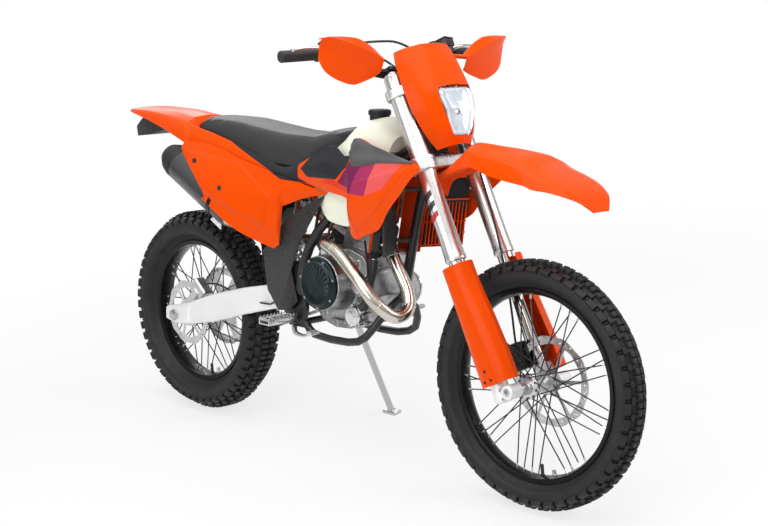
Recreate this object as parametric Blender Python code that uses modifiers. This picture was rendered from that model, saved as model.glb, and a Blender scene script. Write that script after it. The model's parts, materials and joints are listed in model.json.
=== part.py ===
# Enduro motorcycle, standing on its side stand.
# Metres, +Z up, +X forward, +Y to the rider's left.
# The machine is modelled upright, with the rear axle above the origin,
# and is then leaned until both tyres and the stand's foot touch the floor.

import math

import bmesh
import bpy
from mathutils import Matrix, Vector

# Chassis
WHEELBASE = 1.487
RAKE = math.radians(27.0)
AXLE_LEAD = 0.062          # front axle ahead of the steering axis
LEG_LEAD = 0.022           # fork legs ahead of the steering axis
LEG_OUT = 0.105            # fork leg's axis from the centre plane
STEER_REST = math.radians(3.0)
GAP = 0.0003               # seat between touching pieces
SLACK = 0.006              # room round a moving piece
OVERRUN = 0.01             # how far a cutter passes its wall
FLAT = math.radians(0.05)  # a face bent by more than this is split

# Front wheel
FRONT_RADIUS = 0.352
FRONT_TYRE_WIDTH = 0.096
FRONT_RIM_RADIUS = 0.2675
FRONT_RIM_WIDTH = 0.047
FRONT_HUB_RADIUS = 0.024
FRONT_HUB_WIDTH = 0.124
FRONT_FLANGE_RADIUS = 0.034
FRONT_AXLE_RADIUS = 0.011

# Rear wheel
REAR_RADIUS = 0.340
REAR_TYRE_WIDTH = 0.142
REAR_RIM_RADIUS = 0.2345
REAR_RIM_WIDTH = 0.062
REAR_HUB_RADIUS = 0.036
REAR_HUB_WIDTH = 0.150
REAR_FLANGE_RADIUS = 0.047
REAR_AXLE_RADIUS = 0.0125

# Wheel details
RIM_DEPTH = 0.013
RIM_WALL = 0.004
FLANGE_HEIGHT = 0.007
FRONT_BLOCKS = 24          # rows of tread blocks round the tyre
REAR_BLOCKS = 22
BLOCK_HEIGHT = 0.0105
BLOCK_TAPER = 0.84
SPOKE_RADIUS = 0.002
SPOKES_A_SIDE = 18
SPOKE_SWEEP = math.radians(52.0)
NIPPLE_RADIUS = 0.0036

# Discs
FRONT_DISC_RADIUS = 0.130
REAR_DISC_RADIUS = 0.110
DISC_THICKNESS = 0.003
DISC_BAND = 0.022
DISC_WAVE = 0.004
DISC_WAVES = 10

# Chain drive
CHAIN_PLACE = 0.0870
CHAIN_PITCH_HEIGHT = 0.0150
CHAIN_WIDTH = 0.0160
CHAIN_STEPS = 18
REAR_SPROCKET_RADIUS = 0.1264
REAR_SPROCKET_TEETH = 44
FRONT_SPROCKET_RADIUS = 0.0332
FRONT_SPROCKET_TEETH = 13
FRONT_SPROCKET_X = 0.668
FRONT_SPROCKET_Z = 0.505
TOOTH = 0.0058
SPROCKET_THICKNESS = 0.0075
SPROCKET_SEAT = CHAIN_PLACE - SPROCKET_THICKNESS / 2 - GAP

# Fork
TUBE_RADIUS = 0.029
TUBE_SIDES = 16
STANCHION_RADIUS = 0.024
LEG_TOP = 0.955
TUBE_BOTTOM = 0.400
LUG_TOP = 0.060
LUG_RADIUS = 0.021
LOWER_CLAMP_LOW = 0.662
LOWER_CLAMP_HIGH = 0.702
TOP_CLAMP_LOW = 0.885
TOP_CLAMP_HIGH = 0.913
CLAMP_WALL = 0.010
BRIDGE_SHARE = 0.92         # the bridge's height against the clamp's
STEM_RADIUS = 0.015
FORK_GUARD_LOW = 0.034
FORK_GUARD_HIGH = 0.380
FORK_GUARD_FRONT = 0.100
FORK_GUARD_BACK = -0.012
FORK_GUARD_WALL = 0.0025
GUARD_SIDE = (STANCHION_RADIUS + 3 * FORK_GUARD_WALL) * 1.25
GUARD_SCREW_RISE = 0.047
GUARD_SCREW_RADIUS = 0.005

# Handlebar
BAR_HALF = 0.4055
BAR_RADIUS = 0.0143
BAR_TIP_RADIUS = 0.011
GRIP_RADIUS = 0.017
GRIP_LENGTH = 0.125
BAR_CLAMP_LEAD = -0.030
BAR_CLAMP_RISE = 0.985
BAR_END_LEAD = -0.082
BAR_END_RISE = 1.068

# Panels and sheets
PANEL_WALL = 0.0025
FENDER_WALL = 0.003
MASK_WALL = 0.003

# Frame
FRAME_TUBE = 0.016
HEAD_RADIUS = 0.031
HEAD_WALL_LOW = 0.712
HEAD_WALL_HIGH = 0.875
CRADLE_TUBE = 0.013
CRADLE_OUT = 0.105
PIVOT_X = 0.590
PIVOT_Z = 0.492
PIVOT_RADIUS = 0.020

# Swingarm
ARM_INNER = 0.104
ARM_OUTER = 0.134
ARM_BACK = -0.052
ARM_FRONT = 0.560
ARM_LOW = 0.308
ARM_HIGH = 0.530

# Seat and tank
SEAT_HALF = 0.118
TANK_HALF = 0.135

# Engine
CASE_HALF = 0.090
CLUTCH_X = 0.770
CLUTCH_Z = 0.560
CLUTCH_RADIUS = 0.080
CLUTCH_OUT = 0.186
IGNITION_X = 0.840
IGNITION_Z = 0.520
IGNITION_RADIUS = 0.058
IGNITION_OUT = 0.150
BARREL_HALF = 0.062

# Exhaust
HEADER_RADIUS = 0.0195
MUFFLER_RADIUS = 0.056

# Side stand
STAND_X = 0.580
STAND_Y = 0.158
STAND_Z = 0.375
STAND_LEAD = 0.050
STAND_OUT = 0.118
STAND_DROP = 0.325
STAND_RADIUS = 0.011
STAND_TILT = math.radians(9.2)           # the sole against the upright machine
STOWED_SHARES = (-0.99, 0.10, 0.06)     # the folded leg's direction
FOOT_LENGTH = 0.058
FOOT_WIDTH = 0.034
FOOT_THICKNESS = 0.006

BLACK = (0.02, 0.02, 0.022)
RUBBER = (0.025, 0.025, 0.027)
ORANGE = (0.95, 0.16, 0.01)
SILVER = (0.62, 0.63, 0.65)
STEEL = (0.42, 0.42, 0.44)
GREY = (0.20, 0.205, 0.21)
CREAM = (0.78, 0.72, 0.58)

for old in list(bpy.data.objects):
    bpy.data.objects.remove(old)

PARTS = bpy.data.collections.new("enduro_motorcycle")
FORMS = bpy.data.collections.new("cutters")
bpy.context.scene.collection.children.link(PARTS)
bpy.context.scene.collection.children.link(FORMS)


# Modelling helpers

def form(mesh, name="form"):
    obj = bpy.data.objects.new(name, mesh)
    obj.hide_render = True
    obj.display_type = "WIRE"
    FORMS.objects.link(obj)
    return obj


def drop(obj):
    mesh = obj.data
    bpy.data.objects.remove(obj)
    if mesh.users == 0 and isinstance(mesh, bpy.types.Mesh):
        bpy.data.meshes.remove(mesh)


def face_out(bm):
    """Turn every face of a closed solid outwards."""
    bmesh.ops.recalc_face_normals(bm, faces=bm.faces)
    if bm.calc_volume(signed=True) < 0:
        bmesh.ops.reverse_faces(bm, faces=bm.faces)


def closed(mesh):
    """Weld caps and turn every face outwards."""
    bm = bmesh.new()
    bm.from_mesh(mesh)
    bmesh.ops.remove_doubles(bm, verts=bm.verts, dist=0.00001)
    face_out(bm)
    bm.to_mesh(mesh)
    bm.free()
    return mesh


def baked(obj):
    """Replace an object with the plain mesh that it evaluates to."""
    bpy.context.view_layer.update()
    depsgraph = bpy.context.evaluated_depsgraph_get()
    mesh = bpy.data.meshes.new_from_object(obj.evaluated_get(depsgraph))
    mesh.transform(obj.matrix_world)
    drop(obj)
    return form(closed(mesh))


def from_bmesh(bm):
    mesh = bpy.data.meshes.new("form")
    face_out(bm)
    bm.to_mesh(mesh)
    bm.free()
    return form(mesh)


def rod(start, end, radius, end_radius=None, sides=16):
    start, end = Vector(start), Vector(end)
    run = end - start
    bm = bmesh.new()
    bmesh.ops.create_cone(bm, cap_ends=True, segments=sides, radius1=radius,
                          radius2=radius if end_radius is None else end_radius,
                          depth=run.length)
    turn = run.to_track_quat("Z", "Y").to_matrix().to_4x4()
    bm.transform(Matrix.Translation((start + end) / 2) @ turn)
    return from_bmesh(bm)


def block(low, high, bevel=0, turn=None, pivot=None):
    """A box between two corners, with rounded edges and an optional turn."""
    size = Vector([abs(b - a) for a, b in zip(low, high)])
    centre = (Vector(low) + Vector(high)) / 2
    bm = bmesh.new()
    bmesh.ops.create_cube(bm, size=1)
    bm.transform(Matrix.Translation(centre) @ Matrix.Diagonal((*size, 1)))
    if bevel:
        bmesh.ops.bevel(bm, geom=list(bm.edges), offset=bevel, segments=1,
                        profile=0.5, affect="EDGES", clamp_overlap=True)
    if turn is not None:
        pivot = centre if pivot is None else Vector(pivot)
        bm.transform(Matrix.Translation(pivot) @ turn @ Matrix.Translation(-pivot))
    return from_bmesh(bm)


def turned(profile, centre, axis=(0, 1, 0), steps=32, ring=False):
    """A turned solid: (radius, height) points round an axis through centre."""
    bm = bmesh.new()
    points = [bm.verts.new((radius, 0, height)) for radius, height in profile]
    for first, second in zip(points, points[1:]):
        bm.edges.new((first, second))
    if ring:
        bm.edges.new((points[-1], points[0]))
    mesh = bpy.data.meshes.new("form")
    bm.to_mesh(mesh)
    bm.free()
    obj = form(mesh)
    screw = obj.modifiers.new("turn", "SCREW")
    screw.steps = steps
    screw.render_steps = steps
    screw.use_merge_vertices = True
    screw.merge_threshold = 0.00001
    turn = Vector(axis).to_track_quat("Z", "X").to_matrix().to_4x4()
    obj.matrix_world = Matrix.Translation(centre) @ turn
    return baked(obj)


def smooth(points, spans=4):
    """Points of a smooth curve through the given ones."""
    points = [Vector(p) for p in points]
    padded = [2 * points[0] - points[1]] + points + [2 * points[-1] - points[-2]]
    result = []
    for a, b, c, d in zip(padded, padded[1:], padded[2:], padded[3:]):
        for step in range(spans):
            t = step / spans
            result.append(0.5 * (2 * b + (c - a) * t
                                 + (2 * a - 5 * b + 4 * c - d) * t ** 2
                                 + (3 * b - a - 3 * c + d) * t ** 3))
    return result + [points[-1]]


def pipe(points, radius, spans=4, resolution=2):
    """A bent tube along a smooth curve, with filled ends."""
    curve = bpy.data.curves.new("pipe", "CURVE")
    curve.dimensions = "3D"
    path = smooth(points, spans) if spans > 1 else [Vector(p) for p in points]
    spline = curve.splines.new("POLY")
    spline.points.add(len(path) - 1)
    for point, place in zip(spline.points, path):
        point.co = (*place, 1)
    curve.bevel_depth = radius
    curve.bevel_resolution = resolution
    curve.use_fill_caps = True
    obj = bpy.data.objects.new("pipe", curve)
    FORMS.objects.link(obj)
    return baked(obj)


def plate(outline, low_y, high_y, bevel=0):
    """A flat plate: an XZ outline between two places across the machine."""
    curve = bpy.data.curves.new("plate", "CURVE")
    curve.dimensions = "2D"
    curve.fill_mode = "BOTH"
    curve.extrude = abs(high_y - low_y) / 2
    spline = curve.splines.new("POLY")
    spline.points.add(len(outline) - 1)
    for point, (x, z) in zip(spline.points, outline):
        point.co = (x, z, 0, 1)
    spline.use_cyclic_u = True
    obj = bpy.data.objects.new("plate", curve)
    FORMS.objects.link(obj)
    obj.matrix_world = (Matrix.Translation((0, (low_y + high_y) / 2, 0))
                        @ Matrix.Rotation(math.pi / 2, 4, "X"))
    solid = baked(obj)
    if bevel:
        edge = solid.modifiers.new("round", "BEVEL")
        edge.width = bevel
        edge.segments = 2
        edge.limit_method = "ANGLE"
        edge.angle_limit = math.radians(50)
        solid = baked(solid)
    return solid


def loft(sections):
    """A capped solid through closed sections of like count."""
    bm = bmesh.new()
    rings = [[bm.verts.new(p) for p in section] for section in sections]
    count = len(rings[0])
    for first, second in zip(rings, rings[1:]):
        for i in range(count):
            j = (i + 1) % count
            bm.faces.new((first[i], first[j], second[j], second[i]))
    bm.faces.new(rings[0])
    bm.faces.new(rings[-1])
    bmesh.ops.connect_verts_nonplanar(bm, angle_limit=FLAT, faces=bm.faces)
    return from_bmesh(bm)


def sheet(rows, wall, smoothing=0):
    """An open surface through rows of points, thickened inwards."""
    bm = bmesh.new()
    grid = [[bm.verts.new(p) for p in row] for row in rows]
    for first, second in zip(grid, grid[1:]):
        for i in range(len(first) - 1):
            bm.faces.new((first[i], first[i + 1], second[i + 1], second[i]))
    mesh = bpy.data.meshes.new("form")
    bm.to_mesh(mesh)
    bm.free()
    obj = form(mesh)
    if smoothing:
        soft = obj.modifiers.new("soft", "SUBSURF")
        soft.levels = smoothing
        soft.render_levels = smoothing
    thick = obj.modifiers.new("wall", "SOLIDIFY")
    thick.thickness = wall
    thick.offset = -1
    thick.use_even_offset = True
    obj = baked(obj)
    bm = bmesh.new()
    bm.from_mesh(obj.data)
    bmesh.ops.connect_verts_nonplanar(bm, angle_limit=FLAT, faces=bm.faces)
    bm.to_mesh(obj.data)
    bm.free()
    return obj


def boolean(base, tools, operation):
    for tool in tools:
        step = base.modifiers.new("step", "BOOLEAN")
        step.operation = operation
        step.solver = "EXACT"
        step.object = tool
        base = baked(base)
        drop(tool)
    return base


def join(base, *tools):
    return boolean(base, tools, "UNION")


def cut(base, *tools):
    return boolean(base, tools, "DIFFERENCE")


def grown(obj, gap):
    """A copy of a solid with every face moved out by the gap."""
    bm = bmesh.new()
    bm.from_mesh(obj.data)
    bm.normal_update()
    moves = [v.normal * gap * min(v.calc_shell_factor(), 3) for v in bm.verts]
    for vert, move in zip(bm.verts, moves):
        vert.co += move
    return from_bmesh(bm)


def largest(obj):
    """Keep the largest closed body that a cut leaves."""
    bm = bmesh.new()
    bm.from_mesh(obj.data)
    left = set(bm.faces)
    bodies = []
    while left:
        stack = [left.pop()]
        body = set(stack)
        while stack:
            for edge in stack.pop().edges:
                for face in edge.link_faces:
                    if face in left:
                        left.remove(face)
                        body.add(face)
                        stack.append(face)
        bodies.append(body)
    bodies.sort(key=lambda body: sum(face.calc_area() for face in body))
    spare = [face for body in bodies[:-1] for face in body]
    bmesh.ops.delete(bm, geom=spare, context="FACES")
    bm.to_mesh(obj.data)
    bm.free()
    return obj


def clear(base, *others, gap=GAP):
    """Cut a piece back to a seat round its neighbours."""
    return largest(cut(base, *[grown(other, gap) for other in others]))


def spread(shares, box):
    """An outline given as shares of a box (x low, x high, z low, z high)."""
    x0, x1, z0, z1 = box
    return [(x0 + (x1 - x0) * a, z0 + (z1 - z0) * b) for a, b in shares]


def fork(lead, side, rise):
    """A place in the fork: ahead of the steering axis, across, and up it."""
    base_x = WHEELBASE - AXLE_LEAD * math.cos(RAKE)
    base_z = FRONT_RADIUS - AXLE_LEAD * math.sin(RAKE)
    return Vector((base_x + lead * math.cos(RAKE) - rise * math.sin(RAKE), side,
                   base_z + lead * math.sin(RAKE) + rise * math.cos(RAKE)))


STEER_AXIS = Vector((-math.sin(RAKE), 0, math.cos(RAKE)))
FRONT_AXLE = Vector((WHEELBASE, 0, FRONT_RADIUS))
REAR_AXLE = Vector((0, 0, REAR_RADIUS))
PIVOT = Vector((PIVOT_X, 0, PIVOT_Z))


STANCE = bpy.data.objects.new("stance", None)
FORMS.objects.link(STANCE)
HOLDERS = {}


def holder(name, place, parent=None):
    """An empty on a joint's axis that carries a moving body."""
    empty = bpy.data.objects.new(name + "_axis", None)
    FORMS.objects.link(empty)
    above = HOLDERS[parent][1] if parent else Vector((0, 0, 0))
    empty.parent = HOLDERS[parent][0] if parent else STANCE
    empty.location = Vector(place) - above
    HOLDERS[name] = (empty, Vector(place))


def part(name, solid, colour, roughness, metallic, body=None):
    """Name a finished piece, colour it and hang it on its body."""
    FORMS.objects.unlink(solid)
    PARTS.objects.link(solid)
    solid.name = name
    solid.data.name = name
    solid.hide_render = False
    solid.display_type = "TEXTURED"
    look = bpy.data.materials.new(name)
    look.use_nodes = True
    shader = look.node_tree.nodes["Principled BSDF"]
    shader.inputs["Base Color"].default_value = (*colour, 1)
    shader.inputs["Roughness"].default_value = roughness
    shader.inputs["Metallic"].default_value = metallic
    solid.data.materials.clear()
    solid.data.materials.append(look)
    solid.data.shade_smooth()
    solid.data.set_sharp_from_angle(angle=math.radians(35))
    if body:
        solid.parent = HOLDERS[body][0]
        solid.data.transform(Matrix.Translation(-HOLDERS[body][1]))
    else:
        solid.parent = STANCE
    return solid


# Wheels

TREAD_SHARES = (   # radius as a share of the tyre's height, width as a share of its half
    (0.42, 0.90), (0.66, 0.86), (0.84, 0.55), (1.00, 0.19))


def tread_section(radius, width, rim_radius, rim_width):
    """A carcass's cross-section, from its crown down to the rim and up the other side."""
    bead = rim_width / 2 - RIM_WALL - GAP
    low = rim_radius + GAP
    flange = rim_radius + FLANGE_HEIGHT + GAP
    tall = radius - BLOCK_HEIGHT - flange
    half = [(low, bead), (flange, bead)]
    half += [(flange + tall * up, width / 2 * out) for up, out in TREAD_SHARES]
    return half[::-1] + [(r, -y) for r, y in half]


def tyre(axle, radius, width, rim_radius, rim_width, blocks):
    """A turned carcass whose tread faces are pushed out as staggered blocks."""
    section = tread_section(radius, width, rim_radius, rim_width)
    count, steps = len(section), 2 * blocks
    shoulder_and_crown, between = (1, count - 3, count - 1), (0, count - 2)
    bm = bmesh.new()
    rings = []
    for i in range(steps):
        angle = 2 * math.pi * i / steps
        rings.append([bm.verts.new(axle + Vector((r * math.cos(angle), y, r * math.sin(angle))))
                      for r, y in section])
    raised = []
    for i, ring in enumerate(rings):
        after = rings[(i + 1) % steps]
        for j in range(count):
            k = (j + 1) % count
            face = bm.faces.new((ring[j], after[j], after[k], ring[k]))
            if j in (between if i % 2 else shoulder_and_crown):
                raised.append(face)
    face_out(bm)
    for face in bmesh.ops.extrude_discrete_faces(bm, faces=raised)["faces"]:
        middle, out = face.calc_center_median(), face.normal.copy()
        for vert in face.verts:
            vert.co = middle + (vert.co - middle) * BLOCK_TAPER + out * BLOCK_HEIGHT
    return from_bmesh(bm)


def rim_ring(axle, rim_radius, rim_width, steps):
    half = rim_width / 2
    inner = rim_radius - RIM_DEPTH
    half_profile = [(inner, half * 0.40), (inner + RIM_DEPTH * 0.45, half * 0.92),
                    (rim_radius + FLANGE_HEIGHT, half),
                    (rim_radius + FLANGE_HEIGHT, half - RIM_WALL),
                    (rim_radius, half - RIM_WALL)]
    profile = half_profile + [(r, -y) for r, y in reversed(half_profile)]
    return turned(profile, axle, steps=steps, ring=True)


def hub(axle, radius, width, flange_radius, right, left, spread_share, steps=16):
    """A waisted hub with two spoke flanges and a seat at each end."""
    seat = width / 2 * spread_share
    lip = FLANGE_HEIGHT / 2
    flange = [(flange_radius, seat + lip), (flange_radius, seat - lip),
              (radius, seat - 2 * lip)]
    profile = ([(0, left), (radius * 0.74, left)] + flange
               + [(r, -y) for r, y in reversed(flange)] + [(radius * 0.74, -right), (0, -right)])
    return turned(profile, axle, steps=steps)


def spokes(axle, rim_inner, flange_radius, seat):
    """Crossed spokes: half of each side leads and half trails."""
    result = []
    pitch = 2 * math.pi / SPOKES_A_SIDE
    for side in (1, -1):
        for i in range(SPOKES_A_SIDE):
            lean = 1 if i % 2 else -1
            pass_by = lean * SPOKE_RADIUS * 1.1
            start = (i - (i % 2) * 0.5 + 0.25 * side) * pitch
            end = start + lean * SPOKE_SWEEP
            inner = flange_radius - 1.5 * SPOKE_RADIUS
            a = Vector((inner * math.cos(start), side * seat + pass_by, inner * math.sin(start)))
            reach = rim_inner + RIM_DEPTH / 3
            b = Vector((reach * math.cos(end), side * NIPPLE_RADIUS * 1.5 + pass_by,
                        reach * math.sin(end)))
            result.append(rod(axle + a, axle + b, SPOKE_RADIUS, sides=3))
    return result


def wire_wheel(axle, rim_radius, rim_width, hub_radius, hub_width, flange_radius,
               axle_radius, right, left, spread_share, steps):
    wheel = rim_ring(axle, rim_radius, rim_width, steps)
    middle = hub(axle, hub_radius, hub_width, flange_radius, right, left, spread_share)
    seat = hub_width / 2 * spread_share
    lacing = spokes(axle, rim_radius - RIM_DEPTH, flange_radius, seat)
    wheel = join(wheel, *lacing)
    wheel = join(wheel, middle)
    reach = Vector((0, hub_width, 0))
    return cut(wheel, rod(axle - reach, axle + reach, axle_radius + GAP, sides=16))


def wave_ring(axle, place, radius, inner, thickness, waves, wave, steps):
    """A disc with a waved edge and a round middle."""
    outline = []
    for i in range(steps):
        angle = 2 * math.pi * i / steps
        r = radius - wave / 2 + wave / 2 * math.cos(waves * angle)
        outline.append((axle.x + r * math.cos(angle), axle.z + r * math.sin(angle)))
    disc = plate(outline, place - thickness / 2, place + thickness / 2)
    reach = Vector((0, thickness * 2, 0))
    middle = axle + Vector((0, place, 0))
    return cut(disc, rod(middle - reach, middle + reach, inner, sides=waves * 2))


def brake_disc(axle, place, radius, carrier_radius, bore, arms=6):
    disc = wave_ring(axle, place, radius, radius - DISC_BAND, DISC_THICKNESS,
                     DISC_WAVES, DISC_WAVE, DISC_WAVES * 3)
    half = DISC_THICKNESS / 2
    carrier = turned([(bore, half), (carrier_radius, half), (carrier_radius, -half),
                      (bore, -half)], axle + Vector((0, place, 0)), steps=16, ring=True)
    pieces = [carrier]
    for i in range(arms):
        angle = 2 * math.pi * i / arms
        turn = Matrix.Rotation(angle, 4, "Y")
        low = axle + Vector((carrier_radius - half * 4, place - half * 0.9, -half * 3))
        high = axle + Vector((radius - DISC_BAND * 0.8, place + half * 0.9, half * 3))
        pieces.append(block(low, high, turn=turn, pivot=axle))
    return join(disc, *pieces)


def sprocket(axle, place, radius, teeth, bore, thickness):
    outline = []
    for i in range(teeth):
        for share, tall in ((0.0, -1), (0.5, 1)):
            angle = 2 * math.pi * (i + share) / teeth
            r = radius + tall * TOOTH / 2
            outline.append((axle.x + r * math.cos(angle), axle.z + r * math.sin(angle)))
    wheel = plate(outline, place - thickness / 2, place + thickness / 2)
    reach = Vector((0, thickness, 0))
    middle = Vector((axle.x, place, axle.z))
    return cut(wheel, rod(middle - reach, middle + reach, bore, sides=16))


def build_wheels():
    holder("front_wheel", FRONT_AXLE, "steering")
    holder("rear_wheel", REAR_AXLE)
    front = tyre(FRONT_AXLE, FRONT_RADIUS, FRONT_TYRE_WIDTH, FRONT_RIM_RADIUS,
                 FRONT_RIM_WIDTH, FRONT_BLOCKS)
    part("front_tyre", front, RUBBER, 0.8, 0, "front_wheel")
    rear = tyre(REAR_AXLE, REAR_RADIUS, REAR_TYRE_WIDTH, REAR_RIM_RADIUS,
                REAR_RIM_WIDTH, REAR_BLOCKS)
    part("rear_tyre", rear, RUBBER, 0.8, 0, "rear_wheel")
    wheel = wire_wheel(FRONT_AXLE, FRONT_RIM_RADIUS, FRONT_RIM_WIDTH, FRONT_HUB_RADIUS,
                       FRONT_HUB_WIDTH, FRONT_FLANGE_RADIUS, FRONT_AXLE_RADIUS, FRONT_HUB_WIDTH / 2,
                       FRONT_HUB_WIDTH / 2, 0.60, FRONT_BLOCKS)
    part("front_rim_spokes_and_hub", wheel, BLACK, 0.35, 0.6, "front_wheel")
    wheel = wire_wheel(REAR_AXLE, REAR_RIM_RADIUS, REAR_RIM_WIDTH, REAR_HUB_RADIUS,
                       REAR_HUB_WIDTH, REAR_FLANGE_RADIUS, REAR_AXLE_RADIUS, REAR_HUB_WIDTH / 2,
                       SPROCKET_SEAT, 0.52, REAR_BLOCKS)
    part("rear_rim_spokes_and_hub", wheel, BLACK, 0.35, 0.6, "rear_wheel")


def build_discs():
    half = FRONT_HUB_WIDTH / 2
    place = half + GAP + DISC_THICKNESS / 2
    bore = FRONT_HUB_RADIUS * 0.55
    disc = brake_disc(FRONT_AXLE, place, FRONT_DISC_RADIUS, FRONT_FLANGE_RADIUS, bore)
    part("front_brake_disc", disc, STEEL, 0.25, 0.9, "front_wheel")
    place = -(REAR_HUB_WIDTH / 2 + GAP + DISC_THICKNESS / 2)
    bore = REAR_HUB_RADIUS * 0.55
    disc = brake_disc(REAR_AXLE, place, REAR_DISC_RADIUS, REAR_FLANGE_RADIUS, bore)
    part("rear_brake_disc", disc, STEEL, 0.25, 0.9, "rear_wheel")
    ring = sprocket(REAR_AXLE, CHAIN_PLACE, REAR_SPROCKET_RADIUS, REAR_SPROCKET_TEETH,
                    bore, SPROCKET_THICKNESS)
    part("rear_sprocket", ring, SILVER, 0.35, 0.9, "rear_wheel")


# Fork and steering

def tube_leg(side):
    out = side * LEG_OUT
    leg = rod(fork(LEG_LEAD, out, TUBE_BOTTOM), fork(LEG_LEAD, out, LEG_TOP),
              TUBE_RADIUS, sides=TUBE_SIDES)
    cap = rod(fork(LEG_LEAD, out, LEG_TOP - OVERRUN), fork(LEG_LEAD, out, LEG_TOP + OVERRUN),
              TUBE_RADIUS * 0.82, sides=14)
    collar = rod(fork(LEG_LEAD, out, TUBE_BOTTOM - OVERRUN),
                 fork(LEG_LEAD, out, TUBE_BOTTOM + OVERRUN), TUBE_RADIUS * 1.06, sides=TUBE_SIDES)
    stanchion = rod(fork(LEG_LEAD, out, LUG_TOP - OVERRUN),
                    fork(LEG_LEAD, out, TUBE_BOTTOM + OVERRUN), STANCHION_RADIUS, sides=TUBE_SIDES - 2)
    foot = rod(fork(LEG_LEAD, out, -LUG_RADIUS), fork(LEG_LEAD, out, LUG_TOP),
               STANCHION_RADIUS * 1.08, sides=TUBE_SIDES - 2)
    reach = Vector((0, side * STANCHION_RADIUS, 0))
    axle_low = fork(AXLE_LEAD, out, 0)
    boss = rod(axle_low - reach * 1.3, axle_low + reach * 0.9, LUG_RADIUS, sides=TUBE_SIDES - 2)
    arm = block(fork(LEG_LEAD, out - STANCHION_RADIUS, 0) - Vector((0, 0, LUG_RADIUS)),
                fork(AXLE_LEAD, out + STANCHION_RADIUS * 0.7, 0) + Vector((0, 0, LUG_RADIUS)),
                bevel=LUG_RADIUS / 5)
    screws = []
    for lead in (LEG_LEAD - STANCHION_RADIUS / 2, LEG_LEAD + STANCHION_RADIUS / 2):
        tip = out + side * (GUARD_SIDE + GAP * 3)
        screws.append(rod(fork(lead, out, GUARD_SCREW_RISE), fork(lead, tip, GUARD_SCREW_RISE),
                          GUARD_SCREW_RADIUS, sides=8))
    leg = join(leg, collar, cap, stanchion, foot, boss, arm, *screws)
    bore = rod(axle_low - reach * 3, axle_low + reach * 3, FRONT_AXLE_RADIUS + GAP, sides=16)
    return cut(leg, bore)


def clamp(low, high):
    """A triple clamp: two split rings on the legs and a bridge."""
    ring = TUBE_RADIUS + CLAMP_WALL
    mid = (low + high) / 2
    solid = None
    for side in (1, -1):
        collar = rod(fork(LEG_LEAD, side * LEG_OUT, low), fork(LEG_LEAD, side * LEG_OUT, high),
                     ring, sides=TUBE_SIDES)
        solid = collar if solid is None else join(solid, collar)
    turn = Matrix.Rotation(-RAKE, 4, "Y")
    centre = fork(LEG_LEAD / 2, 0, mid)
    tall = (high - low) / 2 * BRIDGE_SHARE
    half = Vector((ring * 0.88, LEG_OUT, tall))
    bridge = block(centre - half, centre + half, bevel=CLAMP_WALL / 3, turn=turn)
    boss = rod(fork(0, 0, low), fork(0, 0, high), HEAD_RADIUS, sides=TUBE_SIDES)
    solid = join(solid, bridge, boss)
    for side in (1, -1):
        bore = rod(fork(LEG_LEAD, side * LEG_OUT, low - OVERRUN),
                   fork(LEG_LEAD, side * LEG_OUT, high + OVERRUN), TUBE_RADIUS + GAP, sides=TUBE_SIDES)
        solid = cut(solid, bore)
    return solid


def fork_guard(side):
    """A wrapped shield over the stanchion, open at the back."""
    rows = []
    shares = ((0.0, 1.0), (0.16, 1.0), (0.5, 0.92), (0.82, 0.80), (1.0, 0.78))
    span = FORK_GUARD_FRONT - FORK_GUARD_BACK
    for up_share, size_share in shares:
        rise = FORK_GUARD_LOW + (FORK_GUARD_HIGH - FORK_GUARD_LOW) * up_share
        front = FORK_GUARD_BACK + span * size_share
        wide = STANCHION_RADIUS + 3 * FORK_GUARD_WALL
        row = []
        for lead_share, out_share in ((0.0, 0.9), (0.25, 1.25), (0.6, 1.25), (0.86, 0.9),
                                      (1.0, 0.25), (0.97, -0.35)):
            lead = FORK_GUARD_BACK + (front - FORK_GUARD_BACK) * lead_share
            row.append(fork(lead, side * (LEG_OUT + wide * out_share), rise))
        rows.append(row if side > 0 else row[::-1])
    return sheet(rows, FORK_GUARD_WALL)


def build_fork():
    legs = {}
    for side, label in ((1, "left"), (-1, "right")):
        legs[label] = tube_leg(side)
    axle = rod(fork(AXLE_LEAD, -LEG_OUT - LUG_RADIUS, 0), fork(AXLE_LEAD, LEG_OUT + LUG_RADIUS, 0),
               FRONT_AXLE_RADIUS, sides=16)
    part("front_axle", axle, SILVER, 0.3, 0.9, "steering")
    stem = rod(fork(0, 0, LOWER_CLAMP_LOW + CLAMP_WALL), fork(0, 0, TOP_CLAMP_HIGH + CLAMP_WALL),
               STEM_RADIUS)
    clamps = join(stem, clamp(LOWER_CLAMP_LOW, LOWER_CLAMP_HIGH),
                  clamp(TOP_CLAMP_LOW, TOP_CLAMP_HIGH))
    part("triple_clamps_and_stem", clamps, GREY, 0.45, 0.7, "steering")
    for side, label in ((1, "left"), (-1, "right")):
        guard = clear(fork_guard(side), legs[label])
        if side > 0:
            caliper = clear(build_front_caliper(), legs[label], guard)
            part("front_caliper", caliper, GREY, 0.5, 0.6, "steering")
        part("fork_leg_" + label, legs[label], SILVER, 0.3, 0.85, "steering")
        part("fork_guard_" + label, guard, ORANGE, 0.3, 0, "steering")


def bar_path():
    """The bar's right half, from the middle out."""
    shares = ((0, 0, 0), (0.17, 0, 0), (0.27, 0.08, 0.10), (0.41, 0.20, 0.82),
              (0.48, 0.30, 0.925), (0.54, 0.39, 0.935), (1.0, 1.0, 1.0))
    return [fork(BAR_CLAMP_LEAD + (BAR_END_LEAD - BAR_CLAMP_LEAD) * back, BAR_HALF * out,
                 BAR_CLAMP_RISE + (BAR_END_RISE - BAR_CLAMP_RISE) * up)
            for out, back, up in shares]


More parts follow.
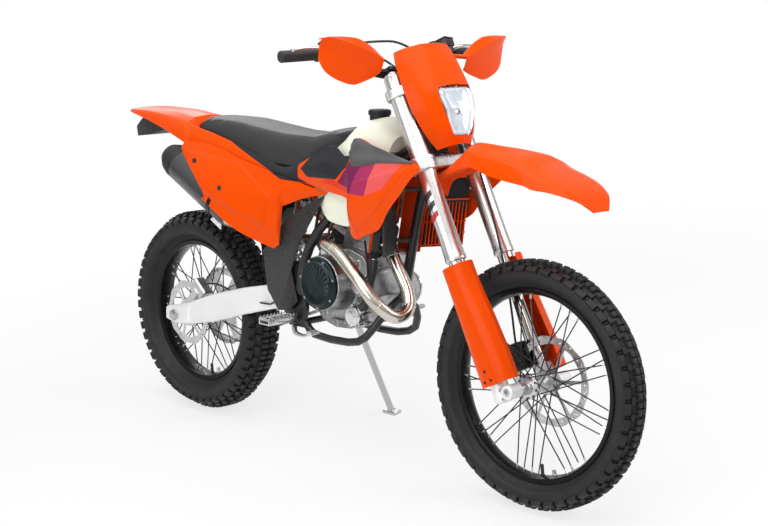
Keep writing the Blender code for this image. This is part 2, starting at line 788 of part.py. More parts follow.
def build_handlebar():
    half = bar_path()
    other = [Vector((p.x, -p.y, p.z)) for p in half]
    solid = pipe(other[:0:-1] + half, BAR_TIP_RADIUS, spans=2)
    for points in (half, other):
        outward = (points[-1] - points[-2]).normalized()
        end = points[-1] + outward * GRIP_RADIUS * 0.1
        grip = rod(end - outward * GRIP_LENGTH, end, GRIP_RADIUS, sides=14)
        solid = join(solid, grip)
    for side in (1, -1):
        at = side * LEG_OUT / 2
        sunk = (TOP_CLAMP_HIGH - TOP_CLAMP_LOW) / 2 * (1 - BRIDGE_SHARE)
        low = fork(BAR_CLAMP_LEAD, at, TOP_CLAMP_HIGH - sunk + GAP)
        high = fork(BAR_CLAMP_LEAD, at, BAR_CLAMP_RISE + BAR_RADIUS * 1.3)
        solid = join(solid, rod(low, high, GRIP_RADIUS, sides=14))
    return solid, half, other


PERCH_LENGTH = 0.036


def lever(points):
    """A clamped perch on the bar with its lever ahead of the grip."""
    outward = (points[-1] - points[-2]).normalized()
    ahead = fork(1, 0, 0) - fork(0, 0, 0)
    root = points[-1] - outward * (GRIP_LENGTH + PERCH_LENGTH * 0.6)
    clamp_ring = rod(root - outward * PERCH_LENGTH / 2, root + outward * PERCH_LENGTH / 2,
                     GRIP_RADIUS, sides=14)
    start = root + ahead * BAR_TIP_RADIUS
    path = [start, start + ahead * GRIP_RADIUS * 1.2 + outward * GRIP_RADIUS * 0.6,
            start + ahead * GRIP_RADIUS * 2.1 + outward * GRIP_LENGTH * 0.30,
            start + ahead * GRIP_RADIUS * 2.3 + outward * GRIP_LENGTH * 0.70,
            start + ahead * GRIP_RADIUS * 2.1 + outward * GRIP_LENGTH * 1.10]
    return join(clamp_ring, pipe(path, BAR_TIP_RADIUS / 2, spans=2))


HAND_GUARD_IN = 0.178
HAND_GUARD_OUT = 0.392
HAND_GUARD_LEAD = 0.064    # ahead of the steering axis, at the inner end
HAND_GUARD_LOW = 0.932
HAND_GUARD_TALL = 0.124
HAND_GUARD_LEAN = 0.5      # how fast it leads with height, which stands it upright
HAND_GUARD_BULGE = 0.012
HAND_GUARD_SHARES = (      # across, set back, then low, lower crease, upper crease, top
    (0.00, 0.00, 0.20, 0.24, 0.42, 0.55), (0.10, 0.00, 0.13, 0.20, 0.48, 0.66),
    (0.28, 0.02, 0.05, 0.26, 0.60, 0.82), (0.46, 0.08, 0.00, 0.36, 0.70, 0.92),
    (0.72, 0.20, 0.12, 0.56, 0.84, 0.97), (0.93, 0.38, 0.36, 0.76, 0.94, 1.00),
    (1.00, 0.50, 0.58, 0.84, 0.95, 0.99))
HAND_GUARD_ARM_SHARES = (0.16, 0.43)


def hand_guard_point(side, across, back, up, bulge=0.0):
    """A place on the shield, from its shares across and up it."""
    rise = HAND_GUARD_LOW + HAND_GUARD_TALL * up
    middle = HAND_GUARD_LOW + HAND_GUARD_TALL / 2
    lead = (HAND_GUARD_LEAD * (1 - back) + HAND_GUARD_LEAN * (rise - middle) + bulge)
    return fork(lead, side * (HAND_GUARD_IN + (HAND_GUARD_OUT - HAND_GUARD_IN) * across), rise)


def hand_guard(side):
    """A shield ahead of the grip, with two creases that meet at its outer corner."""
    rows = []
    for across, back, *heights in HAND_GUARD_SHARES:
        bulges = (0, HAND_GUARD_BULGE, HAND_GUARD_BULGE, 0)
        row = [hand_guard_point(side, across, back, up, bulge)
               for up, bulge in zip(heights, bulges)]
        rows.append(row[::-1] if side > 0 else row)
    return sheet(rows, PANEL_WALL)


def build_controls(bar, right, other):
    for points, label in ((right, "left"), (other, "right")):
        side = 1 if points is right else -1
        outward = (points[-1] - points[-2]).normalized()
        control = lever(points)
        at = points[-1] - outward * (GRIP_LENGTH + PERCH_LENGTH * 1.5)
        end = hand_guard_point(side, HAND_GUARD_ARM_SHARES[0], 0, HAND_GUARD_ARM_SHARES[1],
                               HAND_GUARD_BULGE)
        start = at + (end - at).normalized() * BAR_TIP_RADIUS * 1.2
        arm = pipe([start, (at + end) / 2, end], BAR_TIP_RADIUS * 0.6, spans=2)
        half = GRIP_RADIUS * 0.4
        bore = BAR_TIP_RADIUS + GAP
        ring = turned([(bore, -half), (GRIP_RADIUS, -half), (GRIP_RADIUS, half), (bore, half)],
                      at, axis=outward, steps=14, ring=True)
        shield = clear(join(hand_guard(side), ring, arm), control)
        bar = join(bar, control)
        part("hand_guard_" + label, shield, ORANGE, 0.3, 0, "steering")
    return bar


def steered_copy(obj):
    """A finished steering piece's solid, back in the machine's frame."""
    mesh = obj.data.copy()
    mesh.transform(Matrix.Translation(HOLDERS["steering"][1]))
    return form(mesh)


def build_steering_top():
    bar, half, other = build_handlebar()
    bar = build_controls(bar, half, other)
    part("handlebar_with_grips", bar, BLACK, 0.6, 0, "steering")
    legs = [steered_copy(bpy.data.objects["fork_leg_" + label]) for label in ("left", "right")]
    clamps = steered_copy(bpy.data.objects["triple_clamps_and_stem"])
    build_mask(clamps, *legs)
    build_front_fender(clamps)


MASK_TOP = 1.010
MASK_LOW = 0.712
MASK_FRONT = 0.150
MASK_BACK = 0.057
MASK_HALF = 0.118
LAMP_LOW = 0.752
LAMP_HIGH = 0.858


def mask_rows():
    rows = []
    levels = ((1.00, 0.92, 0.70), (0.86, 1.00, 0.82), (0.62, 1.02, 0.95), (0.48, 1.00, 1.00),
              (0.26, 0.88, 0.85), (0.10, 0.72, 0.66), (0.0, 0.55, 0.45))
    for up, wide, ahead in levels:
        rise = MASK_LOW + (MASK_TOP - MASK_LOW) * up
        row = []
        for across, lead in ((-1.0, 0.0), (-0.86, 0.42), (-0.5, 0.80), (0, 1.0),
                             (0.5, 0.80), (0.86, 0.42), (1.0, 0.0)):
            at = MASK_BACK + (MASK_FRONT - MASK_BACK) * lead * ahead
            row.append(fork(at, MASK_HALF * wide * across, rise))
        rows.append(row)
    return rows


def build_mask(*carriers):
    rows = mask_rows()
    shell = sheet(rows, MASK_WALL)
    lamp_half = MASK_HALF * 0.62
    turn = Matrix.Rotation(-RAKE, 4, "Y")
    centre = fork(MASK_FRONT, 0, (LAMP_LOW + LAMP_HIGH) / 2)
    size = Vector((MASK_FRONT - MASK_BACK, lamp_half, (LAMP_HIGH - LAMP_LOW) / 2))
    hole = block(centre - size, centre + size, bevel=MASK_WALL * 4, turn=turn)
    shell = clear(largest(cut(shell, hole)), *carriers)
    part("headlight_mask", shell, ORANGE, 0.3, 0, "steering")
    inner = size - Vector((0, GAP * 3, GAP * 3))
    deep = Vector(((MASK_FRONT - MASK_BACK) * 0.32, inner.y, inner.z))
    at = fork(MASK_FRONT * 0.74, 0, (LAMP_LOW + LAMP_HIGH) / 2)
    lamp = block(at - deep, at + deep, bevel=MASK_WALL * 4, turn=turn)
    part("headlight", lamp, (0.7, 0.72, 0.75), 0.1, 0, "steering")


FENDER_SHARES = ((0.00, 0.80), (0.11, 0.83), (0.27, 0.86), (0.34, 0.97), (0.41, 0.99),
                 (0.53, 0.88), (0.65, 0.77), (0.75, 0.66), (0.80, 0.55), (0.87, 0.42),
                 (0.94, 0.28), (0.98, 0.16), (1.00, 0.00))
FENDER_BACK = -0.060
FENDER_FRONT = 0.462
FENDER_LOW = 0.362
FENDER_HIGH = 0.690
FENDER_HALF = 0.112
FENDER_DROP = 0.085


def build_front_fender(*carriers):
    line = spread(FENDER_SHARES, (FENDER_BACK, FENDER_FRONT, FENDER_LOW, FENDER_HIGH))
    seat = LOWER_CLAMP_LOW - GAP
    line[1] = (-HEAD_RADIUS * 0.9, seat)
    line[2] = (HEAD_RADIUS * 1.5, seat)
    widths = (0.40, 0.45, 0.50, 0.58, 0.66, 0.80, 0.92, 1.0, 1.0, 0.98, 0.86, 0.62, 0.30)
    drops = (0.20, 0.25, 0.30, 0.60, 0.80, 0.95, 1.0, 0.95, 0.80, 0.55, 0.35, 0.20, 0.02)
    rows = []
    for (lead, rise), wide, deep in zip(line, widths, drops):
        row = []
        for across, fall in ((-1, 1.0), (-0.86, 0.42), (-0.45, 0.10), (0, 0),
                             (0.45, 0.10), (0.86, 0.42), (1, 1.0)):
            row.append(fork(lead, FENDER_HALF * wide * across, rise - FENDER_DROP * deep * fall))
        rows.append(row)
    shell = clear(sheet(rows, FENDER_WALL), *carriers)
    part("front_fender", shell, ORANGE, 0.3, 0, "steering")


FRONT_CALIPER_LEAD = -0.026
FRONT_CALIPER_RISE = 0.098
FRONT_CALIPER_HALF = (0.037, 0.026, 0.040)


def build_front_caliper():
    """A block behind the left leg, cut for the disc."""
    place = FRONT_HUB_WIDTH / 2 + GAP + DISC_THICKNESS / 2
    centre = fork(FRONT_CALIPER_LEAD, place, FRONT_CALIPER_RISE)
    half = Vector(FRONT_CALIPER_HALF)
    body = block(centre - half, centre + half, bevel=half.x / 5,
                 turn=Matrix.Rotation(-RAKE, 4, "Y"))
    room = Vector((0, DISC_THICKNESS / 2 + SLACK / 3, 0))
    middle = FRONT_AXLE + Vector((0, place, 0))
    return cut(body, rod(middle - room, middle + room, FRONT_DISC_RADIUS + SLACK, sides=48))


# Rear end

def run_tangents():
    """Upper and lower chain runs between the two pitch circles."""
    front = Vector((FRONT_SPROCKET_X, FRONT_SPROCKET_Z))
    rear = Vector((0, REAR_RADIUS))
    away = front - rear
    gap = away.length
    base = math.atan2(away.y, away.x)
    open_angle = math.acos((REAR_SPROCKET_RADIUS - FRONT_SPROCKET_RADIUS) / gap)
    return front, rear, base, open_angle


def chain_outline(offset):
    front, rear, base, open_angle = run_tangents()
    outline = []
    steps = CHAIN_STEPS
    r = REAR_SPROCKET_RADIUS + offset
    for i in range(steps + 1):
        angle = base + open_angle + (2 * math.pi - 2 * open_angle) * i / steps
        outline.append((rear.x + r * math.cos(angle), rear.y + r * math.sin(angle)))
    r = FRONT_SPROCKET_RADIUS + offset
    steps = CHAIN_STEPS // 3
    for i in range(steps + 1):
        angle = base - open_angle + 2 * open_angle * i / steps
        outline.append((front.x + r * math.cos(angle), front.y + r * math.sin(angle)))
    return outline


def build_chain():
    half, wall = CHAIN_WIDTH / 2, CHAIN_WIDTH * 0.22
    tall = CHAIN_PITCH_HEIGHT / 2
    solid = plate(chain_outline(tall), CHAIN_PLACE - half, CHAIN_PLACE + half)
    solid = cut(solid, plate(chain_outline(-tall), CHAIN_PLACE - half * 2, CHAIN_PLACE + half * 2),
                plate(chain_outline(tall * 0.62), CHAIN_PLACE - half + wall,
                      CHAIN_PLACE + half - wall))
    part("chain", solid, STEEL, 0.4, 0.9)


# Swingarm and rear axle

ARM_SHIFT = 0.042          # how far the arms close in at the pivot
ARM_SHARES = ((1.0, 0.63, 0.90, 1.0), (0.84, 0.52, 0.88, 0.75), (0.66, 0.38, 0.78, 0.10),
              (0.42, 0.17, 0.60, 0.0), (0.20, 0.04, 0.38, 0.0), (0.09, 0.0, 0.30, 0.0),
              (0.0, 0.04, 0.25, 0.0))
ARM_RIM = 0.009            # the border round the arm's sunk panel
ARM_RECESS = 0.0045
BRIDGE_X = 0.440
BRIDGE_DEEP = 0.028
BRIDGE_LOW = 0.425
BRIDGE_HIGH = 0.478
PIVOT_BOLT = 0.010


def arm_section(x, low, high, inner, outer, side):
    lip = (outer - inner) * 0.22
    points = [(inner, low + lip), (inner + lip, low), (outer - lip, low), (outer, low + lip),
              (outer, high - lip), (outer - lip, high), (inner + lip, high), (inner, high - lip)]
    return [Vector((x, side * y, z)) for y, z in points]


def swing_arm(side):
    sections = []
    for along, low, high, close in ARM_SHARES:
        x = ARM_BACK + (ARM_FRONT - ARM_BACK) * along
        shift = ARM_SHIFT * close
        sections.append(arm_section(x, ARM_LOW + (ARM_HIGH - ARM_LOW) * low,
                                    ARM_LOW + (ARM_HIGH - ARM_LOW) * high,
                                    ARM_INNER - shift, ARM_OUTER - shift * 1.1, side))
    arm = loft(sections)
    nose = rod((PIVOT_X, side * (ARM_INNER - ARM_SHIFT), PIVOT_Z),
               (PIVOT_X, side * (ARM_OUTER - ARM_SHIFT * 1.1), PIVOT_Z),
               PIVOT_RADIUS * 1.25, sides=20)
    panel_line = [ARM_SHARES[i] for i in (2, 3, 4, 5)]
    low_edge = [(ARM_BACK + (ARM_FRONT - ARM_BACK) * along,
                 ARM_LOW + (ARM_HIGH - ARM_LOW) * low + ARM_RIM) for along, low, _, _ in panel_line]
    high_edge = [(ARM_BACK + (ARM_FRONT - ARM_BACK) * along,
                  ARM_LOW + (ARM_HIGH - ARM_LOW) * high - ARM_RIM) for along, _, high, _ in panel_line]
    recess = plate(low_edge[:-1] + high_edge[-2::-1], side * (ARM_OUTER - ARM_RECESS),
                   side * (ARM_OUTER + OVERRUN))
    arm = cut(arm, recess)
    neck = block((ARM_FRONT - OVERRUN, side * (ARM_INNER - ARM_SHIFT * 0.95), PIVOT_Z - PIVOT_RADIUS),
                 (PIVOT_X, side * (ARM_OUTER - ARM_SHIFT * 1.15), PIVOT_Z + PIVOT_RADIUS))
    return join(arm, nose, neck)


def build_swingarm():
    arms = join(swing_arm(1), swing_arm(-1))
    low = (BRIDGE_X - BRIDGE_DEEP, -ARM_INNER, BRIDGE_LOW)
    high = (BRIDGE_X + BRIDGE_DEEP, ARM_INNER, BRIDGE_HIGH)
    arms = join(arms, block(low, high, bevel=BRIDGE_DEEP / 4))
    reach = Vector((0, ARM_OUTER + OVERRUN, 0))
    bore = rod(REAR_AXLE - reach, REAR_AXLE + reach, REAR_AXLE_RADIUS + GAP)
    pivot_bore = rod(PIVOT - reach, PIVOT + reach, PIVOT_BOLT + GAP)
    arms = cut(arms, bore, pivot_bore)
    part("swingarm", arms, SILVER, 0.45, 0.8)
    reach = Vector((0, ARM_OUTER + FLANGE_HEIGHT, 0))
    axle = rod(REAR_AXLE - reach, REAR_AXLE + reach, REAR_AXLE_RADIUS)
    for side in (1, -1):
        start = REAR_AXLE + Vector((0, side * (ARM_OUTER + GAP), 0))
        nut = rod(start, start + Vector((0, side * FLANGE_HEIGHT * 1.6, 0)),
                  REAR_AXLE_RADIUS * 1.5, sides=6)
        axle = join(axle, nut)
    part("rear_axle", axle, STEEL, 0.35, 0.9)


REAR_CALIPER_PLACE = (0.078, 0.092)    # ahead of the axle and above it
REAR_CALIPER_HALF = (0.036, 0.021, 0.022)
REAR_CALIPER_TURN = math.radians(40.0)
REAR_ARM_START = (0.016, 0.019)
REAR_ARM_END = (0.075, 0.088)


def build_rear_caliper():
    """A slotted body over the disc, on an arm from the rear axle."""
    place = -(REAR_HUB_WIDTH / 2 + GAP + DISC_THICKNESS / 2)
    ahead, above = REAR_CALIPER_PLACE
    centre = REAR_AXLE + Vector((ahead, place, above))
    half = Vector(REAR_CALIPER_HALF)
    body = block(centre - half, centre + half, bevel=half.z / 4,
                 turn=Matrix.Rotation(REAR_CALIPER_TURN, 4, "Y"))
    outer, inner = -(ARM_INNER - GAP), place - DISC_THICKNESS * 2
    bore = REAR_AXLE_RADIUS + GAP
    eye = turned([(bore, outer), (REAR_AXLE_RADIUS * 2, outer), (REAR_AXLE_RADIUS * 2, inner),
                  (bore, inner)], REAR_AXLE, steps=20, ring=True)
    start, end = (Vector((x, 0, z)) for x, z in (REAR_ARM_START, REAR_ARM_END))
    low = Vector((0, outer, -half.z * 0.6))
    high = Vector(((end - start).length, inner, half.z * 0.6))
    tilt = Matrix.Rotation(-math.atan2(end.z - start.z, end.x - start.x), 4, "Y")
    web = block(low, high, turn=tilt, pivot=(0, (outer + inner) / 2, 0))
    web.data.transform(Matrix.Translation(REAR_AXLE + start))
    body = join(body, web)
    room = Vector((0, DISC_THICKNESS / 2 + SLACK / 4, 0))
    middle = REAR_AXLE + Vector((0, place, 0))
    slot = rod(middle - room, middle + room, REAR_DISC_RADIUS + SLACK / 2, sides=48)
    return join(largest(cut(body, slot)), eye)


# Frame

PLATE_IN = 0.100
PLATE_OUT = 0.118
PLATE_SHARES = ((0.30, 1.0), (0.0, 0.70), (0.0, 0.25), (0.25, 0.0), (0.85, 0.0),
                (1.0, 0.30), (0.88, 0.62), (0.95, 1.0))
PLATE_BOX = (0.545, 0.655, 0.395, 0.600)
SPAR_X = 0.625
DOWN_X = 0.962
DOWN_Z = 0.520
DOWN_KNEE_LEAD = -0.150
DOWN_KNEE_RISE = 0.600
BRACKET_SHARES = (0.16, 0.86)   # up the radiator
CRADLE_LOW = 0.380
BRACKET_RADIUS = 0.007


def spar(side):
    """The main tube from the steering head to the pivot plate."""
    top = fork(-HEAD_RADIUS * 0.4, side * HEAD_RADIUS * 0.5, HEAD_WALL_LOW + HEAD_RADIUS * 1.8)
    places = [top]
    shares = ((0.68, 0.83, 0.046), (0.39, 0.62, 0.074), (0.165, 0.42, 0.102),
              (0.04, 0.22, 0.111), (0.0, 0.02, 0.111))
    for along, up, out in shares:
        places.append(Vector((SPAR_X + (top.x - SPAR_X) * along,
                              side * out, PIVOT_Z + (top.z - PIVOT_Z) * up)))
    return pipe(places, FRAME_TUBE, spans=2)


def cradle(side):
    """The lower rail, from the front tube to the pivot plate."""
    back = PLATE_BOX[1] - CRADLE_TUBE
    places = [Vector((DOWN_X - CRADLE_TUBE * 0.4, side * CRADLE_TUBE * 0.6, DOWN_Z)),
              Vector((DOWN_X - CRADLE_TUBE, side * CRADLE_OUT * 0.62, DOWN_Z - CRADLE_TUBE * 3)),
              Vector((DOWN_X - CRADLE_TUBE * 4, side * CRADLE_OUT, CRADLE_LOW + CRADLE_TUBE * 2.2)),
              Vector((DOWN_X - CRADLE_TUBE * 10, side * CRADLE_OUT, CRADLE_LOW)),
              Vector((back + CRADLE_TUBE * 3, side * CRADLE_OUT, CRADLE_LOW)),
              Vector((back, side * CRADLE_OUT, CRADLE_LOW + CRADLE_TUBE * 2.4))]
    return pipe(places, CRADLE_TUBE, spans=2)


def down_knee():
    return fork(DOWN_KNEE_LEAD, 0, DOWN_KNEE_RISE)


def radiator_bracket(side, share):
    """The stay from the front tube to a radiator's inner wall."""
    z = RADIATOR_LOW + (RADIATOR_HIGH - RADIATOR_LOW) * share
    knee = down_knee()
    top = fork(-HEAD_RADIUS * 0.4, 0, HEAD_WALL_LOW + HEAD_RADIUS)
    low, high = (Vector((DOWN_X, 0, DOWN_Z)), knee) if z < knee.z else (knee, top)
    start = low + (high - low) * (z - low.z) / (high.z - low.z)
    x = RADIATOR_LOW_X + (RADIATOR_HIGH_X - RADIATOR_LOW_X) * share + RADIATOR_DEEP / 2
    return start, Vector((x, side * (RADIATOR_PLAN[0][1] + BRACKET_RADIUS), z))


def build_frame():
    solid = rod(fork(0, 0, HEAD_WALL_LOW), fork(0, 0, HEAD_WALL_HIGH), HEAD_RADIUS, sides=20)
    low = fork(-HEAD_RADIUS * 0.4, 0, HEAD_WALL_LOW + HEAD_RADIUS)
    down = pipe([low, down_knee(), (DOWN_X, 0, DOWN_Z - CRADLE_TUBE * 0.8)],
                FRAME_TUBE, spans=2)
    solid = join(solid, down)
    for side in (1, -1):
        web = plate(spread(PLATE_SHARES, PLATE_BOX), side * PLATE_IN, side * PLATE_OUT)
        solid = join(solid, spar(side), cradle(side), web)
    high_cross = rod((SPAR_X + FRAME_TUBE * 0.3, -PLATE_OUT, PLATE_BOX[3] - FRAME_TUBE * 1.2),
                     (SPAR_X + FRAME_TUBE * 0.3, PLATE_OUT, PLATE_BOX[3] - FRAME_TUBE * 1.2),
                     FRAME_TUBE * 0.7, sides=12)
    low_cross = rod((SPAR_X, -PLATE_OUT, PLATE_BOX[2] + FRAME_TUBE * 0.9),
                    (SPAR_X, PLATE_OUT, PLATE_BOX[2] + FRAME_TUBE * 0.9),
                    FRAME_TUBE * 0.7, sides=12)
    bolt = rod(PIVOT - Vector((0, PLATE_OUT + OVERRUN, 0)), PIVOT + Vector((0, PLATE_OUT + OVERRUN, 0)),
               PIVOT_BOLT)
    solid = join(solid, high_cross, low_cross, bolt, stand_bracket(),
                 build_footpeg(1), build_footpeg(-1))
    for side in (1, -1):
        for share in BRACKET_SHARES:
            start, end = radiator_bracket(side, share)
            solid = join(solid, rod(start, end, BRACKET_RADIUS, sides=8))
    bore = rod(fork(0, 0, LOWER_CLAMP_LOW), fork(0, 0, HEAD_WALL_HIGH + OVERRUN),
               STEM_RADIUS + SLACK / 6)
    relief = rod(fork(0, 0, LOWER_CLAMP_LOW), fork(0, 0, LOWER_CLAMP_HIGH + SLACK),
                 HEAD_RADIUS + SLACK * 3, sides=24)
    return largest(cut(solid, bore, relief))


STAND_EYE = STAND_RADIUS * 1.7
STAND_EYE_HALF = STAND_RADIUS * 1.2
STAND_PIN = STAND_RADIUS * 0.6


def stand_lines():
    """The stand's pivot, the parked leg's run and the pin's direction."""
    place = Vector((STAND_X, STAND_Y, STAND_Z))
    run = Vector((STAND_LEAD, STAND_OUT, -STAND_DROP))
    return place, run, run.cross(Vector(STOWED_SHARES)).normalized()


def stand_bracket():
    """A lug under the left plate, with a boss and the pin through the stand's eye."""
    place, _, axis = stand_lines()
    ear = STAND_EYE * 0.9
    low = Vector((STAND_X - ear, PLATE_IN + GAP, STAND_Z - ear))
    high = Vector((STAND_X + ear, STAND_Y - STAND_EYE_HALF - ear / 2, PLATE_BOX[2] + ear * 2))
    lug = block(low, high, bevel=ear / 5)
    seat = place - axis * (STAND_EYE_HALF + GAP)
    boss = rod(seat - axis * ear, seat, STAND_EYE * 0.9, sides=12)
    pin = rod(seat - axis * ear, place + axis * (STAND_EYE_HALF + STAND_PIN), STAND_PIN, sides=12)
    head = rod(place + axis * (STAND_EYE_HALF + GAP), place + axis * (STAND_EYE_HALF + STAND_PIN),
               STAND_PIN * 1.8, sides=6)
    return join(lug, boss, pin, head)


# Subframe

SUB_OUT = 0.056
SUB_TUBE = 0.010
SUB_BACK_X = 0.060
SUB_BACK_Z = 0.918
SUB_TOP_X = 0.832
SUB_TOP_OUT = 0.064
SUB_TOP_Z = 0.843
SUB_LOW_X = 0.652
SUB_LOW_OUT = 0.104
PANEL_SCREW_SHARE = 0.62   # how far back the side panel's stud sits
PANEL_SCREW_OUT = 0.163
SUB_LOW_Z = 0.640


def build_subframe():
    solid = None
    for side in (1, -1):
        upper = pipe([(SUB_TOP_X, side * SUB_TOP_OUT, SUB_TOP_Z),
                      ((SUB_TOP_X + SUB_BACK_X) / 2, side * SUB_OUT, (SUB_TOP_Z + SUB_BACK_Z) / 2 - SUB_TUBE),
                      (SUB_BACK_X, side * SUB_OUT, SUB_BACK_Z)], SUB_TUBE, spans=2)
        lower = pipe([(SUB_LOW_X, side * SUB_LOW_OUT, SUB_LOW_Z),
                      ((SUB_LOW_X + SUB_BACK_X) / 2, side * (SUB_LOW_OUT + SUB_OUT) / 2,
                       (SUB_LOW_Z + SUB_BACK_Z) / 2),
                      (SUB_BACK_X + SUB_TUBE * 3, side * SUB_OUT, SUB_BACK_Z - SUB_TUBE / 2)],
                     SUB_TUBE, spans=2)
        stud = Vector((SUB_BACK_X + (SUB_LOW_X - SUB_BACK_X) * PANEL_SCREW_SHARE,
                       side * (SUB_OUT + (SUB_LOW_OUT - SUB_OUT) * PANEL_SCREW_SHARE),
                       SUB_BACK_Z + (SUB_LOW_Z - SUB_BACK_Z) * PANEL_SCREW_SHARE))
        rail = join(upper, lower, rod(stud, (stud.x, side * PANEL_SCREW_OUT, stud.z),
                                      SUB_TUBE * 0.6, sides=8))
        solid = rail if solid is None else join(solid, rail)
    for x in (SUB_BACK_X + SUB_TUBE * 2, SUB_BACK_X + SUB_TUBE * 26):
        z = SUB_BACK_Z + (SUB_TOP_Z - SUB_BACK_Z) * (x - SUB_BACK_X) / (SUB_TOP_X - SUB_BACK_X)
        solid = join(solid, rod((x, -SUB_OUT, z - SUB_TUBE / 2), (x, SUB_OUT, z - SUB_TUBE / 2),
                                SUB_TUBE * 0.9, sides=10))
    return solid


# Engine

CASE_BOX = (0.655, 0.925, 0.412, 0.662)
CASE_SHARES = ((0.00, 0.62), (0.02, 0.25), (0.15, 0.06), (0.37, 0.00), (0.63, 0.02),
               (0.86, 0.14), (1.00, 0.47), (0.97, 0.74), (0.84, 0.94), (0.64, 1.00),
               (0.31, 1.00), (0.10, 0.90))
BARREL_X = 0.815
BARREL_LEAN = math.radians(16.0)
BARREL_TOP = 0.745
HEAD_TOP = 0.826
SPROCKET_POCKET = 0.070


def cylinder_axis(rise):
    """A place up the leaning cylinder, measured from the cases' top."""
    base = CASE_BOX[3]
    return Vector((BARREL_X + (rise - base) * math.tan(BARREL_LEAN), 0, rise))


def build_engine():
    cases = plate(spread(CASE_SHARES, CASE_BOX), -CASE_HALF, CASE_HALF, bevel=GAP * 25)
    turn = Matrix.Rotation(BARREL_LEAN, 4, "Y")
    base = cylinder_axis(CASE_BOX[3])
    low = base - Vector((BARREL_HALF, BARREL_HALF * 0.95, OVERRUN * 3))
    high = base + Vector((BARREL_HALF, BARREL_HALF * 0.95, BARREL_TOP - CASE_BOX[3]))
    barrel = block(low, high, bevel=BARREL_HALF / 6, turn=turn, pivot=base)
    cases = join(cases, barrel)
    front = Vector((FRONT_SPROCKET_X, 0, FRONT_SPROCKET_Z))
    pocket_radius = FRONT_SPROCKET_RADIUS + CHAIN_PITCH_HEIGHT
    pocket = rod(front + Vector((0, SPROCKET_POCKET, 0)), front + Vector((0, CASE_HALF * 2, 0)),
                 pocket_radius, sides=24)
    reach = Vector((pocket_radius, 0, pocket_radius * 1.15))
    rear_room = block((CASE_BOX[0] - OVERRUN, SPROCKET_POCKET, front.z - reach.z),
                      (front.x + OVERRUN, CASE_HALF * 2, front.z + reach.z))
    cases = cut(cases, pocket, rear_room)
    clutch_seat = rod((CLUTCH_X, -CASE_HALF + OVERRUN, CLUTCH_Z), (CLUTCH_X, -CLUTCH_OUT + CLUTCH_DEEP, CLUTCH_Z),
                      CLUTCH_RADIUS * 1.12, CLUTCH_RADIUS * 1.04, sides=28)
    deep = IGNITION_OUT - CASE_HALF
    profile = [(0, -OVERRUN), (IGNITION_RADIUS, -OVERRUN), (IGNITION_RADIUS * 0.95, deep * 0.8),
               (IGNITION_RADIUS * 0.80, deep), (0, deep)]
    ignition = turned(profile, (IGNITION_X, CASE_HALF, IGNITION_Z), steps=20)
    cases = join(cases, clutch_seat, ignition, *engine_covers())
    cases = join(cases, build_front_sprocket(), build_shift_lever())
    part("engine_cases", cases, GREY, 0.5, 0.7)


# Small covers on the cases: x, z, radius, side and how far out they reach
SMALL_COVERS = ((0.872, 0.468, 0.030, -1, 0.034), (0.880, 0.556, 0.021, -1, 0.022),
                (0.742, 0.640, 0.026, -1, 0.016), (0.760, 0.610, 0.024, 1, 0.020))
STARTER_PLACE = (0.914, 0.640)
STARTER_RADIUS = 0.026
STARTER_HALF = 0.052
CLUTCH_DEEP = 0.024
LEVER_REACH = 0.135
LEVER_RADIUS = 0.006


def engine_covers():
    """The water pump, oil filter and shaft covers, and the starter across the front."""
    covers = []
    for x, z, radius, side, out in SMALL_COVERS:
        start = Vector((x, side * (CASE_HALF - OVERRUN), z))
        end = Vector((x, side * (CASE_HALF + out), z))
        covers.append(rod(start, end, radius, radius * 0.86, sides=14))
    x, z = STARTER_PLACE
    covers.append(rod((x, -STARTER_HALF, z), (x, STARTER_HALF, z), STARTER_RADIUS, sides=14))
    return covers


def build_shift_lever():
    """A pedal on the left, from its shaft forward to the toe."""
    shaft = Vector((CASE_BOX[0] + (CASE_BOX[1] - CASE_BOX[0]) * 0.30, CASE_HALF,
                    CASE_BOX[2] + (CASE_BOX[3] - CASE_BOX[2]) * 0.13))
    out = Vector((0, IGNITION_OUT - CASE_HALF, 0))
    toe = shaft + out + Vector((LEVER_REACH, 0, LEVER_RADIUS * 2))
    stub = rod(shaft - Vector((0, OVERRUN, 0)), shaft + out, LEVER_RADIUS * 1.2, sides=10)
    arm = pipe([shaft + out * 0.9, shaft + out + Vector((LEVER_REACH * 0.3, 0, 0)), toe],
               LEVER_RADIUS, spans=2)
    tip = rod(toe - out * 0.1, toe + out * 0.5, LEVER_RADIUS * 1.3, sides=10)
    return join(stub, arm, tip)


def build_covers():
    y = -CLUTCH_OUT + CLUTCH_DEEP - GAP
    rim = CLUTCH_DEEP * 0.25
    profile = [(0, 0), (CLUTCH_RADIUS, 0), (CLUTCH_RADIUS, CLUTCH_DEEP * 0.55),
               (CLUTCH_RADIUS - rim, CLUTCH_DEEP * 0.85), (CLUTCH_RADIUS * 0.80, CLUTCH_DEEP),
               (0, CLUTCH_DEEP)]
    cover = turned(profile, (CLUTCH_X, y, CLUTCH_Z), axis=(0, -1, 0), steps=28)
    part("clutch_cover", cover, BLACK, 0.4, 0.4)
    turn = Matrix.Rotation(BARREL_LEAN, 4, "Y")
    base = cylinder_axis(CASE_BOX[3])
    start = BARREL_TOP - CASE_BOX[3] + GAP
    wide = BARREL_HALF * 0.93
    low = base + Vector((-wide, -wide * 0.92, start))
    high = base + Vector((wide, wide * 0.92, HEAD_TOP - CASE_BOX[3]))
    head = block(low, high, bevel=wide / 7, turn=turn, pivot=base)
    head.name = "head"
    return head


# Exhaust

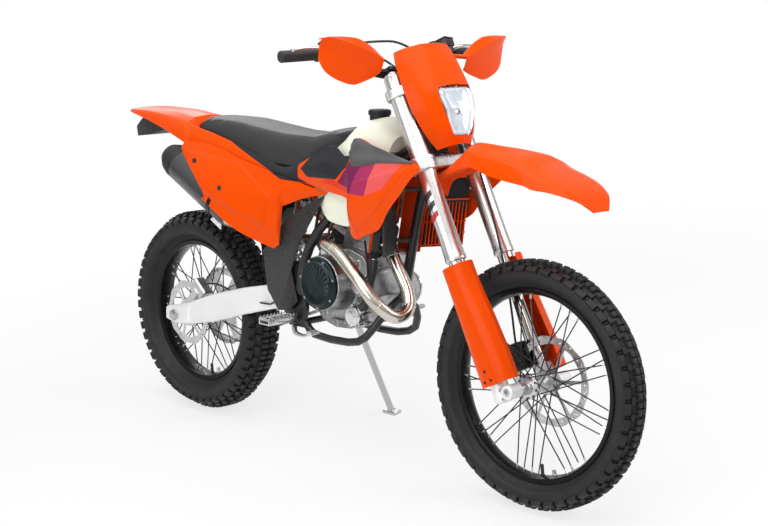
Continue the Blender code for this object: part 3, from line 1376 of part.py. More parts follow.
HEADER_PLACES = ((0.868, -0.012, 0.765), (0.918, -0.036, 0.716), (0.985, -0.052, 0.632),
                 (1.035, -0.056, 0.560), (1.062, -0.080, 0.512), (1.056, -0.130, 0.497),
                 (1.018, -0.176, 0.545), (0.955, -0.188, 0.612), (0.858, -0.168, 0.662),
                 (0.775, -0.142, 0.678), (0.726, -0.092, 0.677), (0.686, -0.057, 0.672),
                 (0.610, -0.057, 0.660))
LINK_PLACE = (0.540, -0.068, 0.654)
MUFFLER_BACK = Vector((-0.012, -0.128, 0.884))
MUFFLER_FRONT = Vector((0.315, -0.118, 0.716))
MUFFLER_JOINT = Vector((0.475, -0.085, 0.655))


def build_exhaust():
    header = pipe(HEADER_PLACES, HEADER_RADIUS, spans=3)
    link = pipe([HEADER_PLACES[-1], LINK_PLACE, MUFFLER_JOINT], HEADER_RADIUS, spans=3)
    run = (MUFFLER_BACK - MUFFLER_FRONT)
    out = run.normalized()
    profile = [(0, 0), (MUFFLER_RADIUS * 0.80, 0), (MUFFLER_RADIUS, MUFFLER_RADIUS * 0.35),
               (MUFFLER_RADIUS, run.length - MUFFLER_RADIUS * 0.9),
               (MUFFLER_RADIUS * 0.62, run.length), (MUFFLER_RADIUS * 0.38, run.length),
               (MUFFLER_RADIUS * 0.34, run.length - MUFFLER_RADIUS * 0.5),
               (0, run.length - MUFFLER_RADIUS * 0.5)]
    body = turned(profile, MUFFLER_FRONT, axis=out, steps=20)
    cone = rod(MUFFLER_JOINT, MUFFLER_FRONT + out * MUFFLER_RADIUS * 0.2,
               HEADER_RADIUS * 1.25, MUFFLER_RADIUS * 0.78, sides=20)
    body = join(body, cone)
    return header, link, body


# Tank, seat and bodywork

TANK_SHARES = (   # along, top, half width, lowest
    (0.00, 0.60, 0.50, 0.47), (0.20, 0.66, 0.80, 0.22), (0.42, 0.80, 0.96, 0.02),
    (0.62, 0.97, 1.00, 0.00), (0.80, 1.00, 0.95, 0.10), (0.93, 0.92, 0.80, 0.34),
    (1.00, 0.86, 0.66, 0.45))
TANK_BOX = (0.620, 0.985, 0.738, 1.058)
TANK_HALF_RING = ((0.0, 1.0), (0.42, 0.96), (0.78, 0.80), (0.97, 0.52), (1.0, 0.25), (0.94, 0.0))
TUNNEL_HALF = 0.106
TUNNEL_SHARES = ((-0.05, -0.05), (1.05, -0.05), (1.05, 0.72), (0.62, 0.62), (-0.05, 0.40))
CAP_RADIUS = 0.034
CAP_HEIGHT = 0.020
CAP_SHARE = 0.66


def ring_section(x, half, low, high, shares):
    """A closed section across the machine, from its right half's shares."""
    right = [(-half * a, low + (high - low) * b) for a, b in shares]
    left = [(-y, z) for y, z in reversed(right) if abs(y) > GAP]
    return [Vector((x, y, z)) for y, z in right + left]


def build_tank():
    sections = []
    x0, x1, z0, z1 = TANK_BOX
    for along, top, half, low in TANK_SHARES:
        sections.append(ring_section(x0 + (x1 - x0) * along, TANK_HALF * half,
                                     z0 + (z1 - z0) * low, z0 + (z1 - z0) * top,
                                     TANK_HALF_RING))
    tank = loft(sections)
    whole = form(tank.data.copy())
    tunnel = plate(spread(TUNNEL_SHARES, TANK_BOX), -TUNNEL_HALF, TUNNEL_HALF)
    return cut(tank, tunnel), whole


def build_cap(tank):
    x = TANK_BOX[0] + (TANK_BOX[1] - TANK_BOX[0]) * CAP_SHARE
    z = TANK_BOX[3]
    cap = rod((x, 0, z - CAP_HEIGHT), (x, 0, z + CAP_HEIGHT), CAP_RADIUS, CAP_RADIUS * 0.92, sides=24)
    return clear(cap, tank)


SEAT_SHARES = (   # along, top, half width, lowest
    (0.00, 0.80, 0.50, 0.62), (0.08, 0.88, 0.74, 0.50), (0.24, 0.88, 0.92, 0.38),
    (0.44, 0.80, 0.98, 0.24), (0.62, 0.74, 1.02, 0.10), (0.76, 0.74, 1.00, 0.10),
    (0.88, 0.88, 0.86, 0.40), (0.97, 0.98, 0.60, 0.70), (1.00, 0.98, 0.45, 0.84))
SEAT_BOX = (0.045, 0.812, 0.868, 1.030)
SEAT_RING = ((0.0, 1.0), (0.55, 0.98), (0.85, 0.86), (1.0, 0.5), (1.03, 0.0))


def build_seat():
    sections = []
    x0, x1, z0, z1 = SEAT_BOX
    for along, top, half, low in SEAT_SHARES:
        sections.append(ring_section(x0 + (x1 - x0) * along, SEAT_HALF * half,
                                     z0 + (z1 - z0) * low, z0 + (z1 - z0) * top, SEAT_RING))
    return loft(sections)


SHROUD_BOX = (0.640, 1.248, 0.717, 0.978)
SHROUD_SHARES = (  # along, top, bottom, place out at top and bottom
    (0.00, 0.72, 0.56, 0.128, 0.130), (0.14, 0.88, 0.49, 0.128, 0.138), (0.25, 0.98, 0.47, 0.126, 0.150),
    (0.36, 0.89, 0.45, 0.143, 0.156), (0.405, 0.90, 0.43, 0.146, 0.160), (0.425, 1.05, 0.42, 0.142, 0.162),
    (0.465, 1.11, 0.05, 0.143, 0.176), (0.50, 1.10, 0.00, 0.146, 0.178), (0.59, 1.04, 0.08, 0.153, 0.186),
    (0.68, 1.015, 0.16, 0.168, 0.192), (0.76, 0.99, 0.39, 0.182, 0.200), (0.86, 0.97, 0.61, 0.200, 0.210),
    (0.94, 0.95, 0.79, 0.214, 0.218), (1.00, 0.92, 0.88, 0.222, 0.222))
PANEL_BOX = (0.050, 0.772, 0.632, 0.935)
PANEL_SHARES = (
    (0.00, 0.90, 0.82, 0.135, 0.137), (0.04, 1.00, 0.74, 0.128, 0.150), (0.15, 1.00, 0.54, 0.126, 0.172),
    (0.27, 0.97, 0.38, 0.127, 0.178), (0.42, 0.88, 0.20, 0.130, 0.176), (0.54, 0.83, 0.09, 0.132, 0.160),
    (0.67, 0.77, 0.01, 0.134, 0.144), (0.705, 0.76, 0.06, 0.134, 0.142), (0.72, 0.76, 0.46, 0.134, 0.136),
    (0.87, 0.70, 0.58, 0.134, 0.134), (1.00, 0.66, 0.645, 0.134, 0.134))


def panel(shares, box, side, bulge):
    """A thin side panel through columns of a top, a middle and a bottom."""
    x0, x1, z0, z1 = box
    rows = []
    for along, top, bottom, out_top, out_bottom in shares:
        x = x0 + (x1 - x0) * along
        row = []
        for share, push in ((0.0, 0), (0.35, 1.0), (0.7, 0.8), (1.0, 0)):
            z = z0 + (z1 - z0) * (top + (bottom - top) * share)
            tall = (top - bottom) * bulge
            row.append(Vector((x, side * (out_top + (out_bottom - out_top) * share + push * tall), z)))
        rows.append(row if side < 0 else row[::-1])
    return sheet(rows, PANEL_WALL)


REAR_FENDER_PLACES = (   # x, half width, top, drop of the edge
    (-0.345, 0.050, 1.007, 0.006), (-0.300, 0.068, 1.014, 0.016), (-0.240, 0.080, 1.018, 0.027),
    (-0.100, 0.097, 1.017, 0.052), (0.030, 0.112, 1.006, 0.074), (0.060, 0.114, 0.962, 0.040),
    (0.130, 0.116, 0.944, 0.030), (0.250, 0.112, 0.930, 0.024))


def build_rear_fender():
    rows = []
    for x, half, top, fall in REAR_FENDER_PLACES:
        row = [Vector((x, half * across, top - fall * down))
               for across, down in ((-1, 1.0), (-0.88, 0.40), (-0.5, 0.06), (0, 0),
                                    (0.5, 0.06), (0.88, 0.40), (1, 1.0))]
        rows.append(row)
    return sheet(rows, FENDER_WALL)


def build_tail():
    """The plate holder with its lamp, under the rear fender."""
    sections = []
    for x, low, high, half in ((-0.325, 0.915, 0.958, 0.040), (-0.245, 0.925, 1.0165, 0.052),
                               (-0.150, 0.950, 1.0160, 0.056), (-0.080, 0.975, 1.0145, 0.050)):
        sections.append(ring_section(x, half, low, high, ((0, 1), (0.8, 1), (1, 0.8), (0.9, 0.0))))
    return loft(sections)


RADIATOR_LOW = 0.668
RADIATOR_HIGH = 0.888
RADIATOR_DEEP = 0.030
RADIATOR_PLAN = ((0.0, 0.064), (0.062, 0.176))
RADIATOR_LOW_X = 0.940
RADIATOR_HIGH_X = 0.985


def build_radiator(side):
    sections = []
    for x, z in ((RADIATOR_LOW_X, RADIATOR_LOW), (RADIATOR_HIGH_X, RADIATOR_HIGH)):
        (lead_in, inner), (lead_out, outer) = RADIATOR_PLAN
        sections.append([Vector((x + lead_in, side * inner, z)),
                         Vector((x + lead_in + RADIATOR_DEEP, side * inner, z)),
                         Vector((x + lead_out + RADIATOR_DEEP, side * outer, z)),
                         Vector((x + lead_out, side * outer, z))])
    return join(loft(sections), *louvres(side))


LOUVRES = 5
LOUVRE_HALF = 0.0022
LOUVRE_PROUD = 0.005


def louvres(side):
    """Upright slats on a radiator's front face."""
    (lead_in, inner), (lead_out, outer) = RADIATOR_PLAN
    slats = []
    for i in range(LOUVRES):
        share = (i + 1) / (LOUVRES + 1)
        y = side * (inner + (outer - inner) * share)
        lead = lead_in + (lead_out - lead_in) * share + RADIATOR_DEEP
        section = []
        for x, z in ((RADIATOR_LOW_X, RADIATOR_LOW), (RADIATOR_HIGH_X, RADIATOR_HIGH)):
            section.append([Vector((x + lead + dx, y + dy, z)) for dx, dy in
                            ((-OVERRUN / 2, -LOUVRE_HALF), (LOUVRE_PROUD, -LOUVRE_HALF),
                             (LOUVRE_PROUD, LOUVRE_HALF), (-OVERRUN / 2, LOUVRE_HALF))])
        inset = (section[1][0] - section[0][0]).normalized() * OVERRUN
        slats.append(loft([[p + inset for p in section[0]], [p - inset for p in section[1]]]))
    return slats


def shroud_screw(side):
    """The stud on a radiator's outer wall that the shroud is held by."""
    share = SHROUD_SCREW_SHARE
    outer = RADIATOR_PLAN[1][1]
    z = RADIATOR_LOW + (RADIATOR_HIGH - RADIATOR_LOW) * share
    x = (RADIATOR_LOW_X + (RADIATOR_HIGH_X - RADIATOR_LOW_X) * share + RADIATOR_PLAN[1][0]
         + RADIATOR_DEEP / 2)
    return rod((x, side * (outer - BRACKET_RADIUS), z), (x, side * (outer + SHROUD_SCREW), z),
               BRACKET_RADIUS, sides=8)


SHROUD_SCREW = 0.038
SHROUD_SCREW_SHARE = 0.80
GUARD_BOX = (0.467, 0.760, 0.438, 0.823)
GUARD_SHARES = ((0.00, 0.47), (0.04, 0.26), (0.07, 0.15), (0.24, 0.00), (0.43, 0.02),
                (0.56, 0.11), (0.46, 0.35), (0.59, 0.58), (1.00, 1.00), (0.73, 0.91),
                (0.37, 0.75))
GUARD_OUT = 0.1285


def build_frame_guard(side):
    return plate(spread(GUARD_SHARES, GUARD_BOX), side * GUARD_OUT, side * (GUARD_OUT + PANEL_WALL))


PEG_X = 0.600
PEG_Z = 0.425
PEG_LENGTH = 0.110
PEG_HALF = 0.024


def build_footpeg(side):
    start = PLATE_OUT - OVERRUN / 2
    low = Vector((PEG_X - PEG_HALF, side * (start + OVERRUN * 1.8), PEG_Z - PEG_HALF * 0.35))
    high = Vector((PEG_X + PEG_HALF, side * (start + OVERRUN * 1.8 + PEG_LENGTH), PEG_Z + PEG_HALF * 0.35))
    peg = block(low, high, bevel=PEG_HALF / 8)
    hole_low = low + Vector((PEG_HALF * 0.3, side * PEG_HALF * 0.6, -OVERRUN))
    hole_high = high - Vector((PEG_HALF * 0.3, side * PEG_HALF * 0.3, -OVERRUN))
    peg = cut(peg, block(hole_low, hole_high))
    mount = block((PEG_X - PEG_HALF * 0.6, side * start, PEG_Z - PEG_HALF * 0.7),
                  (PEG_X + PEG_HALF * 0.6, side * (start + OVERRUN * 2), PEG_Z + PEG_HALF * 0.3))
    return join(peg, mount)


AIRBOX_HALF = 0.044
AIRBOX_OUTLINE = ((0.205, 0.884), (0.475, 0.872), (0.478, 0.745), (0.425, 0.690),
                  (0.300, 0.712), (0.215, 0.800))
FLAP_PLACES = ((0.300, 0.712), (0.360, 0.672), (0.398, 0.610), (0.405, 0.545))
FLAP_HALF = 0.072
FLAP_WALL = 0.004


def build_airbox():
    """The filter's box between the rails, with the mud flap before the rear tyre."""
    box = plate(AIRBOX_OUTLINE, -AIRBOX_HALF, AIRBOX_HALF)
    rows = []
    for (x, z), wide in zip(FLAP_PLACES, (0.6, 0.8, 1.0, 1.0)):
        rows.append([Vector((x - FLAP_HALF * 0.15 * abs(share), FLAP_HALF * wide * share, z))
                     for share in (-1, -0.6, 0, 0.6, 1)])
    return join(box, sheet(rows, FLAP_WALL))


SHOCK_TOP = Vector((0.548, -0.020, 0.805))
SHOCK_LOW = Vector((0.446, -0.020, 0.4790))
SHOCK_RADIUS = 0.030


def build_shock():
    run = SHOCK_TOP - SHOCK_LOW
    up = run.normalized()
    body = rod(SHOCK_LOW, SHOCK_TOP, SHOCK_RADIUS * 0.55, sides=16)
    spring = rod(SHOCK_LOW + up * SHOCK_RADIUS * 1.6, SHOCK_TOP - up * SHOCK_RADIUS * 3.2,
                 SHOCK_RADIUS, sides=20)
    tank = rod(SHOCK_TOP - up * SHOCK_RADIUS * 2.8, SHOCK_TOP - up * SHOCK_RADIUS * 0.8,
               SHOCK_RADIUS * 0.9, sides=20)
    solid = join(body, spring, tank)
    floor = block((SHOCK_LOW.x - OVERRUN * 6, SHOCK_LOW.y - OVERRUN * 5, SHOCK_LOW.z - OVERRUN * 4),
                  (SHOCK_LOW.x + OVERRUN * 6, SHOCK_LOW.y + OVERRUN * 5, BRIDGE_HIGH + GAP))
    return cut(solid, floor)


def build_stand():
    place, run, axis = stand_lines()
    foot = place + run
    holder("side_stand", place)
    bore = STAND_PIN + GAP
    eye = turned([(bore, -STAND_EYE_HALF), (STAND_EYE, -STAND_EYE_HALF),
                  (STAND_EYE, STAND_EYE_HALF), (bore, STAND_EYE_HALF)],
                 place, axis=axis, steps=16, ring=True)
    along = (foot - place).normalized()
    leg = rod(place + along * STAND_RADIUS * 1.3, foot, STAND_RADIUS, sides=12)
    shoe = block(foot - Vector((FOOT_LENGTH / 2, FOOT_WIDTH / 2, FOOT_THICKNESS)),
                 foot + Vector((FOOT_LENGTH / 2, FOOT_WIDTH / 2, FOOT_THICKNESS)),
                 bevel=FOOT_THICKNESS / 3, turn=Matrix.Rotation(STAND_TILT, 4, "X"))
    leg = join(eye, leg, shoe)
    part("side_stand", leg, GREY, 0.5, 0.6, "side_stand")


def build_front_sprocket():
    axle = Vector((FRONT_SPROCKET_X, 0, FRONT_SPROCKET_Z))
    shaft = FRONT_SPROCKET_RADIUS * 0.4
    wheel = sprocket(axle, CHAIN_PLACE, FRONT_SPROCKET_RADIUS, FRONT_SPROCKET_TEETH,
                     shaft, SPROCKET_THICKNESS)
    boss = rod((axle.x, SPROCKET_POCKET - OVERRUN, axle.z), (axle.x, CHAIN_PLACE + SPROCKET_THICKNESS, axle.z),
               shaft * 1.4, sides=16)
    return join(wheel, boss)


# Stance

def world_points(name):
    """A piece's corners in the upright machine's frame."""
    obj = bpy.data.objects[name]
    inverse = STANCE.matrix_world.inverted()
    return [inverse @ obj.matrix_world @ v.co for v in obj.data.vertices]


def settle():
    """Lean the machine until both tyres and the stand's foot share a plane."""
    bpy.context.view_layer.update()
    front, rear = world_points("front_tyre"), world_points("rear_tyre")
    foot = world_points("side_stand")
    normal = Vector((0, 0, 1))
    for _ in range(40):
        a, b, c = (min(points, key=lambda p: p.dot(normal)) for points in (front, rear, foot))
        normal = (a - b).cross(c - b).normalized()
        if normal.z < 0:
            normal = -normal
    turn = normal.rotation_difference(Vector((0, 0, 1))).to_matrix().to_4x4()
    STANCE.matrix_world = turn
    bpy.context.view_layer.update()
    corners = []
    for obj in PARTS.objects:
        corners += [obj.matrix_world @ v.co for v in obj.data.vertices]
    low = Vector([min(p[i] for p in corners) for i in range(3)])
    high = Vector([max(p[i] for p in corners) for i in range(3)])
    shift = Vector((-(low.x + high.x) / 2, -(low.y + high.y) / 2, -low.z))
    STANCE.matrix_world = Matrix.Translation(shift) @ turn
    bpy.context.view_layer.update()


def build_body(frame, header, muffler):
    tank, whole = build_tank()
    tank = clear(tank, frame)
    cap = build_cap(tank)
    subframe = clear(build_subframe(), frame)
    fender = build_rear_fender()
    seat = clear(build_seat(), whole, subframe)
    drop(whole)
    fender = clear(fender, subframe, seat)
    tail = clear(build_tail(), fender, subframe)
    shock = clear(build_shock(), subframe, frame)
    airbox = clear(build_airbox(), subframe, seat, fender, shock)
    for side, label in ((1, "left"), (-1, "right")):
        cover = panel(PANEL_SHARES, PANEL_BOX, side, 0.02)
        shroud = panel(SHROUD_SHARES, SHROUD_BOX, side, 0.03)
        radiator = clear(build_radiator(side), frame, tank, shroud)
        radiator = join(radiator, shroud_screw(side))
        guard = clear(build_frame_guard(side), frame)
        if side < 0:
            radiator = clear(radiator, header, gap=SLACK / 2)
        cover = clear(cover, seat, fender, guard, subframe)
        shroud = clear(shroud, tank, seat, cover, radiator)
        if side < 0:
            cover = clear(cover, muffler, header)
        part("side_panel_" + label, cover, ORANGE, 0.3, 0)
        part("shroud_" + label, shroud, ORANGE, 0.3, 0)
        part("radiator_" + label, radiator, BLACK, 0.5, 0.3)
        part("frame_guard_" + label, guard, BLACK, 0.7, 0)
    part("fuel_tank", tank, CREAM, 0.4, 0)
    part("fuel_cap", cap, BLACK, 0.5, 0)
    part("seat", seat, BLACK, 0.8, 0)
    part("airbox_and_mud_flap", airbox, BLACK, 0.6, 0)
    part("subframe", subframe, SILVER, 0.4, 0.8)
    part("rear_fender", fender, ORANGE, 0.3, 0)
    part("tail_light_holder", tail, BLACK, 0.5, 0)
    part("shock_absorber", shock, SILVER, 0.4, 0.3)


def main():
    holder("steering", fork(0, 0, HEAD_WALL_LOW))
    build_wheels()
    build_discs()
    build_fork()
    build_steering_top()
    build_chain()
    build_swingarm()
    part("rear_caliper", build_rear_caliper(), GREY, 0.5, 0.6)
    build_stand()
    frame = build_frame()
    head = build_covers()
    build_engine()
    header, link, muffler = build_exhaust()
    header = join(header, link)
    muffler = clear(muffler, header)
    header = clear(header, head, bpy.data.objects["engine_cases"])
    build_body(frame, header, muffler)
    part("main_frame", frame, BLACK, 0.5, 0.3)
    part("cylinder_head", head, GREY, 0.5, 0.7)
    part("header_pipe", header, SILVER, 0.2, 0.95)
    part("muffler", muffler, GREY, 0.4, 0.7)
    steering = HOLDERS["steering"][0]
    steering.rotation_mode = "QUATERNION"
    steering.rotation_quaternion = Matrix.Rotation(STEER_REST, 4, STEER_AXIS).to_quaternion()
    settle()


main()
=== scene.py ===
# %% [markdown]
# An enduro motorcycle on its side stand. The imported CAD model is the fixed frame, and this
# lesson gives it its surfaces: moulded plastic, cast alloy, rubber, wire spokes and a padded
# seat. Everything is modelled upright first, because that is how such a machine is drawn,
# and is then leaned over with the frame.

# %% Load the frame
import math

import bmesh
import bpy
from mathutils import Matrix, Vector
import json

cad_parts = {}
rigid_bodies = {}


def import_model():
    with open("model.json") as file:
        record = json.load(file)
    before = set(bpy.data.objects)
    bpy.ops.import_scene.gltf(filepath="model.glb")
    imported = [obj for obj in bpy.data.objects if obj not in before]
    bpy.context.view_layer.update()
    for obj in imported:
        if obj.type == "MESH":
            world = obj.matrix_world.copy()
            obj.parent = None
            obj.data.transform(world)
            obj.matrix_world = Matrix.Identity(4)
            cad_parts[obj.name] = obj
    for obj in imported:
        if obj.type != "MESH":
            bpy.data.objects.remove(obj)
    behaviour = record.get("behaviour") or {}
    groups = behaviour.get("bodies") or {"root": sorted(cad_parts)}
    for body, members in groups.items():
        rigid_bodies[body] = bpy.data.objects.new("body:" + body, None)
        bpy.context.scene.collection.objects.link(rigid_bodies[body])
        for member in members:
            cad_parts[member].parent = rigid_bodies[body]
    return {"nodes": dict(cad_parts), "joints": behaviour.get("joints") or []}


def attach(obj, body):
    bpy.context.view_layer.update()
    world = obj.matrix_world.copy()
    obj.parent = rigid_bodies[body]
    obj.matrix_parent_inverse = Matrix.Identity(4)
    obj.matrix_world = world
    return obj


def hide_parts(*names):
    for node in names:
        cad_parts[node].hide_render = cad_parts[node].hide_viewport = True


for old in list(bpy.data.objects):
    bpy.data.objects.remove(old)
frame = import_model()
NODES = frame["nodes"]
JOINTS = {joint["name"]: joint for joint in frame["joints"]}
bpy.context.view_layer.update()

# %% [markdown]
# The stance. The joints say where the upright machine ended up: the rear axle gives one
# axis and one point, and the steering axis gives the other direction. From these comes the
# matrix that leans anything drawn upright (X forward from the rear axle, Z up from the
# ground), and a second one that turns what is drawn on the straight-ahead fork.

# %% The lean and the steered fork
RAKE = math.radians(27.0)
REAR_RADIUS = 0.340
FRONT_RADIUS = 0.352
WHEELBASE = 1.487
AXLE_LEAD = 0.062
STEER_REST = math.radians(3.0)

across = Vector(JOINTS["rear_wheel_turn"]["axis"]).normalized()
steer_axis = Vector(JOINTS["steering"]["axis"]).normalized()
lead_axis = across.cross(steer_axis).normalized()
forward = lead_axis * math.cos(RAKE) - steer_axis * math.sin(RAKE)
upward = lead_axis * math.sin(RAKE) + steer_axis * math.cos(RAKE)
STANCE = Matrix((forward, across, upward)).transposed().to_4x4()
rear_axle = Vector(JOINTS["rear_wheel_turn"]["pos_m"])
STANCE.translation = rear_axle - STANCE.to_3x3() @ Vector((0, 0, REAR_RADIUS))
print("lean", round(math.degrees(math.acos(upward.z)), 2), "degrees")


def fork(lead, side, rise):
    """A place on the straight-ahead fork: ahead of the steering axis, across, and up it."""
    base_x = WHEELBASE - AXLE_LEAD * math.cos(RAKE)
    base_z = FRONT_RADIUS - AXLE_LEAD * math.sin(RAKE)
    return Vector((base_x + lead * math.cos(RAKE) - rise * math.sin(RAKE), side,
                   base_z + lead * math.sin(RAKE) + rise * math.cos(RAKE)))


pivot = fork(0, 0, 0)
turn = Matrix.Rotation(STEER_REST, 4, Vector((-math.sin(RAKE), 0, math.cos(RAKE))))
STEERED = STANCE @ Matrix.Translation(pivot) @ turn @ Matrix.Translation(-pivot)

# %% [markdown]
# The camera. A fit of both wheels' outlines in the photograph gave its place beside the
# upright machine: 46 degrees round from the right side, 10 degrees up and 4.8 m away, with a
# lens of 74 mm. It leans with the machine, as the photographer held both upright.

# %% Camera
IMAGE = (768, 526)
FOCAL_PX = 1585.0
CAMERA_TURN = math.radians(46.07)
CAMERA_RISE = math.radians(10.39)
CAMERA_AWAY = 4.775
CAMERA_AIM = Vector((0.879, 0, 0.616))

back = Vector((math.sin(CAMERA_TURN) * math.cos(CAMERA_RISE),
               -math.cos(CAMERA_TURN) * math.cos(CAMERA_RISE), math.sin(CAMERA_RISE)))
right = Vector((math.cos(CAMERA_TURN), math.sin(CAMERA_TURN), 0))
aim = Matrix((right, back.cross(right), back)).transposed().to_4x4()
aim.translation = CAMERA_AIM + back * CAMERA_AWAY
camera_data = bpy.data.cameras.new("camera")
camera_data.sensor_width = 36.0
camera_data.lens = FOCAL_PX / IMAGE[0] * camera_data.sensor_width
camera = bpy.data.objects.new("camera", camera_data)
bpy.context.scene.collection.objects.link(camera)
camera.matrix_world = STANCE @ aim
bpy.context.scene.camera = camera
bpy.context.scene.view_settings.view_transform = "Standard"

# %% [markdown]
# The light. The photograph is a white studio: a broad soft box overhead, one each from the
# right, the front and the rear, and a floor that keeps only a faint shadow. The floor mixes a
# lit surface with plain white for camera rays, so that it reads as paper white and still
# darkens under the tyres. Mirrors see the studio's walls darker than its ceiling.

# %% World, floor and lamps
AMBIENT = 0.20
WALL_LEVEL = 0.34          # how bright mirrors see the studio's walls
WALL_FADE = (0.10, 0.60)   # the rise of a mirror's ray over which walls turn to ceiling
CEILING_LOSS = 0.05
FLOOR_WHITE = 0.74
FLOOR_NEAR = 1.3           # within this the floor takes the lamps' light
FLOOR_FAR = 2.8            # past this it is plain white
FLOOR_HALF = 30.0


def light_rays(nodes, links):
    """One for camera, mirror and see-through rays, nought for the rest."""
    path = nodes.new("ShaderNodeLightPath")
    first = nodes.new("ShaderNodeMath")
    first.operation = "MAXIMUM"
    second = nodes.new("ShaderNodeMath")
    second.operation = "MAXIMUM"
    links.new(path.outputs["Is Camera Ray"], first.inputs[0])
    links.new(path.outputs["Is Glossy Ray"], first.inputs[1])
    links.new(first.outputs[0], second.inputs[0])
    links.new(path.outputs["Is Transmission Ray"], second.inputs[1])
    return second.outputs[0]


world = bpy.data.worlds.new("studio")
bpy.context.scene.world = world
world.use_nodes = True
tree = world.node_tree
seen = light_rays(tree.nodes, tree.links)
level = tree.nodes.new("ShaderNodeMapRange")
level.inputs["To Min"].default_value = AMBIENT
level.inputs["To Max"].default_value = 1.0
tree.links.new(seen, level.inputs["Value"])


def world_math(operation, first, second):
    node = tree.nodes.new("ShaderNodeMath")
    node.operation = operation
    for value, socket in ((first, node.inputs[0]), (second, node.inputs[1])):
        if isinstance(value, float):
            socket.default_value = value
        else:
            tree.links.new(value, socket)
    return node.outputs[0]


high = tree.nodes.new("ShaderNodeSeparateXYZ")
tree.links.new(tree.nodes.new("ShaderNodeTexCoord").outputs["Generated"], high.inputs[0])
sky = tree.nodes.new("ShaderNodeMapRange")
for key, number in (("From Min", WALL_FADE[0]), ("From Max", WALL_FADE[1]),
                    ("To Min", 1 - WALL_LEVEL), ("To Max", CEILING_LOSS)):
    sky.inputs[key].default_value = number
tree.links.new(high.outputs["Z"], sky.inputs["Value"])
mirror = tree.nodes.new("ShaderNodeLightPath").outputs["Is Glossy Ray"]
kept = world_math("SUBTRACT", 1.0, world_math("MULTIPLY", mirror, sky.outputs["Result"]))
tree.links.new(world_math("MULTIPLY", level.outputs["Result"], kept),
               tree.nodes["Background"].inputs["Strength"])
tree.nodes["Background"].inputs["Color"].default_value = (1, 1, 1, 1)

floor_mesh = bpy.data.meshes.new("studio_floor")
bm = bmesh.new()
bmesh.ops.create_grid(bm, x_segments=1, y_segments=1, size=FLOOR_HALF)
bm.to_mesh(floor_mesh)
bm.free()
floor = bpy.data.objects.new("studio_floor", floor_mesh)
bpy.context.scene.collection.objects.link(floor)
paper = bpy.data.materials.new("paper_floor")
paper.use_nodes = True
nodes, links = paper.node_tree.nodes, paper.node_tree.links
nodes.clear()
lit = nodes.new("ShaderNodeBsdfDiffuse")
lit.inputs["Color"].default_value = (0.96, 0.96, 0.96, 1)
glow = nodes.new("ShaderNodeEmission")
blend = nodes.new("ShaderNodeMixShader")
away = nodes.new("ShaderNodeVectorMath")
away.operation = "LENGTH"
links.new(nodes.new("ShaderNodeTexCoord").outputs["Object"], away.inputs[0])
fade = nodes.new("ShaderNodeMapRange")
fade.interpolation_type = "SMOOTHSTEP"
for key, number in (("From Min", FLOOR_NEAR), ("From Max", FLOOR_FAR), ("To Min", FLOOR_WHITE)):
    fade.inputs[key].default_value = number
links.new(away.outputs["Value"], fade.inputs["Value"])
share = nodes.new("ShaderNodeMath")
share.operation = "MULTIPLY"
links.new(fade.outputs["Result"], share.inputs[1])
links.new(light_rays(nodes, links), share.inputs[0])
links.new(share.outputs[0], blend.inputs[0])
links.new(lit.outputs[0], blend.inputs[1])
links.new(glow.outputs[0], blend.inputs[2])
links.new(blend.outputs[0], nodes.new("ShaderNodeOutputMaterial").inputs["Surface"])
floor_mesh.materials.append(paper)


def soft_box(name, place, target, size, power):
    """A square lamp that looks at a point, both drawn upright."""
    lamp = bpy.data.lights.new(name, "AREA")
    lamp.shape = "RECTANGLE"
    lamp.size, lamp.size_y = size
    lamp.energy = power
    obj = bpy.data.objects.new(name, lamp)
    bpy.context.scene.collection.objects.link(obj)
    spot, goal = Vector(place), Vector(target)
    obj.matrix_world = (Matrix.Translation(spot)
                        @ (goal - spot).to_track_quat("-Z", "Y").to_matrix().to_4x4())


MIDDLE = (0, 0, 0.6)
SOFT_BOXES = (("overhead_box", (0.3, -0.6, 3.6), (4.2, 3.4), 104),
              ("key_box", (0.6, -4.2, 2.3), (3.0, 2.0), 62),
              ("front_box", (3.9, 2.2, 2.9), (2.4, 2.4), 95),
              ("rear_box", (-3.6, 2.2, 2.4), (2.0, 2.0), 30))
for name, place, size, power in SOFT_BOXES:
    soft_box(name, place, MIDDLE, size, power)

# %% [markdown]
# Finishes. A finish is one Principled shader plus what breaks it up: a fine bump from noise at
# the grain's real size, and a little roughness that wanders, so that a highlight never runs
# clean across a moulded or cast face. All patterns use object coordinates in metres.

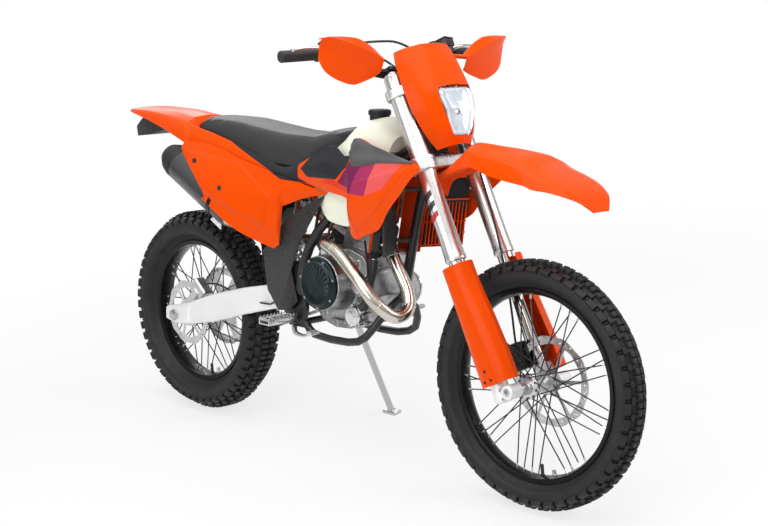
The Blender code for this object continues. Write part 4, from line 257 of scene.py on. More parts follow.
# %% A maker for finishes
class Finish:
    """A material with its shader and short ways to add texture."""

    def __init__(self, name, colour, roughness, metallic=0.0):
        self.material = bpy.data.materials.new(name)
        self.material.use_nodes = True
        self.nodes = self.material.node_tree.nodes
        self.links = self.material.node_tree.links
        self.shader = self.nodes["Principled BSDF"]
        self.colour = colour
        self.shader.inputs["Base Color"].default_value = (*colour, 1)
        self.shader.inputs["Roughness"].default_value = roughness
        self.shader.inputs["Metallic"].default_value = metallic
        self.place = self.nodes.new("ShaderNodeTexCoord").outputs["Object"]
        self.height = None

    def set(self, **values):
        for name, value in values.items():
            label = name.replace("_", " ").title().replace("Ior", "IOR")
            self.shader.inputs[label].default_value = value
        return self

    def noise(self, size, detail=3.0, stretch=None, place=None):
        """Noise whose grains are about the given size in metres."""
        tex = self.nodes.new("ShaderNodeTexNoise")
        tex.inputs["Scale"].default_value = 1.0 / size
        tex.inputs["Detail"].default_value = detail
        source = place or self.place
        if stretch:
            mapping = self.nodes.new("ShaderNodeMapping")
            mapping.inputs["Scale"].default_value = stretch
            self.links.new(source, mapping.inputs["Vector"])
            source = mapping.outputs["Vector"]
        self.links.new(source, tex.inputs["Vector"])
        return tex.outputs["Fac"]

    def ramp(self, value, low, high, start=0.0, end=1.0):
        """The value spread between two others."""
        node = self.nodes.new("ShaderNodeMapRange")
        for key, number in (("From Min", start), ("From Max", end), ("To Min", low),
                            ("To Max", high)):
            node.inputs[key].default_value = number
        self.links.new(value, node.inputs["Value"])
        return node.outputs["Result"]

    def mix(self, factor, first, second):
        """One colour where the factor is nought and another where it is one."""
        node = self.nodes.new("ShaderNodeMix")
        node.data_type = "RGBA"
        self.join(factor, node.inputs[0])
        self.join(first, node.inputs[6])
        self.join(second, node.inputs[7])
        return node.outputs[2]

    def join(self, value, socket):
        if isinstance(value, bpy.types.NodeSocket):
            self.links.new(value, socket)
        elif isinstance(value, (tuple, list)):
            socket.default_value = (*value, 1)
        else:
            socket.default_value = value

    def math(self, operation, first, second=0.0):
        node = self.nodes.new("ShaderNodeMath")
        node.operation = operation
        self.join(first, node.inputs[0])
        self.join(second, node.inputs[1])
        return node.outputs[0]

    def bump(self, value, depth, strength=1.0):
        """Raise the surface by a depth in metres where the value is one."""
        node = self.nodes.new("ShaderNodeBump")
        node.inputs["Distance"].default_value = depth
        node.inputs["Strength"].default_value = strength
        self.links.new(value, node.inputs["Height"])
        if self.height:
            self.links.new(self.height, node.inputs["Normal"])
        self.height = node.outputs["Normal"]
        self.links.new(self.height, self.shader.inputs["Normal"])
        return self

    def wander(self, size, spread, roughness):
        """Roughness that wanders either side of its value."""
        value = self.ramp(self.noise(size, 4.0), roughness - spread, roughness + spread, 0.3, 0.7)
        self.links.new(value, self.shader.inputs["Roughness"])
        return self

    def upright(self):
        """The place on the upright machine, in metres: ahead, left and up."""
        mapping = self.nodes.new("ShaderNodeMapping")
        back_up = STANCE.inverted()
        mapping.inputs["Location"].default_value = back_up.translation
        mapping.inputs["Rotation"].default_value = back_up.to_euler()
        self.links.new(self.place, mapping.inputs["Vector"])
        split = self.nodes.new("ShaderNodeSeparateXYZ")
        self.links.new(mapping.outputs["Vector"], split.inputs[0])
        return split.outputs

    def patch(self, corners, soft=0.0004):
        """One inside a convex outline of (ahead, up) in the side view, nought outside."""
        ahead, _, up = self.upright()
        mask = None
        for (x0, z0), (x1, z1) in zip(corners, corners[1:] + corners[:1]):
            away = math.hypot(x1 - x0, z1 - z0)
            nx, nz = (z1 - z0) / away, -(x1 - x0) / away
            reach = self.math("ADD", self.math("MULTIPLY", ahead, nx),
                              self.math("MULTIPLY", up, nz))
            inside = self.ramp(reach, 0.0, 1.0, x0 * nx + z0 * nz - soft, x0 * nx + z0 * nz + soft)
            mask = inside if mask is None else self.math("MINIMUM", mask, inside)
        return mask

    def tint(self, size, other, amount=1.0):
        """Patches of a second colour."""
        patches = self.ramp(self.noise(size, 5.0), 0.0, amount, 0.42, 0.68)
        self.links.new(self.mix(patches, self.colour, other), self.shader.inputs["Base Color"])
        return self


# %% [markdown]
# The finishes of this machine. Orange plastic is coloured through and moulded smooth, with a
# clear gloss; the black guards are moulded with a spark-eroded grain; castings are shot
# blasted; tubes are drawn, so their marks run round or along them.

# %% The machine's finishes
ORANGE = (0.93, 0.080, 0.0)


def grained(base, drift, grain, depth, **settings):
    """A finish (name, colour, roughness, metallic) with wandering roughness and a grain.

    The drift is (size, spread, middle), and the grain is (size, detail) with its depth.
    """
    finish = Finish(*base).set(**settings)
    return finish.wander(*drift).bump(finish.noise(*grain), depth)


def moulded_orange(name):
    """Gloss plastic, coloured through, with the faint ripple of its mould."""
    return grained((name, ORANGE, 0.24), (0.05, 0.04, 0.24), (0.0025,), 0.00003,
                   specular_ior_level=0.10)


orange_plastic = moulded_orange("orange_plastic")
orange_plastic.tint(0.22, (0.90, 0.068, 0.0), 0.5)

black_plastic = grained(("grained_black_plastic", (0.018, 0.018, 0.019), 0.55),
                        (0.03, 0.06, 0.55), (0.0012, 2.0), 0.00012, specular_ior_level=0.3)

scaled_plastic = Finish("scaled_guard_plastic", (0.020, 0.020, 0.021), 0.42)
cells = scaled_plastic.nodes.new("ShaderNodeTexVoronoi")
cells.inputs["Scale"].default_value = 1 / 0.0075
scaled_plastic.links.new(scaled_plastic.place, cells.inputs["Vector"])
scales = scaled_plastic.ramp(cells.outputs["Distance"], 1.0, 0.0, 0.1, 0.75)
scaled_plastic.links.new(scaled_plastic.mix(scales, (0.003, 0.003, 0.003), (0.021, 0.021, 0.022)),
                         scaled_plastic.shader.inputs["Base Color"])
scaled_plastic.bump(scales, 0.0009)

woven_grey = Finish("woven_grey_scoop", (0.072, 0.072, 0.075), 0.4)
threads = woven_grey.noise(0.0022, 2.0, (1.0, 3.0, 1.0))
woven_grey.links.new(woven_grey.mix(threads, (0.040, 0.040, 0.042), (0.115, 0.115, 0.118)),
                     woven_grey.shader.inputs["Base Color"])
woven_grey.bump(threads, 0.0006)

smooth_black = grained(("smooth_black_plastic", (0.012, 0.012, 0.013), 0.3),
                       (0.04, 0.05, 0.3), (0.004,), 0.00003)

tyre_rubber = grained(("tyre_rubber", (0.014, 0.014, 0.015), 0.58),
                      (0.02, 0.08, 0.56), (0.0016, 4.0), 0.00018, specular_ior_level=0.34)
tyre_rubber.tint(0.05, (0.024, 0.023, 0.022), 0.6)

grip_rubber = grained(("grip_rubber", (0.016, 0.016, 0.017), 0.62),
                      (0.01, 0.06, 0.62), (0.001,), 0.0001)

black_anodised = grained(("black_anodised", (0.014, 0.014, 0.015), 0.26, 0.7),
                         (0.02, 0.05, 0.27), (0.0008,), 0.00002)

powder_black = grained(("powder_coat_black", (0.013, 0.013, 0.014), 0.36),
                       (0.03, 0.06, 0.36), (0.0009, 2.0), 0.00006)

cast_alloy = grained(("shot_blasted_alloy", (0.94, 0.94, 0.945), 0.36, 0.30),
                     (0.03, 0.06, 0.42), (0.0011, 2.0), 0.00009)
cast_alloy.tint(0.09, (0.88, 0.88, 0.885), 0.6)

engine_alloy = grained(("engine_casting", (0.44, 0.44, 0.445), 0.33, 0.92),
                       (0.02, 0.08, 0.34), (0.0014, 4.0), 0.00018)
engine_alloy.tint(0.035, (0.22, 0.22, 0.225), 0.9)

anodised_tube = grained(("silver_anodised_tube", (0.66, 0.65, 0.64), 0.30, 1.0),
                        (0.02, 0.04, 0.30), (0.0006,), 0.00001)

machined_alloy = grained(("machined_alloy", (0.74, 0.74, 0.75), 0.28, 1.0),
                         (0.01, 0.05, 0.28), (0.0007,), 0.00003)

zinc_steel = grained(("zinc_steel", (0.52, 0.52, 0.53), 0.32, 1.0),
                     (0.008, 0.08, 0.32), (0.001,), 0.00003)

header_steel = grained(("polished_header", (0.64, 0.605, 0.55), 0.22, 1.0),
                       (0.02, 0.05, 0.20), (0.002,), 0.00003)
header_steel.tint(0.10, (0.46, 0.40, 0.31), 0.8)

dark_muffler = grained(("dark_grey_muffler", (0.085, 0.086, 0.09), 0.34, 0.75),
                       (0.03, 0.06, 0.34), (0.0009,), 0.00004)

tank_plastic = grained(("cream_tank", (0.95, 0.98, 0.80), 0.30),
                       (0.05, 0.05, 0.38), (0.003,), 0.00006, subsurface_weight=0.15,
                       subsurface_radius=(0.02, 0.014, 0.008))

disc_steel = grained(("ground_disc", (0.62, 0.62, 0.63), 0.27, 1.0),
                     (0.015, 0.06, 0.28), (0.0009,), 0.00002)

clutch_black = grained(("coated_cover", (0.006, 0.016, 0.018), 0.22, 0.55),
                       (0.02, 0.05, 0.22), (0.001,), 0.00003)

core_black = grained(("radiator_core", (0.01, 0.01, 0.011), 0.5, 0.4),
                     (0.01, 0.06, 0.5), (0.002,), 0.0002)

seat_side = grained(("seat_side_vinyl", (0.017, 0.017, 0.018), 0.48),
                    (0.04, 0.05, 0.48), (0.0018, 3.0), 0.0001)

clear_lens = Finish("clear_lens", (0.95, 0.97, 1.0), 0.04)
clear_lens.set(transmission_weight=1.0, ior=1.45)
clear_lens.wander(0.05, 0.01, 0.04)

NODE_FINISH = {
    "front_tyre": tyre_rubber, "rear_tyre": tyre_rubber,
    "front_rim_spokes_and_hub": black_anodised, "rear_rim_spokes_and_hub": black_anodised,
    "front_brake_disc": disc_steel, "rear_brake_disc": disc_steel, "rear_sprocket": machined_alloy,
    "front_axle": zinc_steel, "triple_clamps_and_stem": black_anodised,
    "front_caliper": black_anodised, "fork_leg_left": anodised_tube,
    "fork_leg_right": anodised_tube, "fork_guard_left": orange_plastic,
    "fork_guard_right": orange_plastic, "hand_guard_left": orange_plastic,
    "hand_guard_right": orange_plastic, "handlebar_with_grips": smooth_black,
    "headlight_mask": orange_plastic, "headlight": clear_lens, "front_fender": orange_plastic,
    "chain": zinc_steel, "swingarm": cast_alloy, "rear_axle": zinc_steel,
    "rear_caliper": black_anodised, "side_stand": zinc_steel, "clutch_cover": clutch_black,
    "engine_cases": engine_alloy, "cylinder_head": engine_alloy, "side_panel_left": orange_plastic,
    "side_panel_right": orange_plastic, "shroud_left": orange_plastic,
    "shroud_right": orange_plastic, "radiator_left": core_black, "radiator_right": core_black,
    "frame_guard_left": black_plastic, "frame_guard_right": black_plastic,
    "airbox_and_mud_flap": black_plastic, "fuel_tank": tank_plastic, "fuel_cap": black_plastic,
    "seat": seat_side, "subframe": cast_alloy, "rear_fender": orange_plastic,
    "tail_light_holder": black_plastic, "shock_absorber": machined_alloy,
    "main_frame": powder_black, "header_pipe": header_steel, "muffler": dark_muffler}
for name, finish in NODE_FINISH.items():
    mesh = NODES[name].data
    mesh.materials.clear()
    mesh.materials.append(finish.material)
print("finishes", len({finish.material.name for finish in NODE_FINISH.values()}))

# %% [markdown]
# Helpers. Most pieces are drawn as points on the upright machine, joined to a mesh, and then
# leaned into place.

# %% Turning a mesh into a piece
PIECES = {}
SIDES = ((-1, "right"), (1, "left"))
MERGE = 0.00001            # corners nearer than this are one


def angles(count, shift=0.0):
    """Even steps round a circle."""
    return [2 * math.pi * (k + shift) / count for k in range(count)]


def object_of(bm, name="work"):
    """A scene object that holds a drawing, which is used up."""
    mesh = bpy.data.meshes.new(name)
    bm.to_mesh(mesh)
    bm.free()
    obj = bpy.data.objects.new(name, mesh)
    bpy.context.scene.collection.objects.link(obj)
    return obj


def shown_by(obj):
    """The mesh that an object has after its modifiers."""
    bpy.context.view_layer.update()
    shown = obj.evaluated_get(bpy.context.evaluated_depsgraph_get())
    return bpy.data.meshes.new_from_object(shown)


def drawing_of(mesh, bm=None):
    """A mesh as a drawing, or added to one. The mesh is used up."""
    bm = bm or bmesh.new()
    bm.from_mesh(mesh)
    bpy.data.meshes.remove(mesh)
    return bm


def add(bm, drawing):
    """One drawing added to another, and used up."""
    mesh = bpy.data.meshes.new("work")
    drawing.to_mesh(mesh)
    drawing.free()
    return drawing_of(mesh, bm)


def mesh_piece(name, mesh, finish, body, replaces=(), sharp=35.0):
    """A mesh already in the row frame becomes a piece on a body."""
    mesh.name = name
    mesh.materials.clear()
    mesh.materials.append(finish.material)
    mesh.polygons.foreach_set("use_smooth", [True] * len(mesh.polygons))
    mesh.polygons.foreach_set("material_index", [0] * len(mesh.polygons))
    mesh.set_sharp_from_angle(angle=math.radians(sharp))
    obj = bpy.data.objects.new(name, mesh)
    bpy.context.scene.collection.objects.link(obj)
    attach(obj, body)
    if replaces:
        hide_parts(*replaces)
    PIECES[name] = obj
    return obj


def piece(name, bm, finish, body, replaces=(), place=STANCE, sharp=35.0):
    """A drawing on the upright machine becomes a piece on a body."""
    bmesh.ops.remove_doubles(bm, verts=bm.verts, dist=MERGE)
    bmesh.ops.recalc_face_normals(bm, faces=bm.faces)
    bm.transform(place)
    mesh = bpy.data.meshes.new(name)
    bm.to_mesh(mesh)
    bm.free()
    return mesh_piece(name, mesh, finish, body, replaces, sharp)


def fixed(name, bm, finish, replaces=(), sharp=35.0):
    """A piece on the leaning machine itself."""
    return piece(name, bm, finish, "motorcycle", replaces, STANCE, sharp)


def front(name, bm, finish, replaces=(), sharp=35.0):
    """A piece on the steered front end."""
    return piece(name, bm, finish, "front_end", replaces, STEERED, sharp)


def baked(bm, *modifiers):
    """The mesh that a drawing gives after modifiers, each a kind and its settings."""
    obj = object_of(bm)
    for kind, settings in modifiers:
        modifier = obj.modifiers.new("work", kind)
        for key, value in settings.items():
            setattr(modifier, key, value)
    result = shown_by(obj)
    bpy.data.objects.remove(obj)
    return drawing_of(result)


# %% [markdown]
# Curves through points. A panel is drawn from a few rows of places, and the surface between
# them comes from a spline that never swings past its points, so that a fine mesh has the same
# reach as the coarse solid below it. A place in `sharp` keeps its corner.

# %% Splines, tubes and turned shapes
def refine(points, fine=4, sharp=()):
    """More points on a smooth line through the given ones, without overshoot."""
    points = [Vector(p) for p in points]
    steps = [max((b - a).length, 1e-9) for a, b in zip(points, points[1:])]
    slopes = [(b - a) / step for a, b, step in zip(points, points[1:], steps)]
    count = len(points)

    def tangent(i, after):
        if i in (0, count - 1) or i in sharp:
            return slopes[min(i, count - 2)] if after else slopes[max(i - 1, 0)]
        first, second = slopes[i - 1], slopes[i]
        near, far = steps[i - 1], steps[i]
        result = []
        for a, b in zip(first, second):
            if a * b <= 0:
                result.append(0.0)
            else:
                w1, w2 = 2 * far + near, far + 2 * near
                result.append((w1 + w2) / (w1 / a + w2 / b))
        return Vector(result)

    line = []
    for i, step in enumerate(steps):
        start, end = points[i], points[i + 1]
        leave, arrive = tangent(i, True) * step, tangent(i + 1, False) * step
        for k in range(fine):
            t = k / fine
            line.append(start * (2 * t**3 - 3 * t**2 + 1) + leave * (t**3 - 2 * t**2 + t)
                        + end * (3 * t**2 - 2 * t**3) + arrive * (t**3 - t**2))
    line.append(points[-1])
    return line


def refine_grid(rows, fine, sharp_rows=(), sharp_columns=()):
    """Rows of points made fine both along each row and from row to row."""
    fine_rows, fine_columns = fine
    wide = [refine(row, fine_columns, sharp_columns) for row in rows]
    lines = [refine([row[j] for row in wide], fine_rows, sharp_rows) for j in range(len(wide[0]))]
    return [[line[i] for line in lines] for i in range(len(lines[0]))]


def surface(bm, rows):
    """Faces through rows of points."""
    grid = [[bm.verts.new(p) for p in row] for row in rows]
    for first, second in zip(grid, grid[1:]):
        for i in range(len(first) - 1):
            bm.faces.new((first[i], first[i + 1], second[i + 1], second[i]))
    return grid


def shell(rows, wall, rim=0.5):
    """A moulded sheet through fine rows, thickened inwards, with a rounded rim."""
    bm = bmesh.new()
    count, width = len(rows), len(rows[0])

    def clamp_row(i):
        return rows[min(max(i, 0), count - 1)]

    inner = []
    for i in range(count):
        row = []
        for j in range(width):
            along = clamp_row(i + 1)[j] - clamp_row(i - 1)[j]
            across_row = rows[i][min(j + 1, width - 1)] - rows[i][max(j - 1, 0)]
            row.append(rows[i][j] - across_row.cross(along).normalized() * wall)
        inner.append(row)
    top = surface(bm, rows)
    low = surface(bm, [row[::-1] for row in inner])
    low = [row[::-1] for row in low]
    edge = ([(0, j) for j in range(width)] + [(i, width - 1) for i in range(1, count)]
            + [(count - 1, j) for j in range(width - 2, -1, -1)]
            + [(i, 0) for i in range(count - 2, 0, -1)])
    middle = []
    for i, j in edge:
        near = rows[min(max(i, 1), count - 2)][min(max(j, 1), width - 2)]
        out = (rows[i][j] - near).normalized() * wall * rim
        middle.append(bm.verts.new((rows[i][j] + inner[i][j]) / 2 + out))
    for k, (i, j) in enumerate(edge):
        m = (k + 1) % len(edge)
        a, b = edge[m]
        bm.faces.new((top[i][j], middle[k], middle[m], top[a][b]))
        bm.faces.new((middle[k], low[i][j], low[a][b], middle[m]))
    return bm


def loft(sections, bm=None):
    """Closed sections joined to a solid, with a fan at each end."""
    bm = bm or bmesh.new()
    rings = [[bm.verts.new(p) for p in section] for section in sections]
    count = len(rings[0])
    for first, second in zip(rings, rings[1:]):
        for j in range(count):
            k = (j + 1) % count
            bm.faces.new((first[j], first[k], second[k], second[j]))
    for ring, back_to_front in ((rings[0], True), (rings[-1], False)):
        tip = bm.verts.new(sum((v.co for v in ring), Vector()) / count)
        for j in range(count):
            k = (j + 1) % count
            bm.faces.new((ring[k], ring[j], tip) if back_to_front else (ring[j], ring[k], tip))
    return bm


def frame_along(points):
    """Two directions square to a line at each of its points, without twist."""
    frames = []
    side = None
    for i, point in enumerate(points):
        ahead = (points[min(i + 1, len(points) - 1)] - points[max(i - 1, 0)]).normalized()
        if side is None:
            side = ahead.orthogonal().normalized()
        side = (side - ahead * side.dot(ahead)).normalized()
        frames.append((side, ahead.cross(side)))
    return frames


def tube(points, radius, sides=12, fine=5, bm=None, oval=1.0):
    """A round tube along a smooth line; the radius may change from place to place."""
    radii = radius if isinstance(radius, (list, tuple)) else [radius] * len(points)
    line = refine([(*p, r) for p, r in zip(points, radii)], fine)
    places = [Vector(p[:3]) for p in line]
    sections = []
    for place, (one, two), whole in zip(places, frame_along(places), line):
        sections.append([place + one * math.cos(a) * whole[3] + two * math.sin(a) * whole[3] * oval
                         for a in angles(sides)])
    return loft(sections, bm)


def turned(profile, centre, axis, steps=48, ring=False, bm=None):
    """A profile of (radius, along) turned round an axis; a ring closes on itself."""
    bm = bm or bmesh.new()
    axis = Vector(axis).normalized()
    one = axis.orthogonal().normalized()
    two = axis.cross(one)
    centre = Vector(centre)
    rings = []
    for angle in angles(steps):
        out = one * math.cos(angle) + two * math.sin(angle)
        rings.append([bm.verts.new(centre + out * r + axis * a) for r, a in profile])
    spans = len(profile) if ring else len(profile) - 1
    for k in range(steps):
        first, second = rings[k], rings[(k + 1) % steps]
        for j in range(spans):
            m = (j + 1) % len(profile)
            if profile[j][0] < 1e-6 and profile[m][0] < 1e-6:
                continue
            bm.faces.new((first[j], first[m], second[m], second[j]))
    for j, (r, _) in enumerate(profile):
        if r < 1e-6:
            bmesh.ops.remove_doubles(bm, verts=[whole[j] for whole in rings], dist=1e-6)
    loose = [f for f in bm.faces if f.calc_area() < 1e-14]
    bmesh.ops.delete(bm, geom=loose, context="FACES")
    return bm


def rounded_bar(start, end, radius, edge=0.15, sides=24, bm=None):
    """A round bar with its ends broken, from one point to another."""
    start, end = Vector(start), Vector(end)
    run = (end - start).length
    cut = radius * edge
    profile = [(0, 0), (radius - cut, 0), (radius, cut), (radius, run - cut), (radius - cut, run),
               (0, run)]
    return turned(profile, start, end - start, sides, bm=bm)


def brick(centre, half, bevel, turn=None, segments=2, taper=1.0, bm=None):
    """A block with rounded edges, turned about its middle."""
    block = bmesh.new()
    for vert in bmesh.ops.create_cube(block, size=2.0)["verts"]:
        shrink = taper if vert.co.z > 0 else 1.0
        vert.co = Vector((vert.co.x * half[0] * shrink, vert.co.y * half[1] * shrink,
                          vert.co.z * half[2]))
    if bevel:
        bmesh.ops.bevel(block, geom=block.edges[:], offset=bevel, segments=segments,
                        affect="EDGES", profile=0.5)
    block.transform(Matrix.Translation(Vector(centre)) @ (turn or Matrix.Identity(4)))
    return add(bm, block) if bm else block


def mixed(*drawings):
    """Several drawings in one."""
    whole = bmesh.new()
    for drawing in drawings:
        add(whole, drawing)
    return whole


# %% [markdown]
# Geometry Nodes for what repeats. The first tree turns one sector round an axle, which makes
# tread, spokes and teeth. The second sets a small part on every point of a mesh, with its Z
# along the attribute `facing` and its X along `along`, which makes screws and chain links.

# %% Two trees that repeat a part
def socket_of(tree, name):
    return next(item.identifier for item in tree.interface.items_tree if item.name == name)


def new_tree(name, inputs):
    """A geometry tree with its input and output, and the sockets that are asked for."""
    tree = bpy.data.node_groups.new(name, "GeometryNodeTree")
    tree.interface.new_socket("Geometry", in_out="INPUT", socket_type="NodeSocketGeometry")
    for label, kind in inputs:
        tree.interface.new_socket(label, in_out="INPUT", socket_type=kind)
    tree.interface.new_socket("Result", in_out="OUTPUT", socket_type="NodeSocketGeometry")
    return tree, tree.nodes.new("NodeGroupInput"), tree.nodes.new("NodeGroupOutput")


def close_tree(tree, source, given, instances):
    """Realize the instances and set their material."""
    real = tree.nodes.new("GeometryNodeRealizeInstances")
    paint = tree.nodes.new("GeometryNodeSetMaterial")
    tree.links.new(instances, real.inputs[0])
    tree.links.new(real.outputs[0], paint.inputs["Geometry"])
    tree.links.new(source.outputs["Material"], paint.inputs["Material"])
    tree.links.new(paint.outputs[0], given.inputs[0])


ROUND_TREE, source, given = new_tree("repeat_round_an_axle", (("Count", "NodeSocketInt"),
                                                              ("Material", "NodeSocketMaterial")))
line = ROUND_TREE.nodes.new("GeometryNodeMeshLine")
line.inputs["Offset"].default_value = (0, 0, 0)
index = ROUND_TREE.nodes.new("GeometryNodeInputIndex")
step = ROUND_TREE.nodes.new("ShaderNodeMath")
step.operation = "DIVIDE"
step.inputs[0].default_value = 2 * math.pi
angle = ROUND_TREE.nodes.new("ShaderNodeMath")
angle.operation = "MULTIPLY"
spin = ROUND_TREE.nodes.new("ShaderNodeCombineXYZ")
place_all = ROUND_TREE.nodes.new("GeometryNodeInstanceOnPoints")
for first, second in ((source.outputs["Count"], line.inputs["Count"]),
                      (source.outputs["Count"], step.inputs[1]),
                      (step.outputs[0], angle.inputs[0]), (index.outputs[0], angle.inputs[1]),
                      (angle.outputs[0], spin.inputs["Y"]),
                      (line.outputs[0], place_all.inputs["Points"]),
                      (source.outputs["Geometry"], place_all.inputs["Instance"]),
                      (spin.outputs[0], place_all.inputs["Rotation"])):
    ROUND_TREE.links.new(first, second)
close_tree(ROUND_TREE, source, given, place_all.outputs[0])

SET_TREE, source, given = new_tree("set_on_points", (("Part", "NodeSocketObject"),
                                                     ("Material", "NodeSocketMaterial")))
part_info = SET_TREE.nodes.new("GeometryNodeObjectInfo")
face_it = SET_TREE.nodes.new("FunctionNodeAlignRotationToVector")
face_it.axis = "Z"
run_it = SET_TREE.nodes.new("FunctionNodeAlignRotationToVector")
run_it.axis = "X"
run_it.pivot_axis = "Z"
place_all = SET_TREE.nodes.new("GeometryNodeInstanceOnPoints")
for label, turner in (("facing", face_it), ("along", run_it)):
    read = SET_TREE.nodes.new("GeometryNodeInputNamedAttribute")
    read.data_type = "FLOAT_VECTOR"
    read.inputs["Name"].default_value = label
    SET_TREE.links.new(read.outputs["Attribute"], turner.inputs["Vector"])
for first, second in ((source.outputs["Part"], part_info.inputs["Object"]),
                      (face_it.outputs[0], run_it.inputs["Rotation"]),
                      (run_it.outputs[0], place_all.inputs["Rotation"]),
                      (source.outputs["Geometry"], place_all.inputs["Points"]),
                      (part_info.outputs["Geometry"], place_all.inputs["Instance"])):
    SET_TREE.links.new(first, second)
close_tree(SET_TREE, source, given, place_all.outputs[0])


def grown_by(tree, bm, finish, **inputs):
    """The drawing that a tree grows from another drawing."""
    obj = object_of(bm)
    modifier = obj.modifiers.new("grow", "NODES")
    modifier.node_group = tree
    modifier[socket_of(tree, "Material")] = finish.material
    for label, value in inputs.items():
        modifier[socket_of(tree, label)] = value
    result = shown_by(obj)
    obj.modifiers.clear()
    bpy.data.objects.remove(obj)
    return drawing_of(result)


def round_axle(bm, count, finish):
    """One sector, drawn round the Y axis, repeated to a whole wheel."""
    return grown_by(ROUND_TREE, bm, finish, Count=count)


def set_out(template, places, finish):
    """A small part on every place: (point, facing, along)."""
    part_obj = object_of(template, "work_part")
    points = bmesh.new()
    facing = points.verts.layers.float_vector.new("facing")
    along = points.verts.layers.float_vector.new("along")
    for point, direction, run in places:
        vert = points.verts.new(point)
        vert[facing] = Vector(direction)
        vert[along] = Vector(run)
    result = grown_by(SET_TREE, points, finish, Part=part_obj)
    bpy.data.objects.remove(part_obj)
    return result


def screw_head(radius, tall, sides=18):
    """A domed screw with a six-sided socket, drawn on Z."""
    return turned([(0, tall * 0.45), (radius * 0.48, tall * 0.45), (radius * 0.52, tall),
                   (radius * 0.85, tall * 0.9), (radius, tall * 0.45), (radius, -tall)],
                  (0, 0, 0), (0, 0, 1), sides)


def screws(name, places, radius, tall, finish, body, place=STANCE):
    """Screws at (point, outward direction)."""
    spots = [(p, d, Vector(d).orthogonal()) for p, d in places]
    return piece(name, set_out(screw_head(radius, tall), spots, finish), finish, body,
                 place=place)


print("repeating trees", ROUND_TREE.name, SET_TREE.name)

# %% [markdown]
# Tyres. An enduro tyre is a smooth carcass with separate rubber blocks, tall enough to dig
# into soft ground: two columns in the middle, one between, and a long block on each shoulder.
# The carcass is turned from its section. One pitch of blocks is drawn on it and repeated round
# the axle by the first tree, which keeps every block the same, as a mould does.

# %% Tyres with separate blocks
BLOCK_TALL = 0.0105
BLOCK_SUNK = 0.0030
TREAD_SHARES = ((0.42, 0.90), (0.66, 0.86), (0.84, 0.55), (1.00, 0.19))
FLANGE_TALL = 0.007
RIM_WALL = 0.004


def carcass_line(radius, width, rim_radius, rim_width):
    """The tyre's section as (across, radius), from the left bead over the crown."""
    bead = rim_width / 2 - RIM_WALL - 0.0003
    flange = rim_radius + FLANGE_TALL + 0.0003
    tall = radius - BLOCK_TALL - flange
    half = [(bead, rim_radius + 0.0003), (bead, flange), (bead + 0.0035, flange + 0.004)]
    half += [(width / 2 * out, flange + tall * up) for up, out in TREAD_SHARES]
    points = half + [(-y, r) for y, r in reversed(half)]
    fine_line = refine([(y, r, 0) for y, r in points], 4, (0, 1, len(points) - 2))
    return [(p.x, p.y) for p in fine_line]


def carcass_place(line, offset):
    """(across, radius, tilt) at a distance from the crown's middle, along the section."""
    middle = min(range(len(line)), key=lambda i: abs(line[i][0]) + (line[i][1] < 0.2))
    walk, reached = abs(offset), 0.0
    step_by = -1 if offset > 0 else 1
    i = middle
    while 0 < i < len(line) - 1:
        a, b = Vector(line[i]), Vector(line[i + step_by])
        span = (b - a).length
        if reached + span >= walk:
            at = a + (b - a) * ((walk - reached) / max(span, 1e-9))
            tilt = math.atan2(abs(b.y - a.y), abs(b.x - a.x))
            return at.x, at.y, tilt * (1 if offset > 0 else -1)
        reached += span
        i += step_by
    return line[i][0], line[i][1], 0.0


def tread_block(bm, line, offset, turn_by, long, wide, tall, taper=0.88):
    """One rubber block, standing on the carcass at an angle round the axle."""
    y, r, tilt = carcass_place(line, offset)
    stand = (Matrix.Rotation(turn_by, 4, "Y") @ Matrix.Translation((0, y, r))
             @ Matrix.Rotation(-tilt, 4, "X")
             @ Matrix.Translation((0, 0, (tall - BLOCK_SUNK) / 2)))
    drawn = brick((0, 0, 0), (long / 2, wide / 2, (tall + BLOCK_SUNK) / 2), 0.0008, taper=taper)
    drawn.transform(stand)
    add(bm, drawn)


def build_tyre(name, axle, radius, width, rim, blocks, columns, body, place):
    """A tyre; columns are (offset, turn share, long, wide, tall) on the left side."""
    line = carcass_line(radius, width, *rim)
    carcass = turned([(r, y) for y, r in line], (0, 0, 0), (0, 1, 0), 144, ring=True)
    for up in (0.30, 0.36):
        y, r, _ = carcass_place(line, width * (0.5 + up))
        for side in (1, -1):
            ring = turned([(r + 0.0010, abs(y) - 0.001), (r, abs(y) + 0.0006),
                           (r - 0.0010, abs(y) - 0.001)], (0, 0, 0), (0, side, 0), 96, ring=True)
            carcass = mixed(carcass, ring)
    pitch = bmesh.new()
    for offset, share, long, wide, tall in columns:
        for side in (1, -1):
            tread_block(pitch, line, side * offset, 2 * math.pi * share / blocks, long, wide, tall)
    tread = round_axle(pitch, blocks, tyre_rubber)
    whole = mixed(carcass, tread)
    bmesh.ops.recalc_face_normals(whole, faces=whole.faces)
    whole.transform(Matrix.Translation(axle))
    made = piece(name, whole, tyre_rubber, body, (name.replace("knobbed_", ""),), place,
                 30)
    print(name, blocks, "pitches", len(made.data.polygons), "faces")


